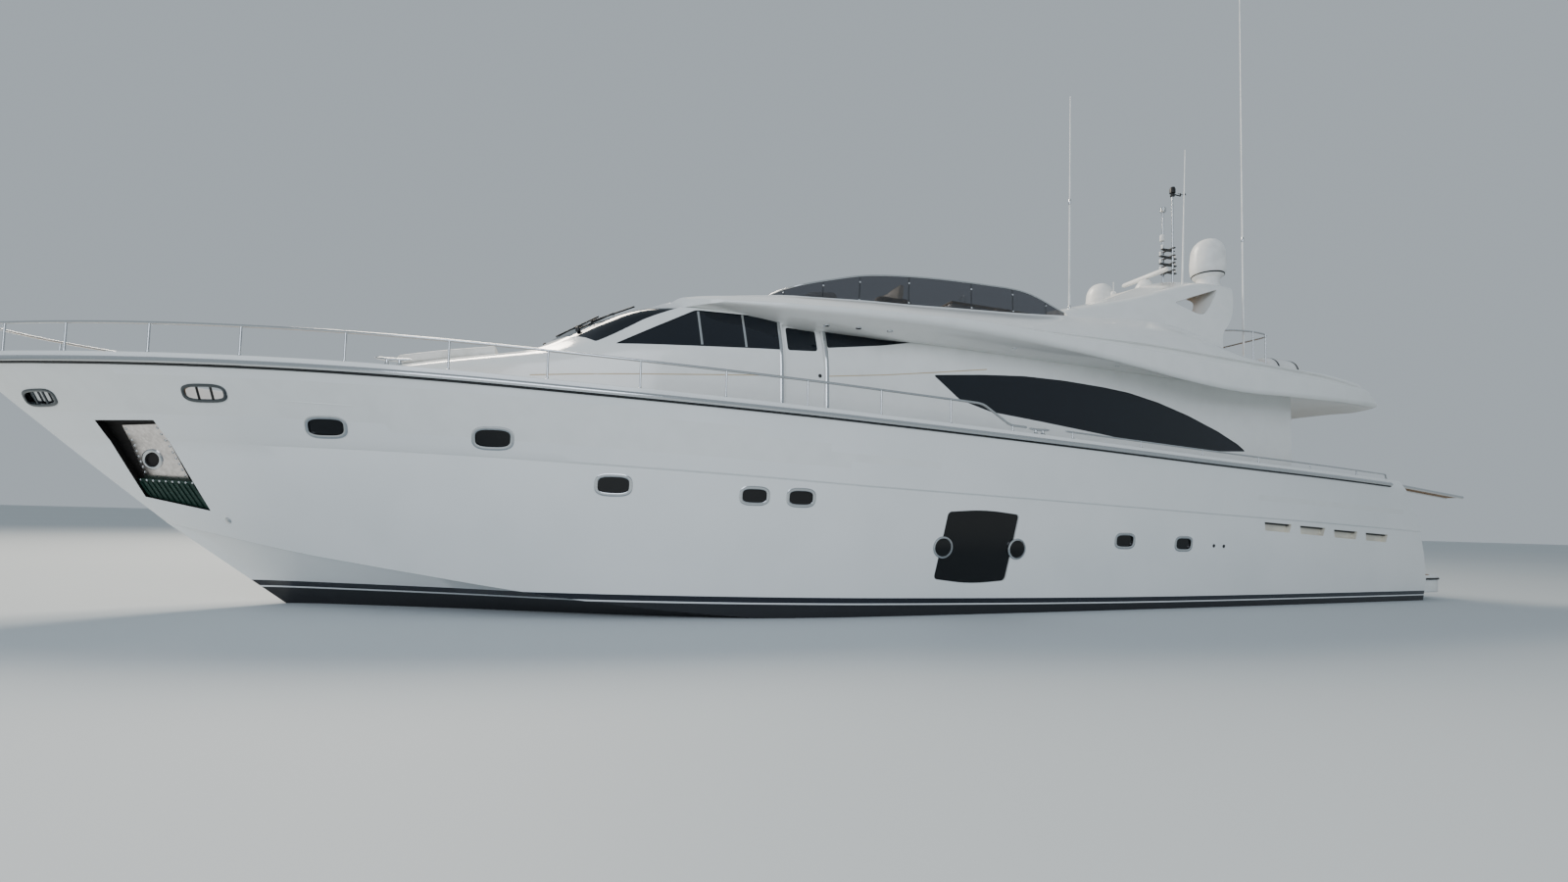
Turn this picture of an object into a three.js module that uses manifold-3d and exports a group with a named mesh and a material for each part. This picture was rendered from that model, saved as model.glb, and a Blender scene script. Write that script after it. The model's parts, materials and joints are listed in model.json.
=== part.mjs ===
// A 26 m flybridge motor yacht, afloat: hull, superstructure, deck gear, shafts and rudders.
// Units are millimetres. +X is forward, +Y is port, +Z is up; the origin is on the waterline amidships.
import * as THREE from 'three';
import { mergeVertices } from 'three/addons/utils/BufferGeometryUtils.js';
import Module from 'manifold-3d';

// Driving dimensions
const WATERLINE_HALF = 10900;
const BOW_TIP_X = 14550;
const HULL_AFT_X = -10950;
const PLATFORM_AFT_X = -11950;
const CAP_HEIGHT = 150;
const BULWARK_WALL = 140;
const COCKPIT_SOLE_Z = 1750;
const PILOTHOUSE_SOLE_Z = 2350;
const HOUSE_WALL = 50;
const HOUSE_AFT_X = -7000;
const GLASS_INSET = 12;
const GLASS_THICK = 16;
const PANE_GAP = 0.4;
const SEAT_GAP = 0.3;
const PIN_GAP = 0.3;
const MOVING_GAP = 6;
const FLY_SOLE_Z = 4520;
const SHAFT_RADIUS = 45;
const PROPELLER_RADIUS = 470;
const FAR = 40000;

const wasm = await Module();
wasm.setup();

const boat = new THREE.Group();

// Colours and surfaces
const SURFACES = {
  gelcoat: { color: 0xf1f2ee, roughness: 0.18, metalness: 0.0 },
  teak: { color: 0xa9855c, roughness: 0.7, metalness: 0.0 },
  steel: { color: 0xc9ccce, roughness: 0.2, metalness: 1.0 },
  bronze: { color: 0xa98548, roughness: 0.35, metalness: 1.0 },
  glass: { color: 0x10151c, roughness: 0.05, metalness: 0.0 },
  smoked: { color: 0x4a5560, roughness: 0.05, metalness: 0.0 },
  vinyl: { color: 0xe7dfcf, roughness: 0.6, metalness: 0.0 },
  plastic: { color: 0xf4f4f2, roughness: 0.35, metalness: 0.0 },
  dark: { color: 0x1c1e20, roughness: 0.5, metalness: 0.2 },
  engine: { color: 0xb9bcb8, roughness: 0.5, metalness: 0.2 },
};

function add(name, shape, surface) {
  const geometry = shape.isBufferGeometry ? shape : geometryOf(shape);
  const mesh = new THREE.Mesh(geometry, new THREE.MeshStandardMaterial(SURFACES[surface]));
  mesh.name = name;
  boat.add(mesh);
  return mesh;
}

// Solids from geometries, and back
function solidOf(geometry) {
  const bare = geometry.clone();
  bare.deleteAttribute('normal');
  bare.deleteAttribute('uv');
  const merged = mergeVertices(bare, 1e-3);
  return new wasm.Manifold(new wasm.Mesh({
    numProp: 3,
    vertProperties: new Float32Array(merged.attributes.position.array),
    triVerts: new Uint32Array(merged.index.array),
  }));
}

function geometryOf(solid) {
  const mesh = solid.getMesh();
  const geometry = new THREE.BufferGeometry();
  geometry.setAttribute('position', new THREE.BufferAttribute(new Float32Array(mesh.vertProperties), 3));
  geometry.setIndex(new THREE.BufferAttribute(new Uint32Array(mesh.triVerts), 1));
  geometry.computeVertexNormals();
  return geometry;
}

function joined(solids) {
  return solids.reduce((whole, solid) => whole.add(solid));
}

function moved(solid, x, y, z) {
  return solid.translate([x, y, z]);
}

function mirrored(solid) {
  return solid.mirror([0, 1, 0]);
}

// Basic shapes
function box(x0, x1, y0, y1, z0, z1) {
  const shape = new THREE.BoxGeometry(x1 - x0, y1 - y0, z1 - z0);
  shape.translate((x0 + x1) / 2, (y0 + y1) / 2, (z0 + z1) / 2);
  return solidOf(shape);
}

// A rod of n sides between two points
function rod(from, to, radius, sides = 8, radiusTo = radius) {
  const a = new THREE.Vector3(...from);
  const b = new THREE.Vector3(...to);
  const shape = new THREE.CylinderGeometry(radiusTo, radius, a.distanceTo(b), sides);
  const heading = b.clone().sub(a).normalize();
  shape.applyQuaternion(new THREE.Quaternion().setFromUnitVectors(new THREE.Vector3(0, 1, 0), heading));
  const middle = a.add(b).multiplyScalar(0.5);
  shape.translate(middle.x, middle.y, middle.z);
  return solidOf(shape);
}

// The bore that a round pin of the same sides turns in
function bore(from, to, radius, sides) {
  return rod(from, to, (radius + PIN_GAP) / Math.cos(Math.PI / sides), sides);
}

// A box from a row of a table of furniture and fittings
function block({ aft, fore, right, left, foot, top }) {
  return box(aft, fore, right, left, foot, top);
}

function ball(at, radius) {
  const shape = new THREE.IcosahedronGeometry(radius, 1);
  shape.translate(...at);
  return solidOf(shape);
}

// A tube through points, mitred at each bend. Its sides keep their place round the path.
function tube(points, radius, sides = 6) {
  const path = points.map((point) => new THREE.Vector3(...point));
  const rings = path.map((point, i) => {
    const before = point.clone().sub(path[Math.max(i - 1, 0)]).normalize();
    const after = path[Math.min(i + 1, path.length - 1)].clone().sub(point).normalize();
    const heading = before.add(after).normalize();
    const across = new THREE.Vector3(0, 1, 0).addScaledVector(heading, -heading.y).normalize();
    const upward = heading.clone().cross(across);
    const ring = [];
    for (let j = 0; j < sides; j += 1) {
      const angle = ((j + 0.5) * 2 * Math.PI) / sides;
      const corner = point.clone().addScaledVector(across, radius * Math.cos(angle));
      ring.push(corner.addScaledVector(upward, radius * Math.sin(angle)).toArray());
    }
    return ring;
  });
  return band(rings);
}

// An outline in the X-Z plane, run across the boat from y0 to y1
function sideways(outline, y0, y1) {
  const shape = new THREE.Shape(outline.map(([x, z]) => new THREE.Vector2(x, z)));
  const body = new THREE.ExtrudeGeometry(shape, { depth: y1 - y0, bevelEnabled: false, curveSegments: 8 });
  body.rotateX(Math.PI / 2);
  body.translate(0, y1, 0);
  return solidOf(body);
}

// An outline in the X-Y plane, run up from z0 to z1
function upright(outline, z0, z1) {
  const shape = new THREE.Shape(outline.map(([x, y]) => new THREE.Vector2(x, y)));
  const body = new THREE.ExtrudeGeometry(shape, { depth: z1 - z0, bevelEnabled: false, curveSegments: 8 });
  body.translate(0, 0, z0);
  return solidOf(body);
}

// A profile of radius and height, turned about an upright axis at x, y
function turned(profile, x, y, z, sides = 16) {
  const points = profile.map(([r, h]) => new THREE.Vector2(r, h));
  const body = new THREE.LatheGeometry(points, sides);
  body.rotateX(Math.PI / 2);
  body.translate(x, y, z);
  return solidOf(body);
}

// Rows with named columns
function table(names, rows) {
  return rows.map((row) => Object.fromEntries(names.map((name, i) => [name, row[i]])));
}

// Smooth interpolation of one column of a table, by cubic pieces through its rows
function column(rows, key, name) {
  const at = rows.map((row) => row[key]);
  const value = rows.map((row) => row[name]);
  return (x) => {
    const last = at.length - 1;
    const rising = at[last] > at[0];
    let i = 0;
    while (i < last - 1 && (rising ? x > at[i + 1] : x < at[i + 1])) i += 1;
    const slope = (j) => {
      if (j === 0) return (value[1] - value[0]) / (at[1] - at[0]);
      if (j === last) return (value[last] - value[last - 1]) / (at[last] - at[last - 1]);
      return (value[j + 1] - value[j - 1]) / (at[j + 1] - at[j - 1]);
    };
    const span = at[i + 1] - at[i];
    const t = Math.min(Math.max((x - at[i]) / span, 0), 1);
    const a = value[i];
    const b = value[i + 1];
    const ma = slope(i) * span;
    const mb = slope(i + 1) * span;
    return a * (2 * t ** 3 - 3 * t ** 2 + 1) + ma * (t ** 3 - 2 * t ** 2 + t)
      + b * (3 * t ** 2 - 2 * t ** 3) + mb * (t ** 3 - t ** 2);
  };
}

// The end face of a mirrored ring, as a ladder of rungs between its two sides
function ladder(base, count) {
  const top = count / 2;
  const faces = [[base, base + 1, base + count - 1], [base + top - 1, base + top, base + top + 1]];
  for (let i = 1; i < top - 1; i += 1) {
    faces.push([base + i, base + i + 1, base + count - i - 1]);
    faces.push([base + i, base + count - i - 1, base + count - i]);
  }
  return faces;
}

// A body through rings that all have the same count of points. The second half of each ring is split the
// other way, so that a mirrored ring gives a mirrored body. Its ends are flat faces, or the last is a ladder.
function loft(rings, ladderEnd = false) {
  const count = rings[0].length;
  const positions = rings.flat().flat();
  const index = [];
  for (let i = 1; i < rings.length; i += 1) {
    for (let j = 0; j < count; j += 1) {
      const k = (j + 1) % count;
      const a = (i - 1) * count + j;
      const b = (i - 1) * count + k;
      const c = i * count + j;
      const d = i * count + k;
      if (j < count / 2) index.push(a, b, d, a, d, c);
      else index.push(a, b, c, b, d, c);
    }
  }
  const flat = (ring) => ring.map(([, y, z]) => new THREE.Vector2(y, z));
  for (const triangle of THREE.ShapeUtils.triangulateShape(flat(rings[0]), [])) {
    index.push(triangle[0], triangle[2], triangle[1]);
  }
  const base = (rings.length - 1) * count;
  if (ladderEnd) {
    index.push(...ladder(base, count).flat());
  } else {
    for (const triangle of THREE.ShapeUtils.triangulateShape(flat(rings[rings.length - 1]), [])) {
      index.push(base + triangle[0], base + triangle[1], base + triangle[2]);
    }
  }
  const body = new THREE.BufferGeometry();
  body.setAttribute('position', new THREE.BufferAttribute(new Float32Array(positions), 3));
  body.setIndex(index);
  if (signedVolume(body) < 0) {
    for (let i = 0; i < index.length; i += 3) [index[i + 1], index[i + 2]] = [index[i + 2], index[i + 1]];
    body.setIndex(index);
  }
  return solidOf(body);
}

function signedVolume(body) {
  const position = body.attributes.position;
  const index = body.index.array;
  const corner = (i) => new THREE.Vector3().fromBufferAttribute(position, index[i]);
  let sum = 0;
  for (let i = 0; i < index.length; i += 3) sum += corner(i).dot(corner(i + 1).cross(corner(i + 2)));
  return sum / 6;
}

// A full ring from the half that runs from the lower to the upper centreline point
function wholeRing(half) {
  const other = half.slice(1, -1).reverse().map(([x, y, z]) => [x, -y, z]);
  return half.concat(other);
}

// Hull. s runs from the stern (-1) through x = 3000 (0) to the stem (1).
const HULL = table(['s', 'keelZ', 'chineY', 'chineZ', 'kneeY', 'kneeZ', 'sheerY', 'sheerZ', 'deckZ'], [
  [-1.00, -800, 2620, -120, 2800, 1480, 2900, 2370, 2080],
  [-0.75, -920, 2720, -120, 2930, 1600, 3040, 2490, 2150],
  [-0.50, -1020, 2790, -110, 3020, 1700, 3120, 2590, 2220],
  [-0.25, -1090, 2830, -100, 3070, 1805, 3170, 2710, 2310],
  [0.00, -1130, 2810, -80, 3060, 1905, 3170, 2820, 2400],
  [0.17, -1130, 2680, 0, 2930, 1980, 3090, 2880, 2460],
  [0.35, -1090, 2370, 150, 2650, 2050, 2900, 2940, 2530],
  [0.50, -1000, 1970, 330, 2300, 2110, 2620, 3000, 2600],
  [0.62, -880, 1580, 500, 1920, 2145, 2290, 3035, 2650],
  [0.73, -720, 1190, 660, 1500, 2170, 1880, 3055, 2700],
  [0.82, -540, 840, 800, 1080, 2190, 1440, 3070, 2740],
  [0.90, -340, 500, 950, 650, 2210, 940, 3090, 2780],
  [0.96, -150, 220, 1060, 290, 2230, 470, 3120, 2820],
  [1.00, 0, 40, 1150, 50, 2240, 60, 3180, 2860],
]);
const MIDSHIP_X = 3000;
const STEM_X = { keel: WATERLINE_HALF, chine: 12350, knee: 13550, sheer: BOW_TIP_X, deck: 14200 };
const DECK_CAMBER = 40;
const KNUCKLE_STEP = 22;

function hullX(s, line) {
  if (s < 0) return MIDSHIP_X + s * (MIDSHIP_X - HULL_AFT_X);
  return MIDSHIP_X + s * (STEM_X[line] - MIDSHIP_X);
}

const hullColumn = {};
for (const name of Object.keys(HULL[0])) hullColumn[name] = column(HULL, 's', name);

// The half section at s, from the keel up, over the bulwark cap and in to the deck's centreline
function hullSection(s, grow = 0) {
  const at = (name) => hullColumn[name](s);
  const x = (line) => hullX(s, line) + (s === 1 ? grow : 0);
  const mix = (a, b, t) => a + (b - a) * t;
  const hollow = 40 * Math.max(0, Math.min(1, s * 2)) * (1 - s);
  const sideY = mix(at('chineY'), at('kneeY'), 0.55);
  const step = Math.min(KNUCKLE_STEP, at('kneeY') * 0.2);
  const flareY = mix(at('kneeY') + KNUCKLE_STEP, at('sheerY'), 0.45);
  const capZ = at('sheerZ') + CAP_HEIGHT;
  const innerY = Math.max(at('sheerY') - BULWARK_WALL, 24);
  const deckY = Math.max(innerY - 20, 18);
  return [
    [x('keel'), 0, at('keelZ') - grow],
    [mix(x('keel'), x('chine'), 0.5), at('chineY') * 0.5, mix(at('keelZ'), at('chineZ'), 0.5) - grow],
    [x('chine'), at('chineY') - Math.min(60, at('chineY') * 0.3), at('chineZ') - grow],
    [x('chine'), at('chineY') + grow, at('chineZ') + 10],
    [mix(x('chine'), x('knee'), 0.5), sideY - hollow + grow, mix(at('chineZ'), at('kneeZ'), 0.5)],
    [x('knee'), at('kneeY') + grow, at('kneeZ')],
    [mix(x('knee'), x('sheer'), 0.02), at('kneeY') + step + grow, at('kneeZ') + 25],
    [mix(x('knee'), x('sheer'), 0.5), flareY + grow, mix(at('kneeZ'), at('sheerZ'), 0.5)],
    [x('sheer'), at('sheerY') + grow, at('sheerZ')],
    [x('sheer'), at('sheerY') + grow, capZ + grow],
    [x('deck'), innerY - grow, capZ + grow],
    [x('deck'), deckY - grow, at('deckZ') + grow],
    [x('deck'), 0, at('deckZ') + DECK_CAMBER + grow],
  ];
}

const HULL_STATIONS = [-1, -0.87, -0.75, -0.62, -0.5, -0.37, -0.25, -0.12, 0, 0.09, 0.17, 0.26, 0.35, 0.43, 0.5,
  0.56, 0.62, 0.68, 0.73, 0.78, 0.82, 0.86, 0.9, 0.935, 0.96, 0.985, 1];
const fairHull = loft(HULL_STATIONS.map((s) => wholeRing(hullSection(s))), true);
const seatHull = loft(HULL_STATIONS.map((s) => wholeRing(hullSection(s, SEAT_GAP))), true);

// Half-breadth of the gunwale and height of its cap at x
function gunwaleAt(x) {
  const s = x < MIDSHIP_X
    ? (x - MIDSHIP_X) / (MIDSHIP_X - HULL_AFT_X)
    : (x - MIDSHIP_X) / (STEM_X.sheer - MIDSHIP_X);
  return { y: hullColumn.sheerY(s), cap: hullColumn.sheerZ(s) + CAP_HEIGHT, deck: hullColumn.deckZ(s) };
}

// The stern's side profile, from the cap down to the platform
const STERN_CURVE = [[-9420, 2640], [-9620, 2520], [-9980, 2230], [-10340, 1800], [-10650, 1250],
  [-10850, 760], [-10920, 500]];
const sternCut = sideways([...STERN_CURVE, [-FAR, 500], [-FAR, 6000], [-9380, 6000]], -FAR, FAR);

// Cockpit, saloon well, garage and engine room
const COCKPIT = { aft: -9150, fore: HOUSE_AFT_X + 300, y: 2560, low: COCKPIT_SOLE_Z, high: FAR };
const SALOON = { aft: HOUSE_AFT_X - 10, fore: 1500, y: 2150, low: COCKPIT_SOLE_Z, high: FAR };
const GARAGE = { aft: -FAR, fore: -7600, y: 1500, low: 560, high: 1560 };
const ENGINE_ROOM = { aft: -7700, fore: -3600, y: 1700, low: -250, high: 1500 };
const well = ({ aft, fore, y, low, high }) => box(aft, fore, -y, y, low, high);
const cockpitWell = well(COCKPIT);
const saloonWell = well(SALOON);

// Stairs on both sides, from the cockpit sole down to the platform
const STAIR = { inner: 1620, outer: 2250, steps: 5, low: 560 };
function sternStairs() {
  const pieces = [];
  const run = (COCKPIT.aft - 100 - HULL_AFT_X) / STAIR.steps;
  const rise = (COCKPIT_SOLE_Z - STAIR.low) / STAIR.steps;
  for (let i = 0; i < STAIR.steps; i += 1) {
    const x1 = COCKPIT.aft + 20 - i * run;
    pieces.push(box(-FAR, x1, STAIR.inner, STAIR.outer, COCKPIT_SOLE_Z - i * rise, FAR));
  }
  const port = joined(pieces);
  return port.add(mirrored(port));
}

// Anchor pocket: a slanted recess in each bow
const POCKET = [[13150, 2540], [12450, 2560], [11560, 1340], [12480, 1520]];
const POCKET_DEPTH = 190;

// A skin that lies between two depths inside the hull's side, above the chine, for what is let into it
function hullInside(depth) {
  const drawnIn = ([x, y, z], i) => (i === 0 || i === 12 ? [x, y, z] : [x, Math.max(y - depth, 10 + i), z]);
  const stations = HULL_STATIONS.filter((s) => s < 0.96);
  return loft(stations.map((s) => wholeRing(hullSection(s).map(drawnIn))));
}

function letInto(outline, depth) {
  const port = sideways(outline, 5, FAR);
  return port.subtract(hullInside(depth));
}

const WINDOW_HOLE = [[1640, 1590], [980, 1640], [320, 1580], [490, 530], [1150, 480], [1810, 560]];
const WINDOW_DEPTH = 40;
const VENTS = [[-5400, 1600], [-6440, 1555], [-7500, 1500], [-8560, 1455]];
const VENT = [[0, 0], [-780, -30], [-740, -190], [-40, -160]];
const VENT_DEPTH = 90;

let hull = fairHull.subtract(sternCut);
hull = hull.subtract(cockpitWell).subtract(saloonWell).subtract(sternStairs());
hull = hull.subtract(well(GARAGE)).subtract(well(ENGINE_ROOM));
const portRecesses = [
  letInto(POCKET, POCKET_DEPTH),
  letInto(WINDOW_HOLE, WINDOW_DEPTH),
  ...VENTS.map(([x, z]) => letInto(VENT.map(([dx, dz]) => [x + dx, z + dz]), VENT_DEPTH)),
];
for (const recess of portRecesses) hull = hull.subtract(recess).subtract(mirrored(recess));

// Shaft line, its bracket, and the rudder
const SHAFT = { y: 1150, logX: -5400, logZ: -560, endX: -9850, endZ: -1150, bracketX: -9250 };
const shaftSlope = (SHAFT.endZ - SHAFT.logZ) / (SHAFT.endX - SHAFT.logX);
const shaftZ = (x) => SHAFT.logZ + (x - SHAFT.logX) * shaftSlope;
const along = (x, y = SHAFT.y) => [x, y, shaftZ(x)];
const RUDDER = { x: -10350, y: 1150, top: -720, foot: -1750, stock: 55 };

const PIN_SIDES = 32;
const BARREL_SIDES = 16;
const bracketArms = [{ out: -260, top: -560 }, { out: 260, top: -470 }].map(({ out, top }) => rod(
  [SHAFT.bracketX, SHAFT.y, shaftZ(SHAFT.bracketX) + 50], [SHAFT.bracketX + 40, SHAFT.y + out, top], 40, 6));
const bracketTube = rod(along(SHAFT.bracketX - 130), along(SHAFT.bracketX + 170), 95, 12);
const bracket = joined([bracketTube, ...bracketArms]);
const shaftLog = rod(along(SHAFT.logX + 300), along(SHAFT.logX - 700), 110, 12);
const shaftBore = bore(along(SHAFT.logX), along(SHAFT.endX), SHAFT_RADIUS, PIN_SIDES);
const stockAt = (up) => [RUDDER.x, RUDDER.y, RUDDER.top + up];
const stockBore = bore(stockAt(-300), stockAt(420), RUDDER.stock, PIN_SIDES);
for (const turn of [(solid) => solid, mirrored]) {
  hull = hull.add(turn(bracket)).add(turn(shaftLog));
  hull = hull.subtract(turn(shaftBore)).subtract(turn(stockBore));
}

// Swim platform
const PLATFORM = { low: 170, top: 540, edgeLow: 380 };
const platformSide = [[HULL_AFT_X + 10, 2650], [-11500, 2640], [-11800, 2480], [PLATFORM_AFT_X, 2150]];
const platformOutline = [...platformSide, ...platformSide.map(([x, y]) => [x, -y]).reverse()];
const platformUnder = sideways([[-11300, -100], [PLATFORM_AFT_X, PLATFORM.edgeLow], [-FAR, PLATFORM.edgeLow],
  [-FAR, -100]], -FAR, FAR);
const platform = upright(platformOutline, PLATFORM.low, PLATFORM.top).subtract(moved(fairHull, -SEAT_GAP, 0, 0))
  .subtract(platformUnder);
add('swim_platform', platform, 'teak');

// Rub rail round the gunwale
function railStrip(low, high, outside, inside) {
  const stations = HULL_STATIONS.filter((s) => s > -0.9);
  const place = (s, out) => [hullX(s, 'sheer') + (s > 0.98 ? out : 0), hullColumn.sheerY(s) + out];
  const side = stations.map((s) => {
    const z = hullColumn.sheerZ(s);
    const [xo, yo] = place(s, outside);
    const [xi, yi] = place(s, inside);
    return [[xi, yi, z + low], [xo, yo, z + low + 15], [xo, yo, z + high - 15], [xi, yi, z + high]];
  });
  const other = side.slice().reverse().map((ring) => ring.map(([x, y, z]) => [x, -y, z]));
  return [...side, ...other];
}

// A band through rings of four points that keep their order along a bent path
function band(rings) {
  const count = rings[0].length;
  const positions = rings.flat().flat();
  const index = [];
  for (let i = 1; i < rings.length; i += 1) {
    for (let j = 0; j < count; j += 1) {
      const k = (j + 1) % count;
      const a = (i - 1) * count + j;
      const b = (i - 1) * count + k;
      const c = i * count + j;
      const d = i * count + k;
      index.push(a, b, d, a, d, c);
    }
  }
  const base = (rings.length - 1) * count;
  for (let j = 1; j < count - 1; j += 1) {
    index.push(0, j + 1, j);
    index.push(base, base + j, base + j + 1);
  }
  const body = new THREE.BufferGeometry();
  body.setAttribute('position', new THREE.BufferAttribute(new Float32Array(positions), 3));
  body.setIndex(index);
  if (signedVolume(body) < 0) {
    for (let i = 0; i < index.length; i += 3) [index[i + 1], index[i + 2]] = [index[i + 2], index[i + 1]];
    body.setIndex(index);
  }
  return solidOf(body);
}
const rubRail = band(railStrip(0, 85, 60, -30)).subtract(seatHull);
add('rub_rail', rubRail, 'steel');

// Anchor plate in each pocket: a polished plate with a hawse hole
const PLATE_THICK = 30;
const plateOutline = [[12780, 2480], [12540, 2490], [11700, 1500], [11950, 1440]];
const hawse = sideways([[12330, 2200], [12200, 2230], [12080, 2060], [12200, 2020]], -FAR, FAR);
const plate = sideways(plateOutline, 5, FAR).intersect(hullInside(POCKET_DEPTH - PLATE_THICK))
  .subtract(hullInside(POCKET_DEPTH - SEAT_GAP)).subtract(hawse);
add('anchor_plate_port', plate, 'steel');
add('anchor_plate_starboard', mirrored(plate), 'steel');

// Deckhouse: coachroof, windscreen and saloon as one moulding, open below
const HOUSE = table(['x', 'baseY', 'sillY', 'sillZ', 'eaveY', 'eaveZ', 'shoulderZ', 'crown'], [
  [10750, 420, 330, 3060, 220, 3120, 3135, 3150],
  [10300, 900, 800, 3200, 520, 3310, 3325, 3350],
  [9600, 1300, 1180, 3330, 880, 3450, 3475, 3520],
  [8700, 1650, 1500, 3470, 1200, 3600, 3630, 3690],
  [8100, 1850, 1690, 3560, 1400, 3680, 3715, 3780],
  [7750, 1940, 1790, 3610, 1510, 3730, 3780, 3860],
  [7400, 2030, 1880, 3655, 1600, 3800, 3900, 4160],
  [7100, 2090, 1955, 3700, 1680, 3940, 4060, 4380],
  [6800, 2140, 2020, 3745, 1760, 4110, 4230, 4530],
  [6450, 2190, 2070, 3785, 1820, 4300, 4410, 4630],
  [6100, 2240, 2120, 3815, 1870, 4440, 4530, 4700],
  [5600, 2290, 2170, 3845, 1920, 4540, 4590, 4700],
  [5200, 2330, 2210, 3870, 1950, 4565, 4595, 4660],
  [4300, 2400, 2290, 3920, 2040, 4565, 4560, 4560],
  [3950, 2400, 2290, 3920, 2040, 4565, 4470, 4470],
  [2350, 2400, 2290, 3920, 2040, 4565, 4470, 4470],
  [1500, 2450, 2400, 3950, 2250, 4510, 4450, 4450],
  [0, 2450, 2440, 3850, 2400, 4400, 4420, 4420],
  [-1500, 2450, 2445, 3750, 2430, 4330, 4370, 4390],
  [-4000, 2450, 2450, 3650, 2440, 4300, 4340, 4360],
  [HOUSE_AFT_X, 2450, 2450, 3650, 2440, 4300, 4340, 4360],
]);
const SHOULDER = 0.92;
const HOUSE_BASE_Z = 2000;
const houseColumn = {};
for (const name of Object.keys(HOUSE[0])) houseColumn[name] = column(HOUSE, 'x', name);

function houseSolid(inset, deeper = 0) {
  const stations = HOUSE.map((row) => row.x);
  const rings = stations.map((x, i) => {
    const at = (name) => houseColumn[name](x);
    const end = i === 0 ? -inset : 0;
    const y = (name) => Math.max(at(name) - inset, 20);
    return wholeRing([
      [x + end, 0, HOUSE_BASE_Z - deeper],
      [x + end, y('baseY'), HOUSE_BASE_Z - deeper],
      [x + end, y('sillY'), at('sillZ') - inset * 0.3],
      [x + end, y('eaveY'), at('eaveZ') - inset * 0.8],
      [x + end, y('eaveY') * SHOULDER, at('shoulderZ') - inset],
      [x + end, 0, at('crown') - inset],
    ]);
  });
  return loft(rings);
}
const houseOutside = houseSolid(0);
const houseInside = houseSolid(HOUSE_WALL, 100);
const glassLayer = houseSolid(GLASS_INSET).subtract(houseSolid(GLASS_INSET + GLASS_THICK, 100));

// Window outlines on the house side, as X and Z
const SIDE_WINDOW = [[6560, 3860], [5390, 4520], [4150, 4520], [4095, 3985], [5330, 3925]];
const DOOR_HOLE = { aft: 3400, fore: 4080, low: PILOTHOUSE_SOLE_Z + 130, high: 4450 };
const SCREEN_FOOT_Z = 3700;
const QUARTER_WINDOW = [[3350, 4514], [1980, 4490], [1305, 4461], [1990, 4342], [2700, 4218], [3340, 4112]];
const SALOON_WINDOW = [[1530, 3830], [560, 3925], [-250, 3980], [-1110, 3985], [-2020, 3950], [-2600, 3905],
  [-3320, 3785], [-4080, 3600], [-4880, 3350], [-5430, 3130], [-5650, 3000], [-4980, 2960], [-4030, 2985],
  [-2580, 3030], [-1880, 3100],
  [-580, 3220], [430, 3305], [1035, 3458]];
const SCREEN_BASE = [[7620, 700], [7400, 1200], [7120, 1600], [6850, 1900], [6780, 1920]];
const SCREEN_HEAD = [[5620, 1920], [5560, 1800], [5600, 1720], [5900, 1400], [6150, 1000], [6300, 500]];
const bothSides = (fore, side, aft) => [fore, ...side, aft, ...side.slice().reverse().map(([x, y]) => [x, -y])];
const WINDSCREEN = bothSides([7700, 0], [...SCREEN_BASE, ...SCREEN_HEAD], [6350, 0]);

// The outline drawn in by a gap on all its edges
function shrunk(outline, gap) {
  const count = outline.length;
  const corners = outline.map(([a, b]) => new THREE.Vector2(a, b));
  const turn = Math.sign(THREE.ShapeUtils.area(corners));
  const inward = (from, to) => new THREE.Vector2(from.y - to.y, to.x - from.x).normalize().multiplyScalar(turn);
  return corners.map((corner, i) => {
    const before = inward(corners[(i + count - 1) % count], corner);
    const after = inward(corner, corners[(i + 1) % count]);
    const reach = gap / (1 + before.dot(after));
    return [corner.x + (before.x + after.x) * reach, corner.y + (before.y + after.y) * reach];
  });
}

const aftEnd = houseInside.intersect(box(HOUSE_AFT_X, HOUSE_AFT_X + 60, -FAR, FAR, -FAR, FAR));
let house = houseOutside.subtract(houseInside).subtract(moved(aftEnd, -30, 0, 0));
const sideOpenings = [SIDE_WINDOW, QUARTER_WINDOW, SALOON_WINDOW];
// The walls only, without the roof inboard of the eaves
const wallPlan = [...HOUSE.map(({ x, eaveY }) => [x, eaveY - HOUSE_WALL]), [HOUSE_AFT_X, 4000],
  [HOUSE[0].x, 4000]];
const wallZone = upright(wallPlan, 0, FAR);
for (const outline of sideOpenings) {
  const hole = sideways(outline, 1000, FAR).intersect(wallZone);
  house = house.subtract(hole).subtract(mirrored(hole));
}
const doorPrism = box(DOOR_HOLE.aft, DOOR_HOLE.fore, 1800, FAR, DOOR_HOLE.low, DOOR_HOLE.high);
house = house.subtract(doorPrism).subtract(mirrored(doorPrism));
house = house.subtract(upright(WINDSCREEN, SCREEN_FOOT_Z, FAR));

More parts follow.
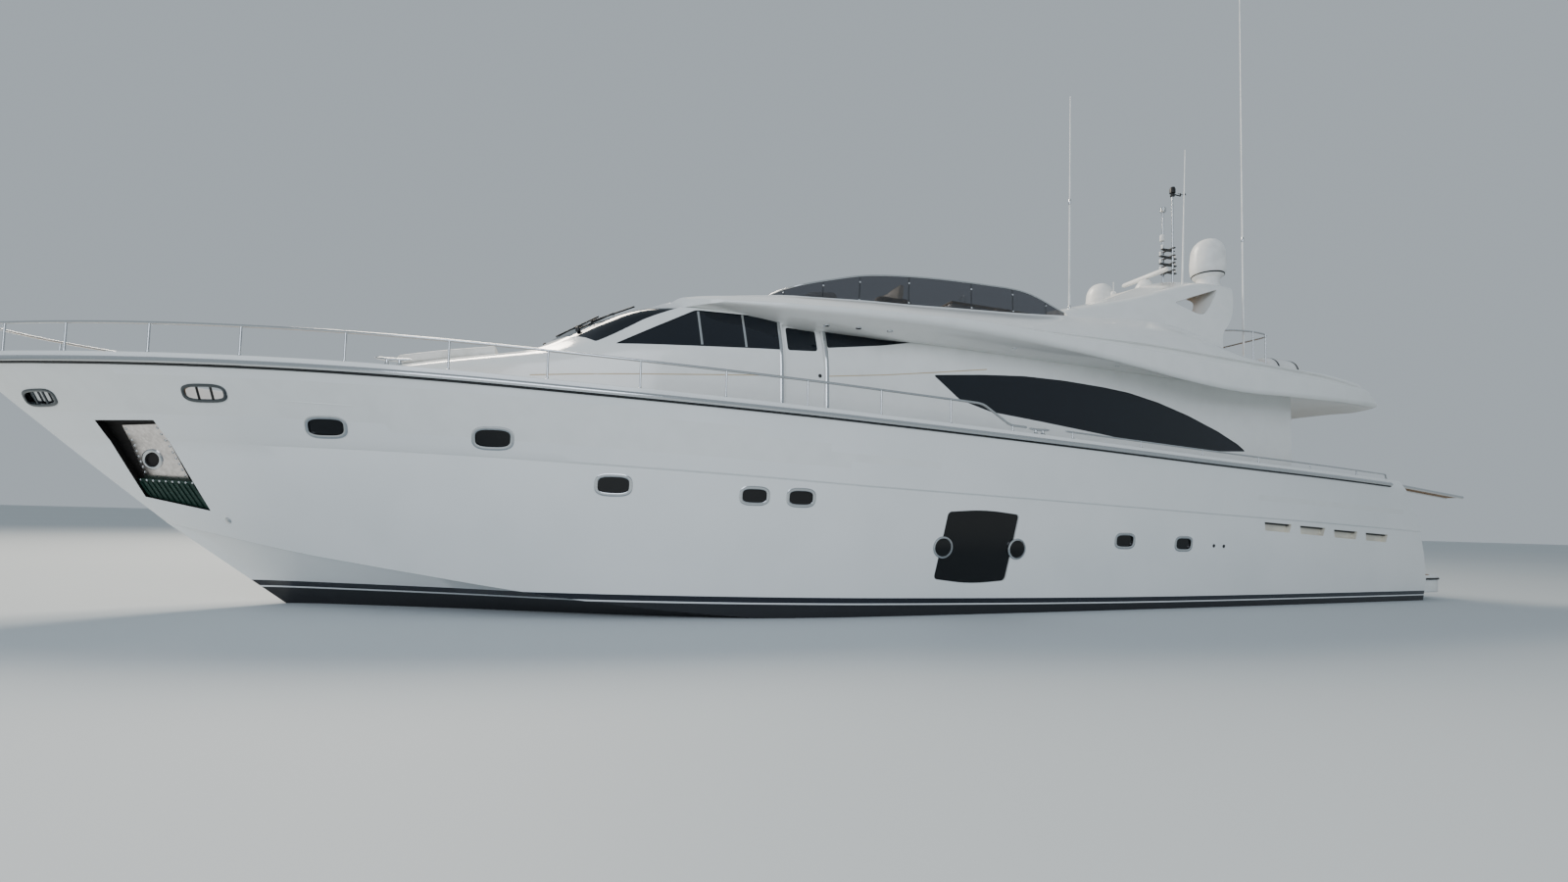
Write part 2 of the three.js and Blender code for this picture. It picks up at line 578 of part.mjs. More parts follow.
// Side doors: each leaf slides aft behind the wall, on a runner along its foot
const DOOR_LAP = 25;
const DOOR_LEAF = 36;
const DOOR_TRAVEL = 830;
const LEAF_INNER_Y = 1945;
const leafLayer = houseSolid(HOUSE_WALL + MOVING_GAP, 100)
  .subtract(houseSolid(HOUSE_WALL + MOVING_GAP + DOOR_LEAF, 200));
const sideLeaf = leafLayer.intersect(box(DOOR_HOLE.aft - DOOR_LAP, DOOR_HOLE.fore + DOOR_LAP, LEAF_INNER_Y, FAR,
  DOOR_HOLE.low - 10, DOOR_HOLE.high + DOOR_LAP));
const leafWindow = sideways([[3990, 4010], [3990, 4405], [3490, 4405], [3490, 4050]], 1500, FAR);
const sideDoor = sideLeaf.subtract(leafWindow);
const doorWall = HOUSE.find((row) => row.x === 3950);
const wallLean = (doorWall.baseY - doorWall.sillY) / (doorWall.sillZ - HOUSE_BASE_Z);
const wallFootY = doorWall.baseY - (DOOR_HOLE.low - HOUSE_BASE_Z) * wallLean;
const leafY = wallFootY - HOUSE_WALL - MOVING_GAP - DOOR_LEAF / 2;
const doorRunner = box(DOOR_HOLE.aft - DOOR_LAP - DOOR_TRAVEL, DOOR_HOLE.fore + DOOR_LAP,
  leafY - 12, leafY + 70, DOOR_HOLE.low - 40, DOOR_HOLE.low - 10.5);
house = house.add(doorRunner).add(mirrored(doorRunner));

// Aft bulkhead of the saloon, with a doorway closed by two sliding leaves
const BULKHEAD = { x: HOUSE_AFT_X + 2, thick: 50, foot: COCKPIT_SOLE_Z + SEAT_GAP };
const DOORWAY = { half: 900, low: COCKPIT_SOLE_Z + 60, high: 3850 };
const roomInside = houseSolid(HOUSE_WALL + 2 * SEAT_GAP, 500);
const bulkheadPlate = roomInside.intersect(box(BULKHEAD.x, BULKHEAD.x + BULKHEAD.thick, -FAR, FAR,
  BULKHEAD.foot, FAR));
const doorway = box(-FAR, 0, -DOORWAY.half, DOORWAY.half, DOORWAY.low, DOORWAY.high);
const SIDE_LIGHT = { far: 2230, low: 2500 };
const sideLights = [-1, 1].map((side) => {
  const near = side * (DOORWAY.half + 130);
  const far = side * SIDE_LIGHT.far;
  return box(-FAR, 0, Math.min(near, far), Math.max(near, far), SIDE_LIGHT.low, DOORWAY.high);
});
const LEAF_X = BULKHEAD.x + BULKHEAD.thick + MOVING_GAP;
const bulkheadSill = box(BULKHEAD.x, LEAF_X + 40, -1950, 1950, BULKHEAD.foot, DOORWAY.low - 10.5);
let bulkhead = bulkheadPlate.subtract(doorway).add(bulkheadSill);
for (const light of sideLights) bulkhead = bulkhead.subtract(light);

house = house.subtract(seatHull);

// The house is three mouldings, which meet ahead of the windscreen and between the quarter and saloon windows
const SEAM = { fore: 7850, foot: 1650, footZ: 3850, head: 1200, headZ: 4500, top: 8000 };
const moulding = (outline) => house.intersect(sideways(outline, -FAR, FAR));
const foreSeam = (off) => [[SEAM.fore + off, 0], [SEAM.fore + off, SEAM.top]];
const aftSeam = (off) => [[SEAM.head + off, SEAM.top], [SEAM.head + off, SEAM.headZ],
  [SEAM.foot + off, SEAM.footZ], [SEAM.foot + off, 0]];
add('coachroof', moulding([...foreSeam(SEAT_GAP), [FAR, SEAM.top], [FAR, 0]]), 'gelcoat');
add('pilothouse', moulding([...foreSeam(0), ...aftSeam(0)]), 'gelcoat');
add('deckhouse', moulding([...aftSeam(-SEAT_GAP), [-FAR, 0], [-FAR, SEAM.top]]), 'gelcoat');
add('aft_bulkhead', bulkhead.subtract(seatHull.subtract(saloonWell).subtract(cockpitWell)), 'gelcoat');

add('side_door_port', sideDoor, 'gelcoat');
add('side_door_starboard', mirrored(sideDoor), 'gelcoat');
const saloonLeaf = box(LEAF_X, LEAF_X + DOOR_LEAF, MOVING_GAP, DOORWAY.half + 40,
  DOORWAY.low - 10, DOORWAY.high + 30)
  .subtract(box(-FAR, 0, 80, DOORWAY.half - 40, DOORWAY.low + 90, DOORWAY.high - 60));
add('saloon_door_port', saloonLeaf, 'steel');
add('saloon_door_starboard', mirrored(saloonLeaf), 'steel');

const paneNames = ['pilothouse_glass', 'quarter_glass', 'saloon_glass'];
sideOpenings.forEach((outline, i) => {
  const pane = glassLayer.intersect(sideways(shrunk(outline, PANE_GAP), 1000, FAR)).intersect(wallZone);
  add(`${paneNames[i]}_port`, pane, 'glass');
  add(`${paneNames[i]}_starboard`, mirrored(pane), 'glass');
});
const screen = glassLayer.intersect(upright(shrunk(WINDSCREEN, PANE_GAP), SCREEN_FOOT_Z, FAR));
add('windscreen', screen, 'glass');

// Flybridge moulding: pilothouse roof, flybridge sole, side wings and coamings
const FLY = table(['x', 'wingY', 'wingLow', 'wingTop', 'crestY', 'crestZ', 'low', 'floor'], [
  [6450, 1500, 4470, 4500, 1200, 4560, 4600, 4680],
  [6100, 1850, 4440, 4490, 1500, 4600, 4600, 4740],
  [5900, 1960, 4510, 4560, 1600, 4640, 4610, 4780],
  [5500, 2040, 4590, 4640, 1640, 4750, 4610, 4860],
  [5200, 2120, 4600, 4655, 1650, 4840, 4600, 4910],
  [4700, 2260, 4590, 4660, 1690, 4925, 4560, 4970],
  [4200, 2400, 4565, 4660, 1730, 4990, 4500, 5030],
  [4000, 2450, 4560, 4660, 1745, 5015, 4480, 5060],
  [3900, 2470, 4555, 4660, 1755, 5025, 4460, FLY_SOLE_Z],
  [3200, 2640, 4535, 4650, 1850, 5050, 4450, FLY_SOLE_Z],
  [2500, 2780, 4510, 4640, 1950, 5070, 4440, FLY_SOLE_Z],
  [1800, 2900, 4490, 4630, 2030, 5080, 4410, FLY_SOLE_Z],
  [1000, 2990, 4450, 4620, 2120, 5105, 4385, FLY_SOLE_Z],
  [-500, 3050, 4362, 4560, 2230, 5170, 4350, FLY_SOLE_Z],
  [-2000, 3060, 4230, 4540, 2280, 5290, 4340, FLY_SOLE_Z],
  [-3300, 3060, 4094, 4522, 2300, 5380, 4330, FLY_SOLE_Z],
  [-4300, 3060, 4019, 4500, 2340, 5280, 4330, FLY_SOLE_Z],
  [-5200, 3060, 4005, 4484, 2480, 4920, 4330, FLY_SOLE_Z],
  [-6000, 3060, 4028, 4468, 2700, 4640, 4330, FLY_SOLE_Z],
  [-7500, 3050, 4056, 4430, 2760, 4600, 4300, FLY_SOLE_Z],
  [-8300, 2990, 4073, 4417, 2740, 4580, 4240, FLY_SOLE_Z],
  [-8600, 2940, 4087, 4400, 2700, 4560, 4200, FLY_SOLE_Z],
  [-9050, 2860, 4100, 4180, 2600, 4230, 4110, 4190],
]);
const ROOF_EDGE = [[6400, 500], [6250, 1000], [6000, 1400], [5700, 1720], [5500, 1920], [5200, 2080],
  [4900, 2230], [4900, 4000], [-FAR, 4000]];
const COAMING_WALL = 110;
const flyColumn = {};
for (const name of Object.keys(FLY[0])) flyColumn[name] = column(FLY, 'x', name);

function flySection(x, grow = 0) {
  const at = (name) => flyColumn[name](x);
  const solidRoof = x > 3950;
  const edge = Math.min(60, (at('wingTop') - at('wingLow')) * 0.4);
  const innerZ = solidRoof ? at('crestZ') + 12 : at('floor');
  return [
    [x, 0, at('low') - grow],
    [x, at('wingY') - 520, at('low') - 60 - grow],
    [x, at('wingY') - 60, at('wingLow') - grow],
    [x, at('wingY') + grow, at('wingLow') + edge],
    [x, at('wingY') + grow, at('wingTop')],
    [x, at('wingY') - 120, at('wingTop') + 40 + grow],
    [x, at('crestY') + 30, at('crestZ') - 40 + grow],
    [x, at('crestY'), at('crestZ') + grow],
    [x, at('crestY') - COAMING_WALL, at('crestZ') + grow],
    [x, at('crestY') - COAMING_WALL - 20, innerZ + grow],
    [x, 0, at('floor') + 20 + grow],
  ];
}
const seatHouse = moved(houseOutside, 0, 0, SEAT_GAP);
const flyRings = FLY.map((row) => wholeRing(flySection(row.x)));
const flyBody = loft(flyRings);
const seatFly = loft(FLY.map((row) => wholeRing(flySection(row.x, SEAT_GAP))));
const STAIR_HATCH = { aft: -8350, fore: -7150, inner: 1480, outer: 2180 };
const stairHole = mirrored(box(STAIR_HATCH.aft, STAIR_HATCH.fore, STAIR_HATCH.inner, STAIR_HATCH.outer,
  -FAR, FAR));
const roofPlan = upright(bothSides([FLY[0].x, 0], ROOF_EDGE, [-FAR, 0]), 0, FAR);
const flybridge = flyBody.intersect(roofPlan).subtract(seatHouse).subtract(stairHole);

// Radar arch: two broad legs and the blade that joins them, with an opening in each leg
const ARCH = table(['x', 'outY', 'outZ', 'topY', 'topZ', 'inY', 'inZ', 'lowZ'], [
  [-1500, 2200, 5080, 1960, 5460, 1500, 5520, 5300],
  [-2900, 2230, 5020, 1950, 5830, 1150, 6000, 5640],
  [-3600, 2250, 5000, 1940, 6040, 1000, 6260, 5900],
  [-4800, 2300, 4860, 1900, 6440, 800, 6760, 6420],
  [-5500, 2310, 4780, 1880, 6560, 800, 6960, 6640],
  [-6250, 2310, 4700, 1850, 6580, 800, 7040, 6760],
]);
const ARCH_WALL = 230;
const archLeg = loft(ARCH.map(({ x, outY, outZ, topY, topZ, inY, inZ, lowZ }) => [
  [x, outY, outZ], [x, topY, topZ], [x, inY, inZ], [x, inY, lowZ], [x, topY - ARCH_WALL - 60, topZ - 330],
  [x, outY - ARCH_WALL, outZ]]));
const bridgeRows = [...ARCH.slice(3), { ...ARCH[5], x: -6650, inZ: 7060, lowZ: 6900 }];
const archBridge = loft(bridgeRows.map(({ x, inY, inZ, lowZ }) => wholeRing([
  [x, 0, lowZ + 20], [x, inY + 5, lowZ + 5], [x, inY + 5, inZ - 2], [x, 0, inZ + 60]])));
const ARCH_AFT = [[-6150, 7400], [-6130, 6600], [-5770, 5860], [-5320, 5400], [-5200, 4300]];
const archAftCut = sideways([...ARCH_AFT, [-FAR, 4300], [-FAR, 7400]], -FAR, FAR);
const ARCH_HOLE = [[-4200, 5930], [-4800, 6150], [-5600, 6440], [-5150, 5950], [-4850, 5700]];
const archHole = sideways(ARCH_HOLE, -FAR, FAR);
const arch = archLeg.add(mirrored(archLeg)).subtract(archHole).add(archBridge)
  .subtract(archAftCut.subtract(box(-FAR, 0, -900, 900, 6500, FAR))).subtract(seatFly);
// Height of the arch's top at a point, from its table
const archTop = (x, y) => {
  const at = (name) => column(ARCH, 'x', name)(x);
  if (y < at('inY')) return at('inZ') + 60 * (1 - y / at('inY'));
  return at('inZ') + (at('topZ') - at('inZ')) * (y - at('inY')) / (at('topY') - at('inY'));
};

// Domes, radar, mast and aerials stand on the arch
const DOME = { x: -5900, y: 1480, radius: 345, height: 1080 };
const DOME_PROFILE = [[0, 0], [0.72, 0], [0.95, 0.3], [1, 0.45], [0.97, 0.66], [0.8, 0.87], [0.45, 0.97],
  [0, 1]];
function dome({ x, y, radius, height }) {
  const profile = DOME_PROFILE.map(([r, h]) => [r * radius, h * height]);
  return turned(profile, x, y, archTop(x, y) - 100);
}
const seatArch = joined([arch, moved(arch, 0, 0, 2 * SEAT_GAP), moved(arch, -3 * SEAT_GAP, 0, 0)]);
const portDome = dome(DOME).subtract(seatArch);
add('dome_port', portDome, 'plastic');
add('dome_starboard', mirrored(portDome), 'plastic');

const RADAR = { x: -5750, z: 7290, length: 1250 };
const PEDESTAL_FOOT = 6990;
const PEDESTAL_HIGH = RADAR.z - PEDESTAL_FOOT;
const pedestal = turned([[0, 0], [190, 0], [210, 130], [120, PEDESTAL_HIGH - 10], [60, PEDESTAL_HIGH],
  [0, PEDESTAL_HIGH]], RADAR.x, 0, PEDESTAL_FOOT, 12);
add('radar_arch', arch.add(pedestal), 'gelcoat');
const RADAR_TOP = RADAR.z + 0.5;
const scanner = box(RADAR.x - 45, RADAR.x + 45, -RADAR.length / 2, RADAR.length / 2,
  RADAR_TOP + 10, RADAR_TOP + 130)
  .add(rod([RADAR.x, 0, RADAR_TOP], [RADAR.x, 0, RADAR_TOP + 20], 58, 12));
add('radar_scanner', scanner, 'plastic');

const MAST = { x: -6500, poleY: 130, foot: 6900, top: 9450 };
const PLATES = [{ z: 7780, crossed: true }, { z: 7960, crossed: true }, { z: 8140, crossed: false }];
const mastPlate = ({ z, crossed }) => {
  const across = box(MAST.x - 20, MAST.x + 20, -190, 190, z, z + 20);
  return crossed ? across.add(box(MAST.x - 260, MAST.x + 260, -30, 30, z, z + 20)) : across;
};
const mast = joined([
  rod([MAST.x, -MAST.poleY, MAST.foot], [MAST.x, -MAST.poleY, MAST.top - 250], 24, 6),
  rod([MAST.x, MAST.poleY, MAST.foot], [MAST.x, MAST.poleY, MAST.top], 22, 6),
  ...PLATES.map(mastPlate),
  rod([MAST.x, MAST.poleY, MAST.top], [MAST.x, MAST.poleY, MAST.top + 190], 70, 8),
]).subtract(seatArch);
const VANE = { x: MAST.x - 260, y: MAST.poleY, z: MAST.top + 60 };
const vaneArm = rod([MAST.x - 60, VANE.y, VANE.z - 30], [VANE.x, VANE.y, VANE.z - 30], 14, 6);
const vane = joined([
  rod([VANE.x, VANE.y, VANE.z - 15.5], [VANE.x, VANE.y, VANE.z + 40], 16, 8),
  box(VANE.x - 190, VANE.x + 90, VANE.y - 4, VANE.y + 4, VANE.z + 10, VANE.z + 22),
  box(VANE.x - 190, VANE.x - 110, VANE.y - 4, VANE.y + 4, VANE.z + 5, VANE.z + 80),
]);
add('instrument_mast', mast.add(vaneArm), 'dark');
add('wind_vane', vane, 'dark');

// Whip aerials
const WHIPS = [
  { name: 'whip_forward', foot: [-1750, 1880, 5480], head: [-1750, 1880, 9650] },
  { name: 'whip_aft', foot: [-5950, 2220, 4500], head: [-5900, 2220, 13200] },
  { name: 'whip_inner', foot: [-5330, 1330, 6500], head: [-5430, 1330, 9700] },
];
for (const { name, foot, head } of WHIPS) {
  add(name, rod(foot, head, 22, 6, 9).subtract(seatArch).subtract(seatFly), 'plastic');
}

// Flybridge windscreen: a smoked band round the front of the well
const SCREEN = table(['x', 'y', 'foot', 'head'], [
  [4040, 0, 5075, 5330],
  [4020, 700, 5045, 5330],
  [3970, 1300, 5010, 5340],
  [3700, 1700, 5005, 5370],
  [3100, 1800, 5015, 5450],
  [2450, 1890, 5040, 5570],
  [1500, 2010, 5065, 5640],
  [300, 2120, 5110, 5650],
  [-550, 2170, 5160, 5600],
  [-1350, 2190, 5225, 5300],
]);
const screenSide = SCREEN.map(({ x, y, foot, head }) => {
  const lean = (head - foot) * 0.25;
  const headX = x - lean * 0.6;
  const headY = y - lean;
  return [[x, y, foot - 60], [headX, headY, head], [headX - 12, headY - 12, head], [x - 14, y - 14, foot - 60]];
});
const screenOther = screenSide.slice(1).reverse().map((ring) => ring.map(([x, y, z]) => [x, -y, z]));
const flyScreen = band([...screenOther, ...screenSide]).subtract(seatFly);
add('fly_windscreen', flyScreen, 'smoked');

// Flybridge furniture
const FLY_FOOT = FLY_SOLE_Z - 20;
const onSole = (solid) => solid.subtract(seatFly);
const CONSOLE = [[3800, FLY_FOOT], [3800, 4900], [3350, 5250], [2900, 5300], [2750, 5050], [2850, FLY_FOOT]];
const helm = onSole(sideways(CONSOLE, 250, 1450));
const WHEEL = { x: 2790, y: 850, z: 5180, radius: 210 };
const wheelBoss = rod([WHEEL.x + 120, WHEEL.y, WHEEL.z - 60], [WHEEL.x, WHEEL.y, WHEEL.z], 28, 12);
add('fly_helm', helm.add(wheelBoss), 'gelcoat');
const rim = new THREE.TorusGeometry(WHEEL.radius, 14, 6, 20);
let wheel = solidOf(rim);
for (let i = 0; i < 3; i += 1) {
  const angle = (i * 2 * Math.PI) / 3;
  wheel = wheel.add(rod([0, 0, 0], [Math.cos(angle) * WHEEL.radius, Math.sin(angle) * WHEEL.radius, 0], 9, 6));
}
wheel = wheel.add(rod([0, 0, -20], [0, 0, 12], 34, 12));
const wheelTurn = Math.atan2(120, 60);
wheel = wheel.rotate([0, -(wheelTurn * 180) / Math.PI, 0])
  .translate([WHEEL.x - 21 * Math.sin(wheelTurn), WHEEL.y, WHEEL.z + 21 * Math.cos(wheelTurn)]);
add('fly_wheel', wheel, 'dark');

const FURNITURE_COLUMNS = ['aft', 'fore', 'right', 'left', 'foot', 'top'];
const furniture = (rows) => joined(table(FURNITURE_COLUMNS, rows).map(block));
const seat = furniture([[1600, 2120, 350, 1350, 5000, 5140], [1480, 1610, 350, 1350, 5000, 5700]]);
add('helm_seat', onSole(seat.add(rod([1850, 850, FLY_FOOT], [1850, 850, 5000], 70, 12))), 'vinyl');
const settee = furniture([
  [-1400, 900, -1950, -1350, FLY_FOOT, 4990],
  [-1400, 900, -1950, -1750, FLY_FOOT, 5140],
  [-1400, -800, -1950, -300, FLY_FOOT, 4990],
  [300, 900, -1950, -300, FLY_FOOT, 4990],
]);
add('fly_settee', onSole(settee), 'vinyl');
const flyTable = furniture([[-700, 200, -1200, -400, 5200, 5245]]);
add('fly_table', onSole(flyTable.add(rod([-250, -800, FLY_FOOT], [-250, -800, 5200], 60, 12))), 'teak');
add('fly_bar', onSole(furniture([[-900, 800, 1150, 1800, FLY_FOOT, 5350]])), 'gelcoat');
const RAFT = { aft: -7900, fore: -6900, y: 1850, z: 4860, radius: 310 };
const raftCase = rod([RAFT.aft, RAFT.y, RAFT.z], [RAFT.fore, RAFT.y, RAFT.z], RAFT.radius, 10);
const raftCradle = furniture([
  [RAFT.aft + 180, RAFT.aft + 260, RAFT.y - 230, RAFT.y + 230, FLY_FOOT, RAFT.z - 150],
  [RAFT.fore - 260, RAFT.fore - 180, RAFT.y - 230, RAFT.y + 230, FLY_FOOT, RAFT.z - 150],
]);
add('raft_case', onSole(raftCase.add(raftCradle)), 'plastic');

// Stair hatch on the flybridge: a lid over the stair opening, hinged along its outboard edge
const LID = { z: FLY_SOLE_Z + 34, thick: 36, lap: 40, barrel: 14 };
const lidAxis = { y: STAIR_HATCH.outer + 30, z: LID.z + 8 };
const lidEnds = { aft: STAIR_HATCH.aft - LID.lap, fore: STAIR_HATCH.fore + LID.lap };
const lidPin = (make, beyond) => make([lidEnds.aft - beyond, lidAxis.y, lidAxis.z],
  [lidEnds.fore + beyond, lidAxis.y, lidAxis.z], LID.barrel, BARREL_SIDES);
const lid = box(lidEnds.aft, lidEnds.fore, STAIR_HATCH.inner - LID.lap, lidAxis.y - 4, LID.z, LID.z + LID.thick)
  .add(lidPin(rod, 0));
const lidSocket = box(lidEnds.aft, lidEnds.fore, lidAxis.y - 10, lidAxis.y + 30, FLY_SOLE_Z - 20, LID.z + 6)
  .subtract(lidPin(bore, 10))
  .subtract(box(-FAR, FAR, 0, lidAxis.y, LID.z - MOVING_GAP, FAR));
add('flybridge', flybridge.add(mirrored(lidSocket)), 'gelcoat');
add('stair_lid', mirrored(lid), 'smoked');

// Rails. A rail is a top tube on stanchions, all in one body.
const RAIL_TUBE = 16;
const POST_TUBE = 13;
const railPlace = (x, inset, up) => {
  const { y, cap } = gunwaleAt(x);
  return [x, Math.max(y - inset, 30), cap + up];
};
const BOW_POSTS = [13900, 13030, 12000, 10950, 9780, 8610, 7450, 6300, 5160, 3990, 2840, 1650];
const bowTop = [14330, ...BOW_POSTS, 1070].map((x) => railPlace(x, 90, 375));
const bowEnd = railPlace(520, 90, 20);
const bowRail = joined([
  tube([...bowTop, bowEnd], RAIL_TUBE),
  rod(bowEnd, railPlace(500, 90, SEAT_GAP), RAIL_TUBE),
  ...BOW_POSTS.map((x) => rod(railPlace(x, 90, SEAT_GAP), railPlace(x, 90, 375), POST_TUBE, 6)),
  ...BOW_POSTS.map((x) => rod(railPlace(x, 90, SEAT_GAP), railPlace(x, 90, 14), 34, 8)),
]).subtract(seatHull);
const pulpit = rod(bowTop[0], [bowTop[0][0], -bowTop[0][1], bowTop[0][2]], RAIL_TUBE);
add('bow_rail', joined([bowRail, mirrored(bowRail), pulpit]), 'steel');

const SIDE_POSTS = [-700, -2200, -3700, -5200, -6700, -8200];
const sideTop = [-560, ...SIDE_POSTS, -9150].map((x) => railPlace(x, 80, 110));
const sideRail = joined([
  tube([...sideTop, railPlace(-9250, 80, 10)], RAIL_TUBE - 2),
  rod(railPlace(-9250, 80, 20), railPlace(-9250, 80, SEAT_GAP), RAIL_TUBE - 2),
  ...SIDE_POSTS.map((x) => rod(railPlace(x, 80, SEAT_GAP), railPlace(x, 80, 110), POST_TUBE - 2, 6)),
]).subtract(seatHull);
add('side_rail_port', sideRail, 'steel');
add('side_rail_starboard', mirrored(sideRail), 'steel');

// The flybridge rail runs aft from the port leg of the arch, inboard, aft past the raft, and forward again
const FLY_RAIL_Z = 5500;
const FLY_RAIL = [[-5350, 2080], [-5650, 2250], [-6080, 2320], [-6480, 2300], [-6680, 2180], [-6680, 1300],
  [-6680, 300], [-7600, 300], [-8500, 300], [-8500, -1000], [-8500, -2400], [-7600, -2560], [-6700, -2560],
  [-5900, -2480], [-5350, -2080]];
const FLY_RAIL_POSTS = [2, 3, 5, 6, 7, 8, 9, 10, 11, 12, 13].map((i) => FLY_RAIL[i]);
const flyRail = joined([
  ...FLY_RAIL.slice(1).map(([x, y], i) => rod([...FLY_RAIL[i], FLY_RAIL_Z], [x, y, FLY_RAIL_Z], RAIL_TUBE)),
  ...FLY_RAIL.slice(1, -1).map(([x, y]) => ball([x, y, FLY_RAIL_Z], RAIL_TUBE)),
  ...FLY_RAIL_POSTS.map(([x, y]) => rod([x, y, FLY_SOLE_Z], [x, y, FLY_RAIL_Z], POST_TUBE, 6)),
]).subtract(seatFly).subtract(seatArch);
add('fly_rail', flyRail, 'steel');

// Cockpit: settee against the transom, table, and the stair up to the flybridge
const onCockpit = (solid) => solid.subtract(seatHull.subtract(cockpitWell));
const SOLE = COCKPIT_SOLE_Z + SEAT_GAP;
const cockpitSettee = furniture([
  [-9140, -8500, -1150, 1650, SOLE, 2190],
  [-9140, -8950, -1150, 1650, SOLE, 2560],
]);
add('cockpit_settee', cockpitSettee, 'vinyl');
const cockpitTable = furniture([
  [-8150, -7850, -50, 450, SOLE, 2420],
  [-8350, -7600, -600, 1000, 2420, 2465],
]);
add('cockpit_table', cockpitTable, 'teak');
const FLIGHT = { footX: -8760, steps: 9, going: 165, inner: 1500, outer: 2160, stringer: 32,
  head: FLY_SOLE_Z - 60 };
const stairRise = (FLIGHT.head + 20 - SOLE) / (FLIGHT.steps + 1);
const treads = [];
for (let i = 1; i <= FLIGHT.steps; i += 1) {
  const x = FLIGHT.footX + i * FLIGHT.going;
  const z = SOLE + i * stairRise;
  treads.push(box(x - 110, x + 110, FLIGHT.inner + 30, FLIGHT.outer - 30, z - 20, z + 20));
}
const stringer = sideways([[-8850, SOLE], [-8600, SOLE], [-7160, FLIGHT.head], [-7410, FLIGHT.head]],
  FLIGHT.inner, FLIGHT.inner + FLIGHT.stringer);
const farStringer = moved(stringer, 0, FLIGHT.outer - FLIGHT.inner - FLIGHT.stringer, 0);
const stair = joined([stringer, farStringer, ...treads]);
add('fly_stair', mirrored(stair), 'steel');

// Foredeck: sunpad on the coachroof, windlasses, and the hatch with its lid
const PAD = { outline: [[9500, -900], [9500, 900], [8150, 1150], [8150, -1150]], thick: 170 };
const padTop = houseSolid(-PAD.thick).subtract(moved(houseOutside, 0, 0, SEAT_GAP));
add('foredeck_sunpad', upright(PAD.outline, 3300, 4600).intersect(padTop), 'vinyl');
const DECK_FORE = gunwaleAt(12000).deck;
const WINDLASS = { x: 12650, y: 380, radius: 105, foot: DECK_FORE - 30 };
const windlassPair = [-WINDLASS.y, WINDLASS.y].map((y) => joined([
  box(WINDLASS.x - 150, WINDLASS.x + 150, y - 130, y + 130, WINDLASS.foot, DECK_FORE + 130),
  rod([WINDLASS.x, y, DECK_FORE + 120], [WINDLASS.x, y, DECK_FORE + 330], WINDLASS.radius, 12),
]));
const windlassBase = box(WINDLASS.x - 90, WINDLASS.x + 90, -WINDLASS.y + 80, WINDLASS.y - 80,
  WINDLASS.foot, DECK_FORE + 110);
add('windlasses', joined([windlassBase, ...windlassPair]).subtract(seatHull), 'steel');

const HATCH = { aft: 11200, fore: 11800, half: 320, frame: 50, low: DECK_FORE - 60, top: DECK_FORE + 95 };
const hatchFrame = box(HATCH.aft, HATCH.fore, -HATCH.half, HATCH.half, HATCH.low, HATCH.top)
  .subtract(box(HATCH.aft + HATCH.frame, HATCH.fore - HATCH.frame, -HATCH.half + HATCH.frame,
    HATCH.half - HATCH.frame, HATCH.low + 20, FAR));
const hatchAxis = { x: HATCH.aft - 20, z: HATCH.top + 22, barrel: 14 };
const hatchPin = (make, reach) => make([hatchAxis.x, -reach, hatchAxis.z], [hatchAxis.x, reach, hatchAxis.z],
  hatchAxis.barrel, BARREL_SIDES);
const hatchSocket = box(HATCH.aft - 40, HATCH.aft + 1, -200, 200, HATCH.low, hatchAxis.z - 4)
  .subtract(hatchPin(bore, 210))
  .subtract(box(HATCH.aft - 10 - MOVING_GAP, FAR, -FAR, FAR, HATCH.top, FAR));
const hatchLid = box(HATCH.aft - 10, HATCH.fore + 10, -HATCH.half - 10, HATCH.half + 10,
  HATCH.top + MOVING_GAP, HATCH.top + MOVING_GAP + 32).add(hatchPin(rod, 195));
hull = hull.add(hatchFrame).add(hatchSocket);
add('foredeck_lid', hatchLid, 'smoked');

// Garage door, hung from its top edge in the transom
const sternInner = STERN_CURVE.map(([x, z]) => [x + 55, z - 20]);
const sternSkin = sideways([...STERN_CURVE, ...sternInner.reverse()], -FAR, FAR);
const doorPanel = sternSkin.intersect(box(-FAR, 0, -GARAGE.y + MOVING_GAP, GARAGE.y - MOVING_GAP,
  GARAGE.low + MOVING_GAP, GARAGE.high - MOVING_GAP));
const GARAGE_AXIS = { x: -10470, z: 1572, barrel: 14 };
const GARAGE_HINGES = [-900, 900];
const garagePin = (make, reach) => joined(GARAGE_HINGES.map((y) => make(
  [GARAGE_AXIS.x, y - reach, GARAGE_AXIS.z], [GARAGE_AXIS.x, y + reach, GARAGE_AXIS.z],
  GARAGE_AXIS.barrel, BARREL_SIDES)));
const garageArm = joined(GARAGE_HINGES.map((y) => box(GARAGE_AXIS.x - 10, GARAGE_AXIS.x + 15, y - 110, y + 110,
  1520, GARAGE_AXIS.z)));
const armSlot = joined(GARAGE_HINGES.map((y) => box(GARAGE_AXIS.x - 20, GARAGE_AXIS.x + 21, y - 121, y + 121,
  1540, GARAGE_AXIS.z)));
hull = hull.subtract(garagePin(bore, 121)).subtract(armSlot);
add('garage_door', doorPanel.add(garagePin(rod, 110)).add(garageArm), 'gelcoat');

// Engines, on the engine-room floor
const engine = furniture([[-6700, -4300, 600, 1550, ENGINE_ROOM.low + SEAT_GAP, 950]]);
add('engine_port', engine, 'engine');
add('engine_starboard', mirrored(engine), 'engine');

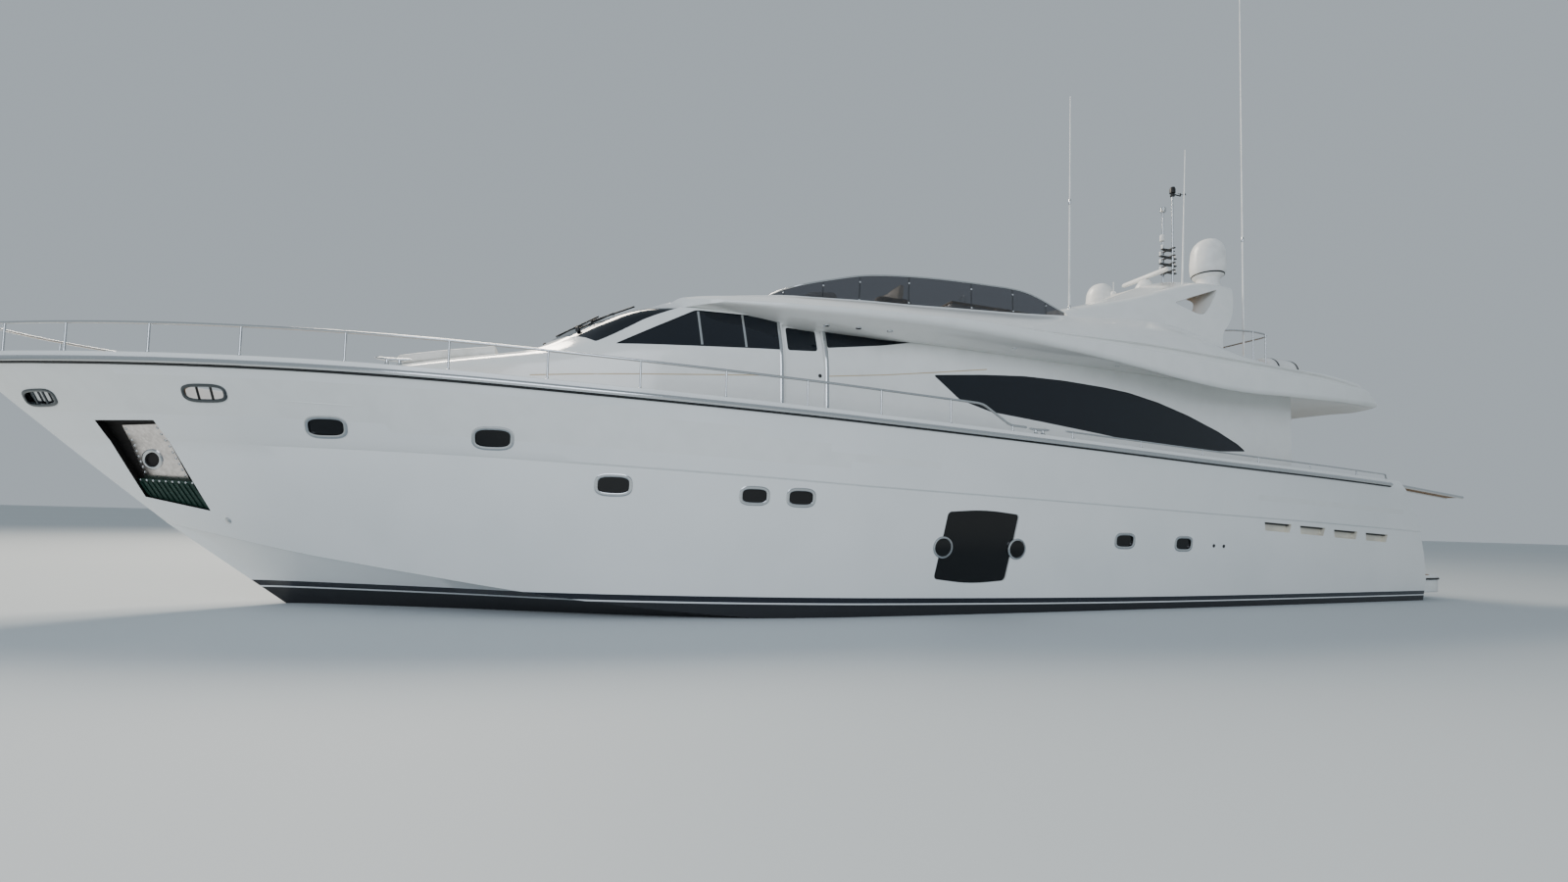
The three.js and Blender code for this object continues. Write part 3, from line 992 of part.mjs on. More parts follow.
// Propellers on their shafts
const bladeShape = new THREE.Shape();
bladeShape.moveTo(60, -70);
bladeShape.quadraticCurveTo(300, -190, PROPELLER_RADIUS, -20);
bladeShape.quadraticCurveTo(PROPELLER_RADIUS, 120, 330, 190);
bladeShape.quadraticCurveTo(180, 200, 60, 70);
const blade = new THREE.ExtrudeGeometry(bladeShape, { depth: 18, bevelEnabled: false, curveSegments: 4 });
blade.translate(0, 0, -9);
blade.rotateX(0.6);
const BLADES = 5;
const shaftAngle = Math.atan(shaftSlope);
let propeller = rod([-170, 0, 0], [150, 0, 0], 85, 12, 75);
for (let i = 0; i < BLADES; i += 1) {
  const one = blade.clone();
  one.rotateZ(Math.PI / 2);
  one.rotateX((i * 2 * Math.PI) / BLADES);
  propeller = propeller.add(solidOf(one));
}
const PROPELLER_X = -9690;
const shaftEnd = along(PROPELLER_X - 200);
propeller = propeller.rotate([0, -(shaftAngle * 180) / Math.PI, 0]).translate(along(PROPELLER_X));
const shaft = rod(along(SHAFT.logX - 3), shaftEnd, SHAFT_RADIUS, PIN_SIDES).add(propeller);
add('propeller_port', shaft, 'bronze');
add('propeller_starboard', mirrored(shaft), 'bronze');

// Rudders
const rudderOutline = [[RUDDER.x + 180, RUDDER.top], [RUDDER.x - 420, RUDDER.top + 20],
  [RUDDER.x - 380, RUDDER.foot], [RUDDER.x + 100, RUDDER.foot]];
const rudderBlade = sideways(rudderOutline, RUDDER.y - 32, RUDDER.y + 32);
const rudder = rudderBlade.add(rod(stockAt(-300), stockAt(410), RUDDER.stock, PIN_SIDES));
add('rudder_port', rudder, 'bronze');
add('rudder_starboard', mirrored(rudder), 'bronze');

// Trim tabs on the transom's lower edge
const TAB = { x: HULL_AFT_X - 12.5, y: 1800, z: -308, half: 450, chord: 360, slope: 15, barrel: 12 };
const tab = box(TAB.x - TAB.chord, TAB.x - 4, -TAB.half, TAB.half, -9, 9)
  .add(rod([TAB.x, -TAB.half, 0], [TAB.x, TAB.half, 0], TAB.barrel, BARREL_SIDES));
const trimTab = tab.rotate([TAB.slope, 0, 0]).translate([0, TAB.y, TAB.z]);
add('trim_tab_port', trimTab, 'steel');
add('trim_tab_starboard', mirrored(trimTab), 'steel');

// Passerelle: a gangway out over the stern, on a pivot block in the port quarter
const GANGWAY = { x: -9500, y: 2490, z: 2560, barrel: 30, tubeAt: 150, tube: 34, cheekAt: 60,
  plankX: -9640, tipX: -12480, tipZ: 2330 };
const gangwayHole = bore([GANGWAY.x, 0, GANGWAY.z], [GANGWAY.x, 5000, GANGWAY.z], GANGWAY.barrel, BARREL_SIDES);
const gangwayCheeks = joined([-1, 1].map((side) => {
  const y = GANGWAY.y + side * GANGWAY.cheekAt;
  return box(GANGWAY.x - 100, GANGWAY.x + 100, y - 20, y + 20, 2000, GANGWAY.z + 10);
})).subtract(gangwayHole);
const gangwayFall = (GANGWAY.tipZ - GANGWAY.z) / (GANGWAY.tipX - GANGWAY.x);
const plankZ = GANGWAY.z + (GANGWAY.plankX - GANGWAY.x) * gangwayFall;
const gangwaySide = (side) => {
  const y = GANGWAY.y + side * GANGWAY.tubeAt;
  return rod([GANGWAY.x, y, GANGWAY.z], [GANGWAY.tipX, y, GANGWAY.tipZ], GANGWAY.tube, 8);
};
const gangwayEdge = (side) => GANGWAY.y + side * GANGWAY.tubeAt;
const gangwayPlank = sideways([[GANGWAY.plankX, plankZ - 20], [GANGWAY.tipX, GANGWAY.tipZ - 20],
  [GANGWAY.tipX, GANGWAY.tipZ + 12], [GANGWAY.plankX, plankZ + 12]], gangwayEdge(-1), gangwayEdge(1));
const gangwayBarrel = rod([GANGWAY.x, gangwayEdge(-1), GANGWAY.z], [GANGWAY.x, gangwayEdge(1), GANGWAY.z],
  GANGWAY.barrel, BARREL_SIDES);
const gangway = joined([gangwayBarrel, gangwaySide(-1), gangwaySide(1), gangwayPlank]);
hull = hull.add(gangwayCheeks);
add('passerelle', gangway, 'steel');

// Mooring cleats on the gunwale, part of the hull
const CLEATS = [9230, -10];
for (const x of CLEATS) {
  const [cx, cy, cz] = railPlace(x, 75, 0);
  const cleat = joined([
    rod([cx - 210, cy, cz + 78], [cx + 210, cy, cz + 78], 20, 6),
    rod([cx - 70, cy, cz - 20], [cx - 70, cy, cz + 78], 24, 6),
    rod([cx + 70, cy, cz - 20], [cx + 70, cy, cz + 78], 24, 6),
  ]);
  hull = hull.add(cleat).add(mirrored(cleat));
}
add('hull', hull, 'gelcoat');

export default boat;
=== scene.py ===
"""Looks of a flybridge motor yacht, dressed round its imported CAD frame.

Metres; +X is forward, +Y is port and +Z is up.
"""

from __future__ import annotations

import json
import logging
import math
from dataclasses import dataclass, field
from enum import Enum
from typing import Iterable, Sequence

import bmesh
import bpy
import numpy as np
from bpy.types import Material, Node, NodeSocket, NodeTree, Object
from mathutils import Matrix, Vector
from mathutils.bvhtree import BVHTree


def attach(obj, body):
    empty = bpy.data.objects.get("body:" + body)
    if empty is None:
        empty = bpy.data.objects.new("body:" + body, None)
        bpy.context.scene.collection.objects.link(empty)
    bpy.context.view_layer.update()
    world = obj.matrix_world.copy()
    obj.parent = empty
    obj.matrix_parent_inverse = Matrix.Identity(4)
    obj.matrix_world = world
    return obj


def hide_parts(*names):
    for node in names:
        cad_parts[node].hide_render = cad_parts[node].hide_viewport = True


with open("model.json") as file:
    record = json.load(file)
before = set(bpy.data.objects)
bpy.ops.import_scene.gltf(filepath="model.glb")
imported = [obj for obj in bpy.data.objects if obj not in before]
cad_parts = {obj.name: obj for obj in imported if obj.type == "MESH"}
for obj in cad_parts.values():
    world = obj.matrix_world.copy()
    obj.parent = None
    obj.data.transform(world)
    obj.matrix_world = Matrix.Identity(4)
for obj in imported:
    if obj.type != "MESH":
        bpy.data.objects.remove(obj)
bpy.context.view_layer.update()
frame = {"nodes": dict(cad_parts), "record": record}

log = logging.getLogger("yacht")
MM = 0.001
SENSOR_MM = 36.0
PHOTO_WIDE_PX = 1600
PHOTO_HIGH_PX = 900
TINY = 1e-9
WELD_GAP = 1e-5
CLOTH_FRAMES = 20
CLOTH_QUALITY = 4
CLOTH_PRESSURE = 4
WELT_RADIUS = 0.006
WELT_BELOW_TOP = 0.038
WELT_LEAST_POINTS = 20
LONGEST_CUT = 0.48
LEVEL = 0.9
FLY_SOLE_Z = 4.54
HINGE_RADIUS = 0.0138
SHAFT_START = (-5.4, 1.15, -0.56)
SHAFT_RISE = 0.59
SHAFT_RUN = 4.45
Point = Sequence[float]
Outline = Sequence[Point]


class Body(Enum):
    """The CAD bodies that a piece rides on."""

    BOAT = "boat"
    SCANNER = "radar_scanner"
    VANE = "wind_vane"
    WHEEL = "fly_wheel"
    GARAGE = "garage_door"
    STAIR_LID = "stair_lid"
    FORE_LID = "foredeck_lid"
    PASSERELLE = "passerelle"
    SIDE_PORT = "side_door_port"
    SIDE_STARBOARD = "side_door_starboard"
    SALOON_PORT = "saloon_door_port"
    SALOON_STARBOARD = "saloon_door_starboard"
    PROPELLER_PORT = "propeller_port"
    PROPELLER_STARBOARD = "propeller_starboard"
    RUDDER_PORT = "rudder_port"
    RUDDER_STARBOARD = "rudder_starboard"
    TAB_PORT = "trim_tab_port"
    TAB_STARBOARD = "trim_tab_starboard"


class Side(Enum):
    """The two sides of the boat, as the sign of Y."""

    PORT = 1
    STARBOARD = -1


# Colour and node helpers


def linear(hex_colour: str) -> tuple[float, float, float, float]:
    """Turns an sRGB hex colour to linear.

    Args:
        hex_colour: Six hex digits.

    Returns:
        Red, green, blue and an alpha of one.
    """
    parts = [int(hex_colour[i : i + 2], 16) / 255 for i in (0, 2, 4)]
    turned = [c / 12.92 if c <= 0.04045 else ((c + 0.055) / 1.055) ** 2.4 for c in parts]
    return (turned[0], turned[1], turned[2], 1.0)


def add_node(tree: NodeTree, kind: str, settings: dict | None = None, **links: object) -> Node:
    """Adds a shader or geometry node with its settings and inputs.

    Args:
        tree: The node tree.
        kind: The node's type name.
        settings: Attributes of the node.
        **links: Inputs by name, with _ for a space; a socket is linked and a value is set. A name of the form
            in_2 is the input with that number.

    Returns:
        The node.
    """
    made = tree.nodes.new(kind)
    for name, value in (settings or {}).items():
        setattr(made, name, value)
    for name, value in links.items():
        socket = made.inputs[int(name[3:])] if name.startswith("in_") else made.inputs[name.replace("_", " ")]
        if isinstance(value, NodeSocket):
            tree.links.new(value, socket)
        else:
            socket.default_value = value
    return made


def blank_material(name: str) -> tuple[Material, NodeTree, Node]:
    """Makes a material with an empty tree and its principled shader.

    Args:
        name: The material's name.

    Returns:
        The material, its tree and its shader.
    """
    material = bpy.data.materials.new(name)
    material.use_nodes = True
    tree = material.node_tree
    tree.nodes.clear()
    shader = tree.nodes.new("ShaderNodeBsdfPrincipled")
    output = tree.nodes.new("ShaderNodeOutputMaterial")
    tree.links.new(shader.outputs["BSDF"], output.inputs["Surface"])
    return material, tree, shader


def object_point(tree: NodeTree, scale: Point = (1, 1, 1), turn: Point = (0, 0, 0)) -> NodeSocket:
    """Gives object coordinates through a mapping.

    Args:
        tree: The node tree.
        scale: The scale on each axis.
        turn: The turn on each axis, in radians.

    Returns:
        The vector socket.
    """
    place = tree.nodes.new("ShaderNodeTexCoord")
    mapped = add_node(
        tree, "ShaderNodeMapping", None, Vector=place.outputs["Object"], Scale=scale, Rotation=turn
    )
    return mapped.outputs["Vector"]


def mixed_colour(
    tree: NodeTree, factor: object, first: object, second: object
) -> NodeSocket:
    """Mixes two colours.

    Args:
        tree: The node tree.
        factor: A value or a socket.
        first: The colour at a factor of zero.
        second: The colour at a factor of one.

    Returns:
        The colour socket.
    """
    mix = add_node(tree, "ShaderNodeMix", {"data_type": "RGBA"}, in_0=factor, in_6=first, in_7=second)
    return mix.outputs[2]


def noise(tree: NodeTree, point: NodeSocket, scale: float, detail: float) -> Node:
    """Adds a noise texture.

    Args:
        tree: The node tree.
        point: The point socket.
        scale: The texture's scale.
        detail: Its detail.

    Returns:
        The node.
    """
    return add_node(tree, "ShaderNodeTexNoise", None, Vector=point, Scale=scale, Detail=detail)


def ramp(tree: NodeTree, value: NodeSocket, low: float, high: float) -> NodeSocket:
    """Maps a value from low to high onto zero to one, smoothly and clamped.

    Args:
        tree: The node tree.
        value: The socket.
        low: What becomes zero.
        high: What becomes one.

    Returns:
        The value socket.
    """
    mapped = add_node(
        tree, "ShaderNodeMapRange", {"interpolation_type": "SMOOTHSTEP"}, Value=value, From_Min=low,
        From_Max=high
    )
    return mapped.outputs[0]


def bumped(
    tree: NodeTree, shader: Node, height: NodeSocket, strength: float, depth: float
) -> None:
    """Puts a bump on a shader.

    Args:
        tree: The node tree.
        shader: The principled shader.
        height: The height socket.
        strength: The bump's strength.
        depth: Its depth in metres.
    """
    bump = add_node(tree, "ShaderNodeBump", None, Height=height, Strength=strength, Distance=depth)
    tree.links.new(bump.outputs["Normal"], shader.inputs["Normal"])


def uneven_roughness(tree: NodeTree, shader: Node, value: NodeSocket, low: float, high: float) -> None:
    """Lets a shader's roughness run between two values.

    Args:
        tree: The node tree.
        shader: The principled shader.
        value: The socket that it follows, from zero to one.
        low: The roughness at zero.
        high: The roughness at one.
    """
    rough = add_node(tree, "ShaderNodeMapRange", None, Value=value, To_Min=low, To_Max=high)
    tree.links.new(rough.outputs[0], shader.inputs["Roughness"])


@dataclass(frozen=True)
class Gelcoat:
    """Sprayed and polished gelcoat over fibreglass: a glossy white skin that is never quite flat."""

    name: str = "polished_white_gelcoat"
    colour: str = "F1F2EF"
    shade: str = "ECEDEA"
    roughness: float = 0.14
    ripple_mm: float = 900.0

    def material(self) -> Material:
        """Makes the material."""
        material, tree, shader = blank_material(self.name)
        point = object_point(tree)
        broad = noise(tree, point, 1000 / self.ripple_mm, 1.0)
        fine = add_node(tree, "ShaderNodeTexNoise", None, Vector=point, Scale=3.0, Detail=3.0, Roughness=0.5)
        colour = mixed_colour(
            tree, ramp(tree, fine.outputs[0], 0.3, 0.8), linear(self.colour), linear(self.shade)
        )
        tree.links.new(colour, shader.inputs["Base Color"])
        uneven_roughness(tree, shader, fine.outputs[0], self.roughness * 0.8, self.roughness * 1.4)
        shader.inputs["IOR"].default_value = 1.5
        shader.inputs["Coat Weight"].default_value = 0.35
        shader.inputs["Coat Roughness"].default_value = 0.05
        bumped(tree, shader, broad.outputs[0], 0.06, 0.012)
        return material


@dataclass(frozen=True)
class HullPaint:
    """The hull's gelcoat down to its boot stripe, a thin white line, and antifouling paint below it."""

    name: str = "hull_gelcoat_with_boot_stripe"
    colour: str = "F3F4F2"
    shade: str = "EDEFED"
    stripe: str = "0E1320"
    antifouling: str = "14161B"

    def material(self) -> Material:
        """Makes the material; the bands follow the height over the waterline and rise to the bow."""
        material, tree, shader = blank_material(self.name)
        place = tree.nodes.new("ShaderNodeTexCoord")
        split = add_node(tree, "ShaderNodeSeparateXYZ", None, Vector=place.outputs["Object"])
        rise = add_node(
            tree, "ShaderNodeMapRange", {"interpolation_type": "SMOOTHERSTEP"}, Value=split.outputs[0],
            From_Min=-6.0, From_Max=11.5, To_Min=0.0, To_Max=0.13,
        )
        above = add_node(
            tree, "ShaderNodeMath", {"operation": "SUBTRACT"}, in_0=split.outputs[2], in_1=rise.outputs[0]
        )
        height = above.outputs[0]
        fine = noise(tree, place.outputs["Object"], 0.8, 2.0)
        white = mixed_colour(
            tree, ramp(tree, fine.outputs[0], 0.3, 0.8), linear(self.colour), linear(self.shade)
        )
        bands = mixed_colour(tree, ramp(tree, height, 0.214, 0.218), linear(self.stripe), white)
        line = mixed_colour(
            tree, ramp(tree, height, 0.112, 0.114), linear(self.antifouling), linear("E8EAEA")
        )
        lower = mixed_colour(tree, ramp(tree, height, 0.134, 0.136), line, bands)
        tree.links.new(lower, shader.inputs["Base Color"])
        dull = add_node(
            tree, "ShaderNodeMapRange", {"interpolation_type": "SMOOTHSTEP"}, Value=height, From_Min=0.10,
            From_Max=0.12,
            To_Min=0.55, To_Max=0.14,
        )
        tree.links.new(dull.outputs[0], shader.inputs["Roughness"])
        shader.inputs["Coat Weight"].default_value = 0.3
        shader.inputs["Coat Roughness"].default_value = 0.04
        broad = noise(tree, place.outputs["Object"], 0.35, 1.0)
        bumped(tree, shader, broad.outputs[0], 0.06, 0.02)
        return material


@dataclass(frozen=True)
class Metal:
    """A bare metal: polished or brushed, with fine lines along one axis."""

    name: str
    colour: str
    roughness: float
    stretch: Point = (1, 1, 30)
    line_mm: float = 4.0

    def material(self) -> Material:
        """Makes the material; the lines are drawn coarser than real ones so that they show."""
        material, tree, shader = blank_material(self.name)
        point = object_point(tree, self.stretch)
        lines = noise(tree, point, 1000 / self.line_mm / 10, 3.0)
        dark = [c * 0.8 for c in linear(self.colour)[:3]] + [1.0]
        colour = mixed_colour(tree, ramp(tree, lines.outputs[0], 0.3, 0.7), linear(self.colour), dark)
        tree.links.new(colour, shader.inputs["Base Color"])
        uneven_roughness(tree, shader, lines.outputs[0], self.roughness * 0.6, self.roughness * 1.5)
        shader.inputs["Metallic"].default_value = 1.0
        return material


@dataclass(frozen=True)
class Glass:
    """Tinted safety glass or acrylic: smooth, dark, and a little see-through."""

    name: str
    tint: str
    clear: float
    roughness: float = 0.03

    def material(self) -> Material:
        """Makes the material."""
        material, tree, shader = blank_material(self.name)
        point = object_point(tree)
        haze = noise(tree, point, 2.2, 3.0)
        uneven_roughness(tree, shader, haze.outputs[0], self.roughness * 0.5, self.roughness * 1.8)
        shader.inputs["Base Color"].default_value = linear(self.tint)
        shader.inputs["Transmission Weight"].default_value = self.clear
        shader.inputs["IOR"].default_value = 1.45
        bumped(tree, shader, haze.outputs[0], 0.04, 0.01)
        return material


@dataclass(frozen=True)
class Moulded:
    """Moulded or painted plastic with a fine grain."""

    name: str
    colour: str
    roughness: float
    grain_mm: float = 3.0
    depth: float = 0.0006

    def material(self) -> Material:
        """Makes the material."""
        material, tree, shader = blank_material(self.name)
        point = object_point(tree)
        grain = noise(tree, point, 1000 / self.grain_mm / 6, 4.0)
        patch = noise(tree, point, 3.0, 2.0)
        dark = [c * 0.86 for c in linear(self.colour)[:3]] + [1.0]
        colour = mixed_colour(tree, ramp(tree, patch.outputs[0], 0.35, 0.7), linear(self.colour), dark)
        tree.links.new(colour, shader.inputs["Base Color"])
        uneven_roughness(tree, shader, patch.outputs[0], self.roughness * 0.85, self.roughness * 1.2)
        bumped(tree, shader, grain.outputs[0], 0.3, self.depth)
        return material


@dataclass(frozen=True)
class Teak:
    """Oiled teak planks laid fore and aft, with black caulking between them."""

    name: str = "oiled_teak_planking"
    light: str = "B48E62"
    dark: str = "8A6440"
    plank_mm: float = 60.0
    seam_mm: float = 6.0
    along_y: bool = False

    def material(self) -> Material:
        """Makes the material; a seam is drawn a little wider than the real 5 mm so that it shows."""
        material, tree, shader = blank_material(self.name)
        place = tree.nodes.new("ShaderNodeTexCoord")
        split = add_node(tree, "ShaderNodeSeparateXYZ", None, Vector=place.outputs["Object"])
        across = split.outputs[0] if self.along_y else split.outputs[1]
        count = add_node(
            tree, "ShaderNodeMath", {"operation": "DIVIDE"}, in_0=across, in_1=self.plank_mm * MM
        )
        part = add_node(tree, "ShaderNodeMath", {"operation": "FRACT"}, in_0=count.outputs[0])
        whole = add_node(tree, "ShaderNodeMath", {"operation": "FLOOR"}, in_0=count.outputs[0])
        tone = add_node(tree, "ShaderNodeTexWhiteNoise", {"noise_dimensions": "1D"}, W=whole.outputs[0])
        stretch = (40, 2.5, 40) if self.along_y else (2.5, 40, 40)
        grain = noise(tree, object_point(tree, stretch), 1.0, 5.0)
        wood = mixed_colour(
            tree, ramp(tree, grain.outputs[0], 0.3, 0.7), linear(self.light), linear(self.dark)
        )
        tint = mixed_colour(tree, tone.outputs[0], (0.82, 0.82, 0.82, 1), (1.08, 1.05, 1.0, 1))
        toned = add_node(
            tree, "ShaderNodeMix", {"data_type": "RGBA", "blend_type": "MULTIPLY"}, in_0=1.0, in_6=wood,
            in_7=tint
        )
        edge = 1 - self.seam_mm / self.plank_mm
        seam = ramp(tree, part.outputs[0], edge - 0.02, edge)
        colour = mixed_colour(tree, seam, toned.outputs[2], linear("1A1917"))
        tree.links.new(colour, shader.inputs["Base Color"])
        shader.inputs["Roughness"].default_value = 0.6
        sunk = add_node(tree, "ShaderNodeMath", {"operation": "SUBTRACT"}, in_0=grain.outputs[0], in_1=seam)
        bumped(tree, shader, sunk.outputs[0], 0.5, 0.001)
        return material


@dataclass(frozen=True)
class Vinyl:
    """Marine vinyl over foam: soft leather grain with a low sheen."""

    name: str = "cream_marine_vinyl"
    colour: str = "E6DECB"
    shade: str = "CFC4AC"
    grain_mm: float = 2.5

    def material(self) -> Material:
        """Makes the material; the grain is drawn coarser than the real 1 mm so that it shows."""
        material, tree, shader = blank_material(self.name)
        point = object_point(tree)
        grain = add_node(
            tree, "ShaderNodeTexVoronoi", {"feature": "DISTANCE_TO_EDGE"}, Vector=point,
            Scale=1000 / self.grain_mm / 4
        )
        patch = noise(tree, point, 5.0, 3.0)
        colour = mixed_colour(
            tree, ramp(tree, patch.outputs[0], 0.35, 0.7), linear(self.colour), linear(self.shade)
        )
        tree.links.new(colour, shader.inputs["Base Color"])
        shader.inputs["Roughness"].default_value = 0.55
        shader.inputs["Sheen Weight"].default_value = 0.15
        bumped(tree, shader, grain.outputs[0], 0.25, 0.0008)
        return material


class Finishes:
    """Every finish on the boat, made once."""

    def __init__(self) -> None:
        """Makes the materials and maps the record's slots to them."""
        self.gelcoat = Gelcoat().material()
        self.hull = HullPaint().material()
        self.steel = Metal("polished_stainless_steel", "D3D6D8", 0.14).material()
        self.bronze = Metal("cast_bronze", "A8844A", 0.38, (8, 8, 8)).material()
        self.glass = Glass("tinted_safety_glass", "1B2530", 0.55).material()
        self.smoked = Glass("smoked_acrylic", "6A6B70", 0.9, 0.02).material()
        self.plastic = Moulded("white_moulded_plastic", "F4F4F1", 0.32).material()
        self.dark = Moulded("black_painted_aluminium", "17181A", 0.45).material()
        self.rubber = Moulded("ribbed_green_rubber", "12362B", 0.65).material()
        self.rubber_black = Moulded("black_window_seal", "0B0C0D", 0.55).material()
        # Beige for the bar's top, and painted crease shade for the lines along the cabin side.
        self.beige = Moulded("beige_bar_top_and_crease_shade", "CDB995", 0.4).material()
        self.cream = Moulded("cream_vent_lining", "E9E4D6", 0.5).material()
        self.plate = Metal("worn_polished_plate", "EDE6E2", 0.30, (6, 6, 6), 30.0).material()
        # Darker steel for the fairleads: painted shade of their polished rims.
        self.shaded_steel = Metal("dull_fairlead_steel", "5E6366", 0.22).material()
        # Near-black painted shade for the cabin's inside, the anchor pockets, and the holes cut through the
        # plates and the hatch coaming.
        self.hollow_shade = Moulded("painted_shade_in_hollows", "1C1815", 0.8).material()
        self.engine = Moulded("grey_engine_enamel", "A9ACA8", 0.4).material()
        self.teak = Teak().material()
        self.vinyl = Vinyl().material()
        self.cover = Vinyl("white_sunpad_vinyl", "F1EFE9", "E4E1D9").material()
        self.piping = Vinyl("light_brown_piping", "B9A680", "A5926D").material()
        self.canvas = Vinyl("beige_canvas", "C9B896", "B4A27F", 6.0).material()
        self.black_glass = Glass("black_hull_window_glass", "05070A", 0.0).material()
        self.by_slot = {
            "gelcoat": self.gelcoat, "teak": self.teak, "steel": self.steel, "bronze": self.bronze,
            "glass": self.glass,
            "smoked": self.smoked, "vinyl": self.vinyl, "plastic": self.plastic, "dark": self.dark,
            "engine": self.engine,
        }

    def dress_frame(self) -> None:
        """Gives every CAD node the finish of its slot."""
        for row in frame["record"]["subparts"]:
            mesh = frame["nodes"][row["node"]].data
            mesh.materials.clear()
            mesh.materials.append(self.by_slot[row["material_slot"]])
        frame["nodes"]["hull"].data.materials[0] = self.hull


@dataclass
class Studio:
    """A pale floor at the waterline, soft light, and the camera where the photograph was taken."""

    place: Point = (7.464, 11.706, 1.373)
    yaw: float = 20.02
    pitch: float = 2.73
    roll: float = 1.46
    focal_px: float = 680.0
    centre_y_px: float = 500.0
    floor_reach: float = 400.0

    def camera(self) -> None:
        """Makes the camera."""
        data = bpy.data.cameras.new("camera")
        data.sensor_width = SENSOR_MM
        data.lens = self.focal_px * SENSOR_MM / PHOTO_WIDE_PX
        data.shift_y = (self.centre_y_px - PHOTO_HIGH_PX / 2) / PHOTO_WIDE_PX
        data.clip_end = 2000
        yaw, pitch, roll = (math.radians(v) for v in (self.yaw, self.pitch, self.roll))
        ahead = Vector((-math.sin(yaw) * math.cos(pitch), -math.cos(yaw) * math.cos(pitch), math.sin(pitch)))
        level = Vector((-math.cos(yaw), math.sin(yaw), 0))
        upward = level.cross(ahead)
        right = math.cos(roll) * level + math.sin(roll) * upward
        top = -math.sin(roll) * level + math.cos(roll) * upward
        camera = bpy.data.objects.new("camera", data)
        turn = Matrix((right, top, -ahead)).transposed().to_4x4()
        camera.matrix_world = Matrix.Translation(Vector(self.place)) @ turn
        bpy.context.scene.collection.objects.link(camera)
        bpy.context.scene.camera = camera

    def floor(self) -> None:
        """Makes the floor at the waterline."""
        material, tree, shader = blank_material("pale_studio_floor")
        cloud = noise(tree, object_point(tree), 0.05, 2.0)
        colour = mixed_colour(tree, cloud.outputs[0], linear("BFC6C9"), linear("C8CDCF"))
        tree.links.new(colour, shader.inputs["Base Color"])
        shader.inputs["Roughness"].default_value = 0.7
        reach = self.floor_reach
        corners = [(-reach, -reach, 0), (reach, -reach, 0), (reach, reach, 0), (-reach, reach, 0)]
        floor = mesh_object("studio_floor", corners, [(0, 1, 2, 3)], material)

    def light(self, name: str, place: Point, aim: Point, size: float, power: float, colour: str) -> None:
        """Makes a soft area light.

        Args:
            name: The light's name.
            place: Where it is.
            aim: What it points at.
            size: Its side in metres.
            power: Its power in watts.
            colour: Its sRGB hex colour.
        """
        data = bpy.data.lights.new(name, "AREA")
        data.shape = "SQUARE"
        data.size = size
        data.energy = power
        data.color = linear(colour)[:3]
        lamp = bpy.data.objects.new(name, data)
        lamp.location = place
        lamp.rotation_euler = (Vector(aim) - Vector(place)).to_track_quat("-Z", "Y").to_euler()
        bpy.context.scene.collection.objects.link(lamp)

    def build(self) -> None:
        """Makes the stage, the lights and the camera."""
        self.camera()
        self.floor()
        world = bpy.data.worlds.new("studio_world")
        bpy.context.scene.world = world
        world.use_nodes = True
        back = world.node_tree.nodes["Background"]
        back.inputs["Color"].default_value = linear("C3CED6")
        back.inputs["Strength"].default_value = 0.75
        self.light("key_light", (14, -22, 30), (0, 0, 2), 14, 16000, "FFF3E2")
        self.light("fill_light", (16, 26, 14), (3, 0, 2), 18, 3500, "E9F1FF")
        log.info("studio ready")


# Mesh helpers


def mesh_object(
    name: str, vertices: Iterable[Point], faces: Iterable[Sequence[int]], material: Material
) -> Object:
    """Makes a mesh object at the origin.

    Args:
        name: The object's name.
        vertices: The points.
        faces: Corner numbers of each face.
        material: The finish.

    Returns:
        The object.
    """
    mesh = bpy.data.meshes.new(name)
    mesh.from_pydata([tuple(v) for v in vertices], [], [tuple(f) for f in faces])
    mesh.validate()
    mesh.update()
    mesh.materials.append(material)
    made = bpy.data.objects.new(name, mesh)
    bpy.context.scene.collection.objects.link(made)
    return made


def drop(thing: Object) -> None:
    """Removes an object and its mesh.

    Args:
        thing: The object.
    """
    mesh = thing.data
    bpy.data.objects.remove(thing)
    bpy.data.meshes.remove(mesh)


def evaluated(thing: Object) -> Object:
    """Bakes an object's modifiers into its mesh.

    Args:
        thing: The object.

    Returns:
        The same object.
    """
    graph = bpy.context.evaluated_depsgraph_get()
    graph.update()
    baked = bpy.data.meshes.new_from_object(
        thing.evaluated_get(graph), preserve_all_data_layers=True, depsgraph=graph
    )
    thing.modifiers.clear()
    old = thing.data
    thing.data = baked
    bpy.data.meshes.remove(old)
    baked.name = thing.name
    return thing


def carved(thing: Object, tools: Iterable[Object], how: str = "DIFFERENCE") -> Object:
    """Cuts, joins or limits an object by others, which are then removed.

    Args:
        thing: The object.
        tools: The closed bodies to work with.
        how: DIFFERENCE, UNION or INTERSECT.

    Returns:
        The same object.
    """
    tools = list(tools)
    for tool in tools:
        step = thing.modifiers.new("carve", "BOOLEAN")
        step.operation = how
        step.solver = "MANIFOLD"
        step.object = tool
        step.material_mode = "TRANSFER"
        evaluated(thing)
    for tool in tools:
        drop(tool)
    return thing


def softened(thing: Object, degrees: float = 30.0) -> Object:
    """Shades an object smooth, with sharp edges above an angle.

    Args:
        thing: The object.
        degrees: The angle.

    Returns:
        The same object.
    """
    thing.data.shade_smooth()
    thing.data.set_sharp_from_angle(angle=math.radians(degrees))
    return thing


def floored(cutter: Object, floor: Material) -> Object:
    """Gives the floor that a cutter leaves a finish of its own.

    Args:
        cutter: The cutter, with the finish of its walls.
        floor: The finish of the floor.

    Returns:
        The same cutter.
    """
    cutter.data.materials.append(floor)
    for face in cutter.data.polygons:
        if face.normal.z < -LEVEL:
            face.material_index = 1
    return cutter


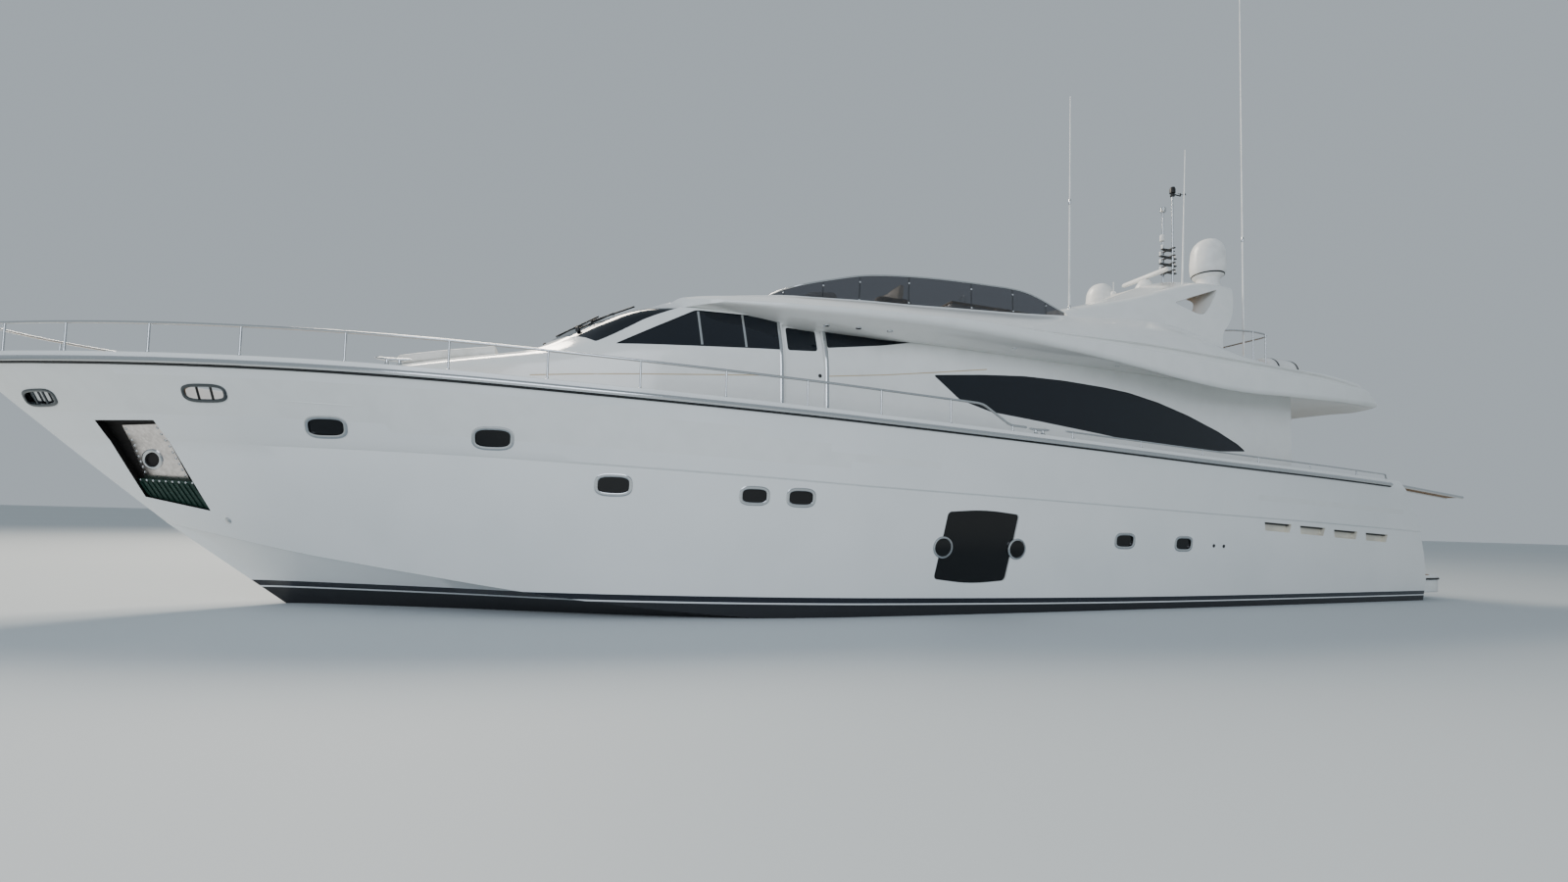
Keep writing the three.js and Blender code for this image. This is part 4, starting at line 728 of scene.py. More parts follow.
def bevelled(thing: Object, edge: float, segments: int = 3, degrees: float = 40.0) -> Object:
    """Rounds an object's sharp edges.

    Args:
        thing: The object.
        edge: The radius of its edges.
        segments: How many steps a rounded edge has.
        degrees: The angle above which an edge is sharp.

    Returns:
        The same object.
    """
    step = thing.modifiers.new("edge", "BEVEL")
    step.width = edge
    step.segments = segments
    step.limit_method = "ANGLE"
    step.angle_limit = math.radians(degrees)
    return evaluated(thing)


def covered_in(thing: Object, material: Material) -> Object:
    """Gives every face of an object one finish.

    Args:
        thing: The object.
        material: The finish.

    Returns:
        The same object.
    """
    for slot in range(len(thing.data.materials)):
        thing.data.materials[slot] = material
    return thing


class FairSkin:
    """The normals of an uncut surface, put back on a body after cuts have broken its faces."""

    NEAR = 0.002
    SAME_FACE = 0.93
    SAME_SIDE = 0.7
    LEAST_AREA = 1e-12

    def __init__(self, thing: Object, degrees: float = 24.0) -> None:
        """Reads the surface.

        Args:
            thing: The uncut body.
            degrees: The angle above which an edge is sharp.
        """
        softened(thing, degrees)
        mesh = thing.data
        mesh.calc_loop_triangles()
        self.points = [v.co.copy() for v in mesh.vertices]
        self.corners = [tuple(t.vertices) for t in mesh.loop_triangles]
        normals = [c.vector.copy() for c in mesh.corner_normals]
        self.normals = [tuple(normals[i] for i in t.loops) for t in mesh.loop_triangles]
        self.faces = [t.normal.copy() for t in mesh.loop_triangles]
        self.tree = BVHTree.FromPolygons(self.points, self.corners)

    def normal_at(self, place: Vector, face_normal: Vector) -> Vector:
        """Gives the surface's normal near a point, or the face's own where it isn't part of the surface.

        Args:
            place: The point.
            face_normal: The face's normal.

        Returns:
            The normal.
        """
        found, _, index, distance = self.tree.find_nearest(place)
        if found is None or distance > self.NEAR or self.faces[index].dot(face_normal) < self.SAME_FACE:
            return face_normal
        a, b, c = (self.points[i] for i in self.corners[index])
        whole = (b - a).cross(c - a).length
        if whole < self.LEAST_AREA:
            return face_normal
        wa = (b - found).cross(c - found).length / whole
        wb = (c - found).cross(a - found).length / whole
        wc = max(0.0, 1 - wa - wb)
        na, nb, nc = self.normals[index]
        mixed = (na * wa + nb * wb + nc * wc).normalized()
        return mixed if mixed.dot(face_normal) > self.SAME_SIDE else face_normal

    def put_on(self, thing: Object) -> Object:
        """Gives a cut body the surface's normals.

        Args:
            thing: The cut body.

        Returns:
            The same body.
        """
        mesh = thing.data
        mesh.shade_smooth()
        out: list[Vector] = [Vector((0, 0, 1))] * len(mesh.loops)
        for face in mesh.polygons:
            centre = face.center
            for i in face.loop_indices:
                corner = mesh.vertices[mesh.loops[i].vertex_index].co
                out[i] = self.normal_at(corner.lerp(centre, 0.02), face.normal)
        mesh.normals_split_custom_set(out)
        return thing


@dataclass(frozen=True)
class Table:
    """Rows of sizes in millimetres, read as smooth curves in metres."""

    names: tuple[str, ...]
    rows: tuple[tuple[float, ...], ...]
    key_scale: float = MM

    def at(self, key: float, name: str) -> float:
        """Reads one column.

        Args:
            key: The place along the first column, in its own unit.
            name: The column's name.

        Returns:
            The size in metres.
        """
        column = self.names.index(name)
        keys = [row[0] * self.key_scale for row in self.rows]
        values = [row[column] * MM for row in self.rows]
        if keys[0] > keys[-1]:
            keys.reverse()
            values.reverse()
        last = len(keys) - 1
        i = 0
        while i < last - 1 and key > keys[i + 1]:
            i += 1

        def slope(j: int) -> float:
            """Gives the slope at a row.

            Args:
                j: The row.

            Returns:
                The slope.
            """
            low, high = max(j - 1, 0), min(j + 1, last)
            return (values[high] - values[low]) / (keys[high] - keys[low])

        span = keys[i + 1] - keys[i]
        t = min(max((key - keys[i]) / span, 0.0), 1.0)
        rise = (3 - 2 * t) * t * t
        start = slope(i) * span * (t**3 - 2 * t**2 + t)
        end = slope(i + 1) * span * (t**3 - t**2)
        return values[i] * (1 - rise) + values[i + 1] * rise + start + end


def spread(keys: Sequence[float], per_span: int) -> list[float]:
    """Puts even steps between keys.

    Args:
        keys: The keys in order.
        per_span: How many steps each span has.

    Returns:
        All the keys.
    """
    out = [keys[0]]
    for a, b in zip(keys, keys[1:]):
        out += [a + (b - a) * (k + 1) / per_span for k in range(per_span)]
    return out


def bowed(a: Point, middle: Point, b: Point, steps: int) -> list[Vector]:
    """Gives the points after a on the curve through three points.

    Args:
        a: The start.
        middle: The point half-way.
        b: The end.
        steps: How many points.

    Returns:
        The points, up to b.
    """
    a, middle, b = Vector(a), Vector(middle), Vector(b)
    out = []
    for k in range(1, steps + 1):
        t = k / steps
        out.append(a * (2 * (t - 0.5) * (t - 1)) + middle * (4 * t * (1 - t)) + b * (2 * t * (t - 0.5)))
    return out


def rounded(points: Outline, radii: Sequence[float], steps: int = 4, closed: bool = False) -> list[Vector]:
    """Rounds the corners of a line.

    Args:
        points: The corners.
        radii: How far each corner is cut back, or 0 to leave it.
        steps: How many steps a rounded corner has.
        closed: Whether the line is closed.

    Returns:
        The points of the rounded line.
    """
    corners = [Vector(p) for p in points]
    count = len(corners)
    out: list[Vector] = []
    for i, corner in enumerate(corners):
        inside = closed or 0 < i < count - 1
        if not inside or radii[i] <= 0:
            out.append(corner)
            continue
        before = corners[i - 1] - corner
        after = corners[(i + 1) % count] - corner
        back = min(radii[i], before.length * LONGEST_CUT)
        on = min(radii[i], after.length * LONGEST_CUT)
        start = corner + before.normalized() * back if before.length > TINY else corner
        end = corner + after.normalized() * on if after.length > TINY else corner
        for k in range(steps + 1):
            t = k / steps
            out.append(start * (1 - t) ** 2 + corner * (2 * t * (1 - t)) + end * t**2)
    return out


def across(points: Iterable[Vector]) -> list[Vector]:
    """Gives the same points on the other side of the boat.

    Args:
        points: The points.

    Returns:
        Their mirror images.
    """
    return [Vector((p.x, -p.y, p.z)) for p in points]


def mirrored_ring(half: Sequence[Point]) -> list[Vector]:
    """Makes a closed ring from the half that runs between two points on the centreline.

    Args:
        half: The half on the port side.

    Returns:
        The ring.
    """
    port = [Vector(p) for p in half]
    return port + across(reversed(port[1:-1]))


def face_outwards(work: bmesh.types.BMesh) -> None:
    """Turns the faces of a closed body outwards.

    Args:
        work: The body.
    """
    bmesh.ops.recalc_face_normals(work, faces=work.faces)
    if work.calc_volume(signed=True) < 0:
        bmesh.ops.reverse_faces(work, faces=work.faces)


def skinned(name: str, rings: Sequence[Sequence[Point]], material: Material) -> Object:
    """Makes a closed body through rings with the same count of points.

    Args:
        name: The body's name.
        rings: The rings.
        material: The finish.

    Returns:
        The body, with its faces turned outwards.
    """
    count = len(rings[0])
    points = [tuple(p) for ring in rings for p in ring]
    faces: list[Sequence[int]] = []
    for i in range(1, len(rings)):
        for j in range(count):
            k = (j + 1) % count
            faces.append(((i - 1) * count + j, (i - 1) * count + k, i * count + k, i * count + j))
    faces.append(tuple(reversed(range(count))))
    base = (len(rings) - 1) * count
    faces.append(tuple(base + j for j in range(count)))
    made = mesh_object(name, points, faces, material)
    work = bmesh.new()
    work.from_mesh(made.data)
    bmesh.ops.remove_doubles(work, verts=work.verts, dist=WELD_GAP)
    bmesh.ops.triangulate(work, faces=[f for f in work.faces if len(f.verts) > 4])
    face_outwards(work)
    work.to_mesh(made.data)
    work.free()
    return made


def prism(
    name: str, outline: Outline, axis: int, low: float, high: float, material: Material
) -> Object:
    """Makes a straight body from an outline.

    Args:
        name: The body's name.
        outline: Points in the other two axes, in their order.
        axis: 0, 1 or 2, the axis that it runs along.
        low: Where it starts.
        high: Where it ends.
        material: The finish.

    Returns:
        The body.
    """
    def placed(level: float) -> list[Vector]:
        """Puts the outline at a level.

        Args:
            level: The place along the axis.

        Returns:
            The points.
        """
        out = []
        for a, b in outline:
            point = [a, b]
            point.insert(axis, level)
            out.append(Vector(point))
        return out

    return skinned(name, [placed(low), placed(high)], material)


def block(name: str, low: Point, high: Point, material: Material, edge: float = 0.0) -> Object:
    """Makes a block, with its edges rounded if asked.

    Args:
        name: The block's name.
        low: Its lowest corner.
        high: Its highest corner.
        material: The finish.
        edge: The radius of its edges.

    Returns:
        The block.
    """
    outline = [(low[0], low[1]), (high[0], low[1]), (high[0], high[1]), (low[0], high[1])]
    made = prism(name, outline, 2, low[2], high[2], material)
    if edge > 0:
        step = made.modifiers.new("edge", "BEVEL")
        step.width = edge
        step.segments = 3
        evaluated(made)
        softened(made, 35)
    return made


def joined(name: str, pieces: Iterable[Object]) -> Object:
    """Joins meshes into one object, with their finishes.

    Args:
        name: The new object's name.
        pieces: The objects, which are removed.

    Returns:
        The object.
    """
    pieces = list(pieces)
    first = pieces[0]
    with bpy.context.temp_override(active_object=first, selected_editable_objects=pieces):
        bpy.ops.object.join()
    first.name = name
    first.data.name = name
    return first


def mirrored_copy(thing: Object, name: str) -> Object:
    """Copies an object to the other side of the boat.

    Args:
        thing: The object.
        name: The copy's name.

    Returns:
        The copy.
    """
    mesh = thing.data.copy()
    mesh.transform(Matrix.Diagonal((1, -1, 1, 1)))
    mesh.flip_normals()
    made = bpy.data.objects.new(name, mesh)
    bpy.context.scene.collection.objects.link(made)
    return made


def finished(thing: Object, body: Body, slot: str, *nodes: str) -> Object:
    """Puts a piece on its body and hides the CAD nodes that it stands for.

    Args:
        thing: The piece.
        body: The body.
        slot: The record's material slot; not used.
        *nodes: The nodes.

    Returns:
        The piece.
    """
    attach(thing, body.value)
    if nodes:
        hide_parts(*nodes)
    log.info("%s: %d faces", thing.name, len(thing.data.polygons))
    return thing


def ring_body(name: str, rings: Sequence[Sequence[Point]], material: Material) -> Object:
    """Makes a closed body through rings that run round and meet again.

    Args:
        name: The body's name.
        rings: The rings, each with the same count of points.
        material: The finish.

    Returns:
        The body, with its faces turned outwards.
    """
    count = len(rings[0])
    points = [tuple(p) for ring in rings for p in ring]
    faces = []
    for i in range(len(rings)):
        after = (i + 1) % len(rings)
        for j in range(count):
            k = (j + 1) % count
            faces.append((i * count + j, i * count + k, after * count + k, after * count + j))
    made = mesh_object(name, points, faces, material)
    work = bmesh.new()
    work.from_mesh(made.data)
    face_outwards(work)
    work.to_mesh(made.data)
    work.free()
    return made


def hollow_lathe(
    name: str, profile: Outline, place: Point, material: Material, axis: Point = (0, 0, 1), sides: int = 40
) -> Object:
    """Makes a turned body with a hole through it.

    Args:
        name: The body's name.
        profile: Radius and height of each point round its section.
        place: Where its foot is.
        material: The finish.
        axis: The way that its height runs.
        sides: How many sides it has.

    Returns:
        The body.
    """
    turn = Vector((0, 0, 1)).rotation_difference(Vector(axis))
    rings = []
    for angle in full_turn(sides):
        rings.append(
            [
                Vector(place) + turn @ Vector((r * math.cos(angle), r * math.sin(angle), h)) for r,
                h in profile[:-1]
            ]
        )
    return softened(ring_body(name, rings, material), 35)


def full_turn(count: int) -> list[float]:
    """Gives even angles round a full turn.

    Args:
        count: How many.

    Returns:
        The angles in radians, from zero.
    """
    return [2 * math.pi * k / count for k in range(count)]


def flat(line: Iterable[Vector]) -> list[tuple[float, float]]:
    """Gives the first two numbers of points as plain pairs.

    Args:
        line: The points.

    Returns:
        The pairs.
    """
    return [(p.x, p.y) for p in line]


def soft_outline(points: Outline, radii: Sequence[float], steps: int = 4) -> list[tuple[float, float]]:
    """Rounds the corners of a closed flat outline.

    Args:
        points: The corners.
        radii: How far each corner is cut back.
        steps: How many steps a rounded corner has.

    Returns:
        The corners of the rounded outline.
    """
    return flat(rounded([(a, b, 0) for a, b in points], radii, steps, True))


def inset_line(outline: Outline, gap: float) -> list[tuple[float, float]]:
    """Draws an outline in, as plain pairs.

    Args:
        outline: The corners.
        gap: How far.

    Returns:
        The corners of the smaller outline.
    """
    return flat(inset_outline(outline, gap))


def fixed(name: str, pieces: Iterable[Object], slot: str, *nodes: str) -> Object:
    """Joins pieces that ride on the boat itself, and finishes them.

    Args:
        name: The piece's name.
        pieces: The objects, which are removed.
        slot: The record's material slot.
        *nodes: The CAD nodes that it stands for.

    Returns:
        The piece.
    """
    return finished(joined(name, pieces), Body.BOAT, slot, *nodes)


def both_sides(port: Object, slot: str, *nodes: str, body: Body = Body.BOAT) -> None:
    """Finishes a port piece and its mirror image.

    Args:
        port: The port piece.
        slot: The record's material slot.
        *nodes: What the CAD nodes that they stand for are named, without the side.
        body: The body that both ride on.
    """
    name = port.name
    port.name = f"{name}_port"
    other = softened(mirrored_copy(port, f"{name}_starboard"), 38)
    finished(port, body, slot, *[f"{node}_port" for node in nodes])
    finished(other, body, slot, *[f"{node}_starboard" for node in nodes])


def paired(port: Object, bodies: tuple[Body, Body], slot: str, node: str) -> None:
    """Finishes a port piece and its mirror image, each on a body of its own.

    Args:
        port: The port piece, whose name ends in _port.
        bodies: The bodies of the port piece and of its mirror image.
        slot: The record's material slot.
        node: What the CAD nodes that they stand for are named, without the side.
    """
    other = mirrored_copy(port, port.name.replace("_port", "_starboard"))
    finished(port, bodies[0], slot, f"{node}_port")
    finished(other, bodies[1], slot, f"{node}_starboard")


@dataclass(frozen=True)
class Oval:
    """An oval window or opening on the topsides."""

    x: float
    z: float
    wide: float
    high: float

    def line(self, steps: int = 44) -> list[tuple[float, float]]:
        """Gives its outline, fuller than an ellipse.

        Args:
            steps: How many points.

        Returns:
            The outline as X and Z.
        """
        out = []
        for angle in full_turn(steps):
            c, s = math.cos(angle), math.sin(angle)
            out.append((
                self.x + self.wide / 2 * math.copysign(abs(c) ** 0.62, c),
                self.z + self.high / 2 * math.copysign(abs(s) ** 0.62, s)
            ))
        return out


def node_group(name: str, kinds: dict[str, str], result: str) -> tuple[NodeTree, Node, Node]:
    """Makes an empty geometry node tree with its inputs and its output.

    Args:
        name: The tree's name.
        kinds: The kind of each input by name, as its socket's type ends.
        result: The output's name.

    Returns:
        The tree, its input node and its output node.
    """
    tree = bpy.data.node_groups.new(name, "GeometryNodeTree")
    for label, kind in kinds.items():
        tree.interface.new_socket(label, in_out="INPUT", socket_type=f"NodeSocket{kind}")
    tree.interface.new_socket(result, in_out="OUTPUT", socket_type="NodeSocketGeometry")
    return tree, tree.nodes.new("NodeGroupInput"), tree.nodes.new("NodeGroupOutput")


def placed_on(
    tree: NodeTree, out: Node, points: NodeSocket, piece: NodeSocket, turn: NodeSocket, material: Material
) -> NodeTree:
    """Ends a tree that puts a piece on points, as plain mesh with one finish.

    Args:
        tree: The tree.
        out: Its output node.
        points: The points.
        piece: The piece.
        turn: How each copy is turned.
        material: The finish.

    Returns:
        The same tree.
    """
    placed = add_node(
        tree, "GeometryNodeInstanceOnPoints", None, Points=points, Instance=piece, Rotation=turn
    )
    real = add_node(tree, "GeometryNodeRealizeInstances", None, Geometry=placed.outputs["Instances"])
    last = add_node(
        tree, "GeometryNodeSetMaterial", None, Geometry=real.outputs["Geometry"], Material=material
    )
    tree.links.new(last.outputs["Geometry"], out.inputs[0])
    return tree


@dataclass
class Bolts:
    """Domed bolt heads set on points by a node tree, each turned at random about its own axis."""

    material: Material
    seed: int = 7

    def tree(self) -> NodeTree:
        """Makes the node tree."""
        kinds = {"Points": "Geometry", "Radius": "Float", "Height": "Float", "Seed": "Int"}
        tree, given, out = node_group("bolt_heads_on_points", kinds, "Heads")
        facing = add_node(tree, "GeometryNodeInputNamedAttribute", {"data_type": "FLOAT_VECTOR"}, Name="out")
        turned = add_node(
            tree, "FunctionNodeAlignRotationToVector", {"axis": "Z"}, Vector=facing.outputs["Attribute"]
        )
        chance = add_node(tree, "FunctionNodeRandomValue", {"data_type": "FLOAT"}, Seed=given.outputs["Seed"])
        chance.inputs[3].default_value = math.tau
        spin = add_node(
            tree, "FunctionNodeAxisAngleToRotation", None, Axis=(0, 0, 1), Angle=chance.outputs[1]
        )
        spun = add_node(
            tree, "FunctionNodeRotateRotation", {"rotation_space": "LOCAL"}, Rotation=turned.outputs[0],
            Rotate_By=spin.outputs[0]
        )
        ball = add_node(
            tree, "GeometryNodeMeshUVSphere", None, Segments=12, Rings=6, Radius=given.outputs["Radius"]
        )
        share = add_node(
            tree, "ShaderNodeMath", {"operation": "DIVIDE"}, in_0=given.outputs["Height"],
            in_1=given.outputs["Radius"]
        )
        scale = add_node(tree, "ShaderNodeCombineXYZ", None, X=1.0, Y=1.0, Z=share.outputs[0])
        head = add_node(
            tree, "GeometryNodeTransform", None, Geometry=ball.outputs["Mesh"], Scale=scale.outputs[0]
        )
        smooth = add_node(tree, "GeometryNodeSetShadeSmooth", None, Geometry=head.outputs["Geometry"])
        return placed_on(
            tree, out, given.outputs["Points"], smooth.outputs[0], spun.outputs[0], self.material
        )

    def set_on(
        self, name: str, places: Sequence[tuple[Vector, Vector]], radius: float
    ) -> Object:
        """Sets a head on each place.

        Args:
            name: The object's name.
            places: Each place with the way out of the surface.
            radius: The radius of a head, which stands out by half of it.

        Returns:
            The heads as one plain mesh.
        """
        made = mesh_object(name, [p for p, _ in places], [], self.material)
        made.data.attributes.new("out", "FLOAT_VECTOR", "POINT").data.foreach_set(
            "vector", [c for _, n in places for c in n]
        )
        return noded(made, self.tree(), {"Radius": radius, "Height": radius * 0.5, "Seed": self.seed})


@dataclass
class Slats:
    """Rows of like bars set out by a node tree: louvres, soffit slats and the like."""

    material: Material

    def tree(self) -> NodeTree:
        """Makes the node tree."""
        kinds = {
            "Geometry": "Geometry", "Count": "Int", "Start": "Vector", "Step": "Vector", "Size": "Vector",
            "Turn": "Vector",
        }
        tree, given, out = node_group("row_of_slats", kinds, "Slats")
        line = add_node(
            tree, "GeometryNodeMeshLine", None, Count=given.outputs["Count"],
            Start_Location=given.outputs["Start"], Offset=given.outputs["Step"]
        )
        bar = add_node(tree, "GeometryNodeMeshCube", None, Size=given.outputs["Size"])
        turn = add_node(tree, "FunctionNodeEulerToRotation", None, Euler=given.outputs["Turn"])
        return placed_on(
            tree, out, line.outputs["Mesh"], bar.outputs["Mesh"], turn.outputs[0], self.material
        )

    def row(
        self, name: str, count: int, start: Point, step: Point, size: Point, turn: Point = (0, 0, 0)
    ) -> Object:
        """Makes a row.

        Args:
            name: The object's name.
            count: How many bars.
            start: The middle of the first.
            step: From one to the next.
            size: The size of a bar.
            turn: How each is turned, in radians.

        Returns:
            The row as one plain mesh.
        """
        made = mesh_object(name, [(0, 0, 0)], [], self.material)
        return noded(
            made, self.tree(), {"Count": count, "Start": start, "Step": step, "Size": size, "Turn": turn}
        )


def noded(thing: Object, tree: NodeTree, values: dict[str, object]) -> Object:
    """Runs a node tree on an object and keeps its plain mesh.

    Args:
        thing: The object.
        tree: The node tree.
        values: The tree's inputs by name.

    Returns:
        The same object.
    """
    step = thing.modifiers.new("nodes", "NODES")
    step.node_group = tree
    for item in tree.interface.items_tree:
        if item.item_type == "SOCKET" and item.in_out == "INPUT" and item.name in values:
            step[item.identifier] = values[item.name]
    evaluated(thing)
    return thing


@dataclass
class Hull:
    """The hull: a hard chine, a knuckle along the topsides, and a bulwark round the decks."""

    finishes: Finishes
    table: Table = Table(
        ("s", "keel_z", "chine_y", "chine_z", "knee_y", "knee_z", "sheer_y", "sheer_z", "deck_z"),
        (
            (-1.00, -800, 2620, -120, 2800, 1480, 2900, 2370, 2080),
            (-0.75, -920, 2720, -120, 2930, 1600, 3040, 2490, 2150),
            (-0.50, -1020, 2790, -110, 3020, 1700, 3120, 2590, 2220),
            (-0.25, -1090, 2830, -100, 3070, 1805, 3170, 2710, 2310),
            (0.00, -1130, 2810, -80, 3060, 1905, 3170, 2820, 2400),
            (0.17, -1130, 2680, 0, 2930, 1980, 3090, 2880, 2460),
            (0.35, -1090, 2370, 150, 2650, 2050, 2900, 2940, 2530),
            (0.50, -1000, 1970, 330, 2300, 2110, 2620, 3000, 2600),
            (0.62, -880, 1580, 500, 1920, 2145, 2290, 3035, 2650),
            (0.73, -720, 1190, 660, 1500, 2170, 1880, 3055, 2700),
            (0.82, -540, 840, 800, 1080, 2190, 1440, 3070, 2740),
            (0.90, -340, 500, 950, 650, 2210, 940, 3090, 2780),
            (0.96, -150, 220, 1060, 290, 2230, 470, 3120, 2820),
            (1.00, 0, 40, 1150, 50, 2240, 60, 3180, 2860),
        ),
        1.0,
    )
    midship_x: float = 3.0
    aft_x: float = -10.95
    stem_x: dict[str, float] = field(
        default_factory=lambda: {"keel": 10.9, "chine": 12.35, "knee": 13.55, "sheer": 14.55, "deck": 14.2}
    )
    cap_height: float = 0.15
    bulwark_wall: float = 0.14
    camber: float = 0.04
    foredeck_x: float = 12.0
    cockpit_sole_z: float = 1.75
    platform_z: float = 0.56
    stair_steps: int = 5
    blunt_station: float = 0.97
    recess_y: tuple[float, float] = (0.02, 5.0)
    stern: tuple[tuple[float, float], ...] = (
        (-9.38, 2.655), (-9.50, 2.60), (-9.62, 2.52), (-9.80, 2.39), (-9.98, 2.23), (-10.16, 2.03),
        (-10.34, 1.80),
        (-10.51, 1.54), (-10.65, 1.25), (-10.76, 1.02), (-10.85, 0.76), (-10.92, 0.50),
    )

    portholes: tuple[Oval, ...] = (
        Oval(10.028, 2.411, 0.464, 0.230), Oval(8.071, 2.341, 0.466, 0.251), Oval(6.566, 1.802, 0.447, 0.258),
        Oval(4.688, 1.721, 0.386, 0.229), Oval(4.022, 1.717, 0.389, 0.234), Oval(-1.927, 1.195, 0.420, 0.240),
        Oval(-3.320, 1.162, 0.400, 0.240),
    )
    leads: tuple[Oval, ...] = (Oval(13.54, 2.716, 0.46, 0.17), Oval(11.379, 2.763, 0.49, 0.172))
    lead_depths: tuple[float, ...] = (0.06, 0.16)
    round_ports: tuple[tuple[float, float], ...] = ((1.692, 1.046), (0.318, 1.033))
    window_hole: Outline = ((1640, 1590), (980, 1640), (320, 1580), (490, 530), (1150, 480), (1810, 560))
    pocket: Outline = ((12900, 2455), (12110, 2456), (11640, 1323), (12535, 1492))
    plate: Outline = ((12640, 2414), (12165, 2428), (11832, 1500), (12535, 1560))
    vents: Outline = ((-5400, 1600), (-6440, 1555), (-7500, 1500), (-8560, 1455))
    vent: Outline = ((0, 0), (-780, -30), (-740, -190), (-40, -160))

    def x(self, s: float, line: str) -> float:
        """Gives the place along the boat of a line at a station.

        Args:
            s: The station, from -1 at the stern to 1 at the stem.
            line: The line's name.

        Returns:
            The place in metres.
        """
        if s < 0:
            return self.midship_x + s * (self.midship_x - self.aft_x)
        return self.midship_x + s * (self.stem_x[line] - self.midship_x)

    def gunwale(self, x: float) -> tuple[float, float, float]:
        """Gives the gunwale at a place along the boat.

        Args:
            x: The place.

        Returns:
            Its half-breadth, the height of its cap and the height of the deck beside it.
        """
        reach = self.midship_x - self.aft_x if x < self.midship_x else self.stem_x["sheer"] - self.midship_x
        s = (x - self.midship_x) / reach
        return self.table.at(
            s, "sheer_y"
        ), self.table.at(s, "sheer_z") + self.cap_height, self.table.at(s, "deck_z")

    def side_y(self, x: float, z: float) -> float:
        """Gives the half-breadth of the topsides at a place.

        Args:
            x: The place along the boat.
            z: The height.

        Returns:
            The half-breadth.
        """
        best = 0.0
        gap = 1e9
        for k in range(401):
            s = -1 + k / 200
            line = self.section(s)[6:26]
            for a, b in zip(line, line[1:]):
                if (a.z - z) * (b.z - z) <= 0 and a.z != b.z:
                    hit = a.lerp(b, (z - a.z) / (b.z - a.z))
                    if abs(hit.x - x) < gap:
                        gap = abs(hit.x - x)
                        best = hit.y
        return best

    @property
    def foredeck_z(self) -> float:
        """The height of the foredeck where its gear stands."""
        return self.gunwale(self.foredeck_x)[2]

    def section(self, s: float, depth: float = 0.0) -> list[Vector]:
        """Gives the half section at a station, from the keel over the bulwark to the deck's centreline.

        Args:
            s: The station.
            depth: How far inside the skin it lies.

        Returns:
            The points.
        """
        at = lambda name: self.table.at(s, name)
        inward = lambda y: max(y - depth, 0.01)
        keel = Vector((self.x(s, "keel"), 0, at("keel_z")))
        chine_y, chine_z, knee_y, knee_z = at("chine_y"), at("chine_z"), at("knee_y"), at("knee_z")
        sheer_y, sheer_z = at("sheer_y"), at("sheer_z")
        hollow = 0.04 * max(0.0, min(1.0, s * 2)) * (1 - s)
        inner = Vector((self.x(s, "chine"), chine_y - min(0.06, chine_y * 0.3), chine_z))
        outer = Vector((self.x(s, "chine"), inward(chine_y), chine_z + 0.01))
        waist = Vector((
            (self.x(s, "chine") + self.x(s, "knee")) / 2,
            inward(chine_y + (knee_y - chine_y) * 0.55 - hollow), (chine_z + knee_z) / 2
        ))
        knee = Vector((self.x(s, "knee"), inward(knee_y), knee_z))
        step = Vector(
            (
                knee.x + 0.02 * (self.x(s, "sheer") - knee.x), inward(knee_y + min(0.022, knee_y * 0.2)),
                knee_z + 0.025
            )
        )
        flare = Vector((
            (knee.x + self.x(s, "sheer")) / 2, inward(knee_y + 0.022 + (sheer_y - knee_y - 0.022) * 0.45),
            (knee_z + sheer_z) / 2
        ))
        sheer = Vector((self.x(s, "sheer"), inward(sheer_y), sheer_z))
        cap_z = sheer_z + self.cap_height
        in_y = max(sheer_y - self.bulwark_wall, 0.024)
        deck_y = max(in_y - 0.02, 0.018)
        deck_x = self.x(s, "deck")
        out = [keel] + bowed(keel, (keel + inner) / 2, inner, 5)
        out += [outer] + bowed(outer, waist, knee, 9)
        out += [step] + bowed(step, flare, sheer, 8)
        top = [
            (sheer.x, sheer.y, sheer_z), (sheer.x, sheer.y, cap_z), (deck_x, in_y, cap_z),
            (deck_x, deck_y, at("deck_z")),
            (deck_x, deck_y * 0.5, at("deck_z") + self.camber * 0.7), (deck_x, 0, at("deck_z") + self.camber),
        ]
        return out + rounded(top, (0, 0.03, 0.03, 0.05, 0, 0), 3)[1:]

    def skin(self, name: str, depth: float = 0.0, top: float = 1.0) -> Object:
        """Makes the whole hull, before anything is cut in it.

        Args:
            name: The body's name.
            depth: How far inside the skin it lies.
            top: The last station.

        Returns:
            The body.
        """
        keys = [row[0] for row in self.table.rows if row[0] < top] + [top]
        rings = [mirrored_ring(self.section(s, depth)) for s in spread(keys, 6)]
        return skinned(name, rings, self.finishes.hull)

    def paint(self, thing: Object) -> None:
        """Gives the cap and bulwark plain gelcoat, and the deck teak.

        Args:
            thing: The uncut hull.
        """
        mesh = thing.data
        mesh.materials.append(self.finishes.gelcoat)
        mesh.materials.append(self.finishes.teak)
        for face in mesh.polygons:
            centre = face.center
            y, cap, deck = self.gunwale(centre.x)
            if centre.z > deck - 0.2 and abs(centre.y) < y - 0.05:
                face.material_index = 2 if face.normal.z > LEVEL and centre.z < deck + 0.08 else 1
            elif centre.z > cap - 0.01:
                face.material_index = 1

    def stairs(self) -> list[Object]:
        """Makes the cutters for the stairs from the cockpit down to the platform."""
        out = []
        run = (-9.25 - self.aft_x) / self.stair_steps
        rise = (self.cockpit_sole_z - self.platform_z) / self.stair_steps
        for side in Side:
            for i in range(self.stair_steps):
                low = self.cockpit_sole_z - i * rise
                y0, y1 = sorted((side.value * 1.62, side.value * 2.25))
                out.append(self.hole((-13, y0, low), (-9.13 - i * run, y1, 5)))
        return out

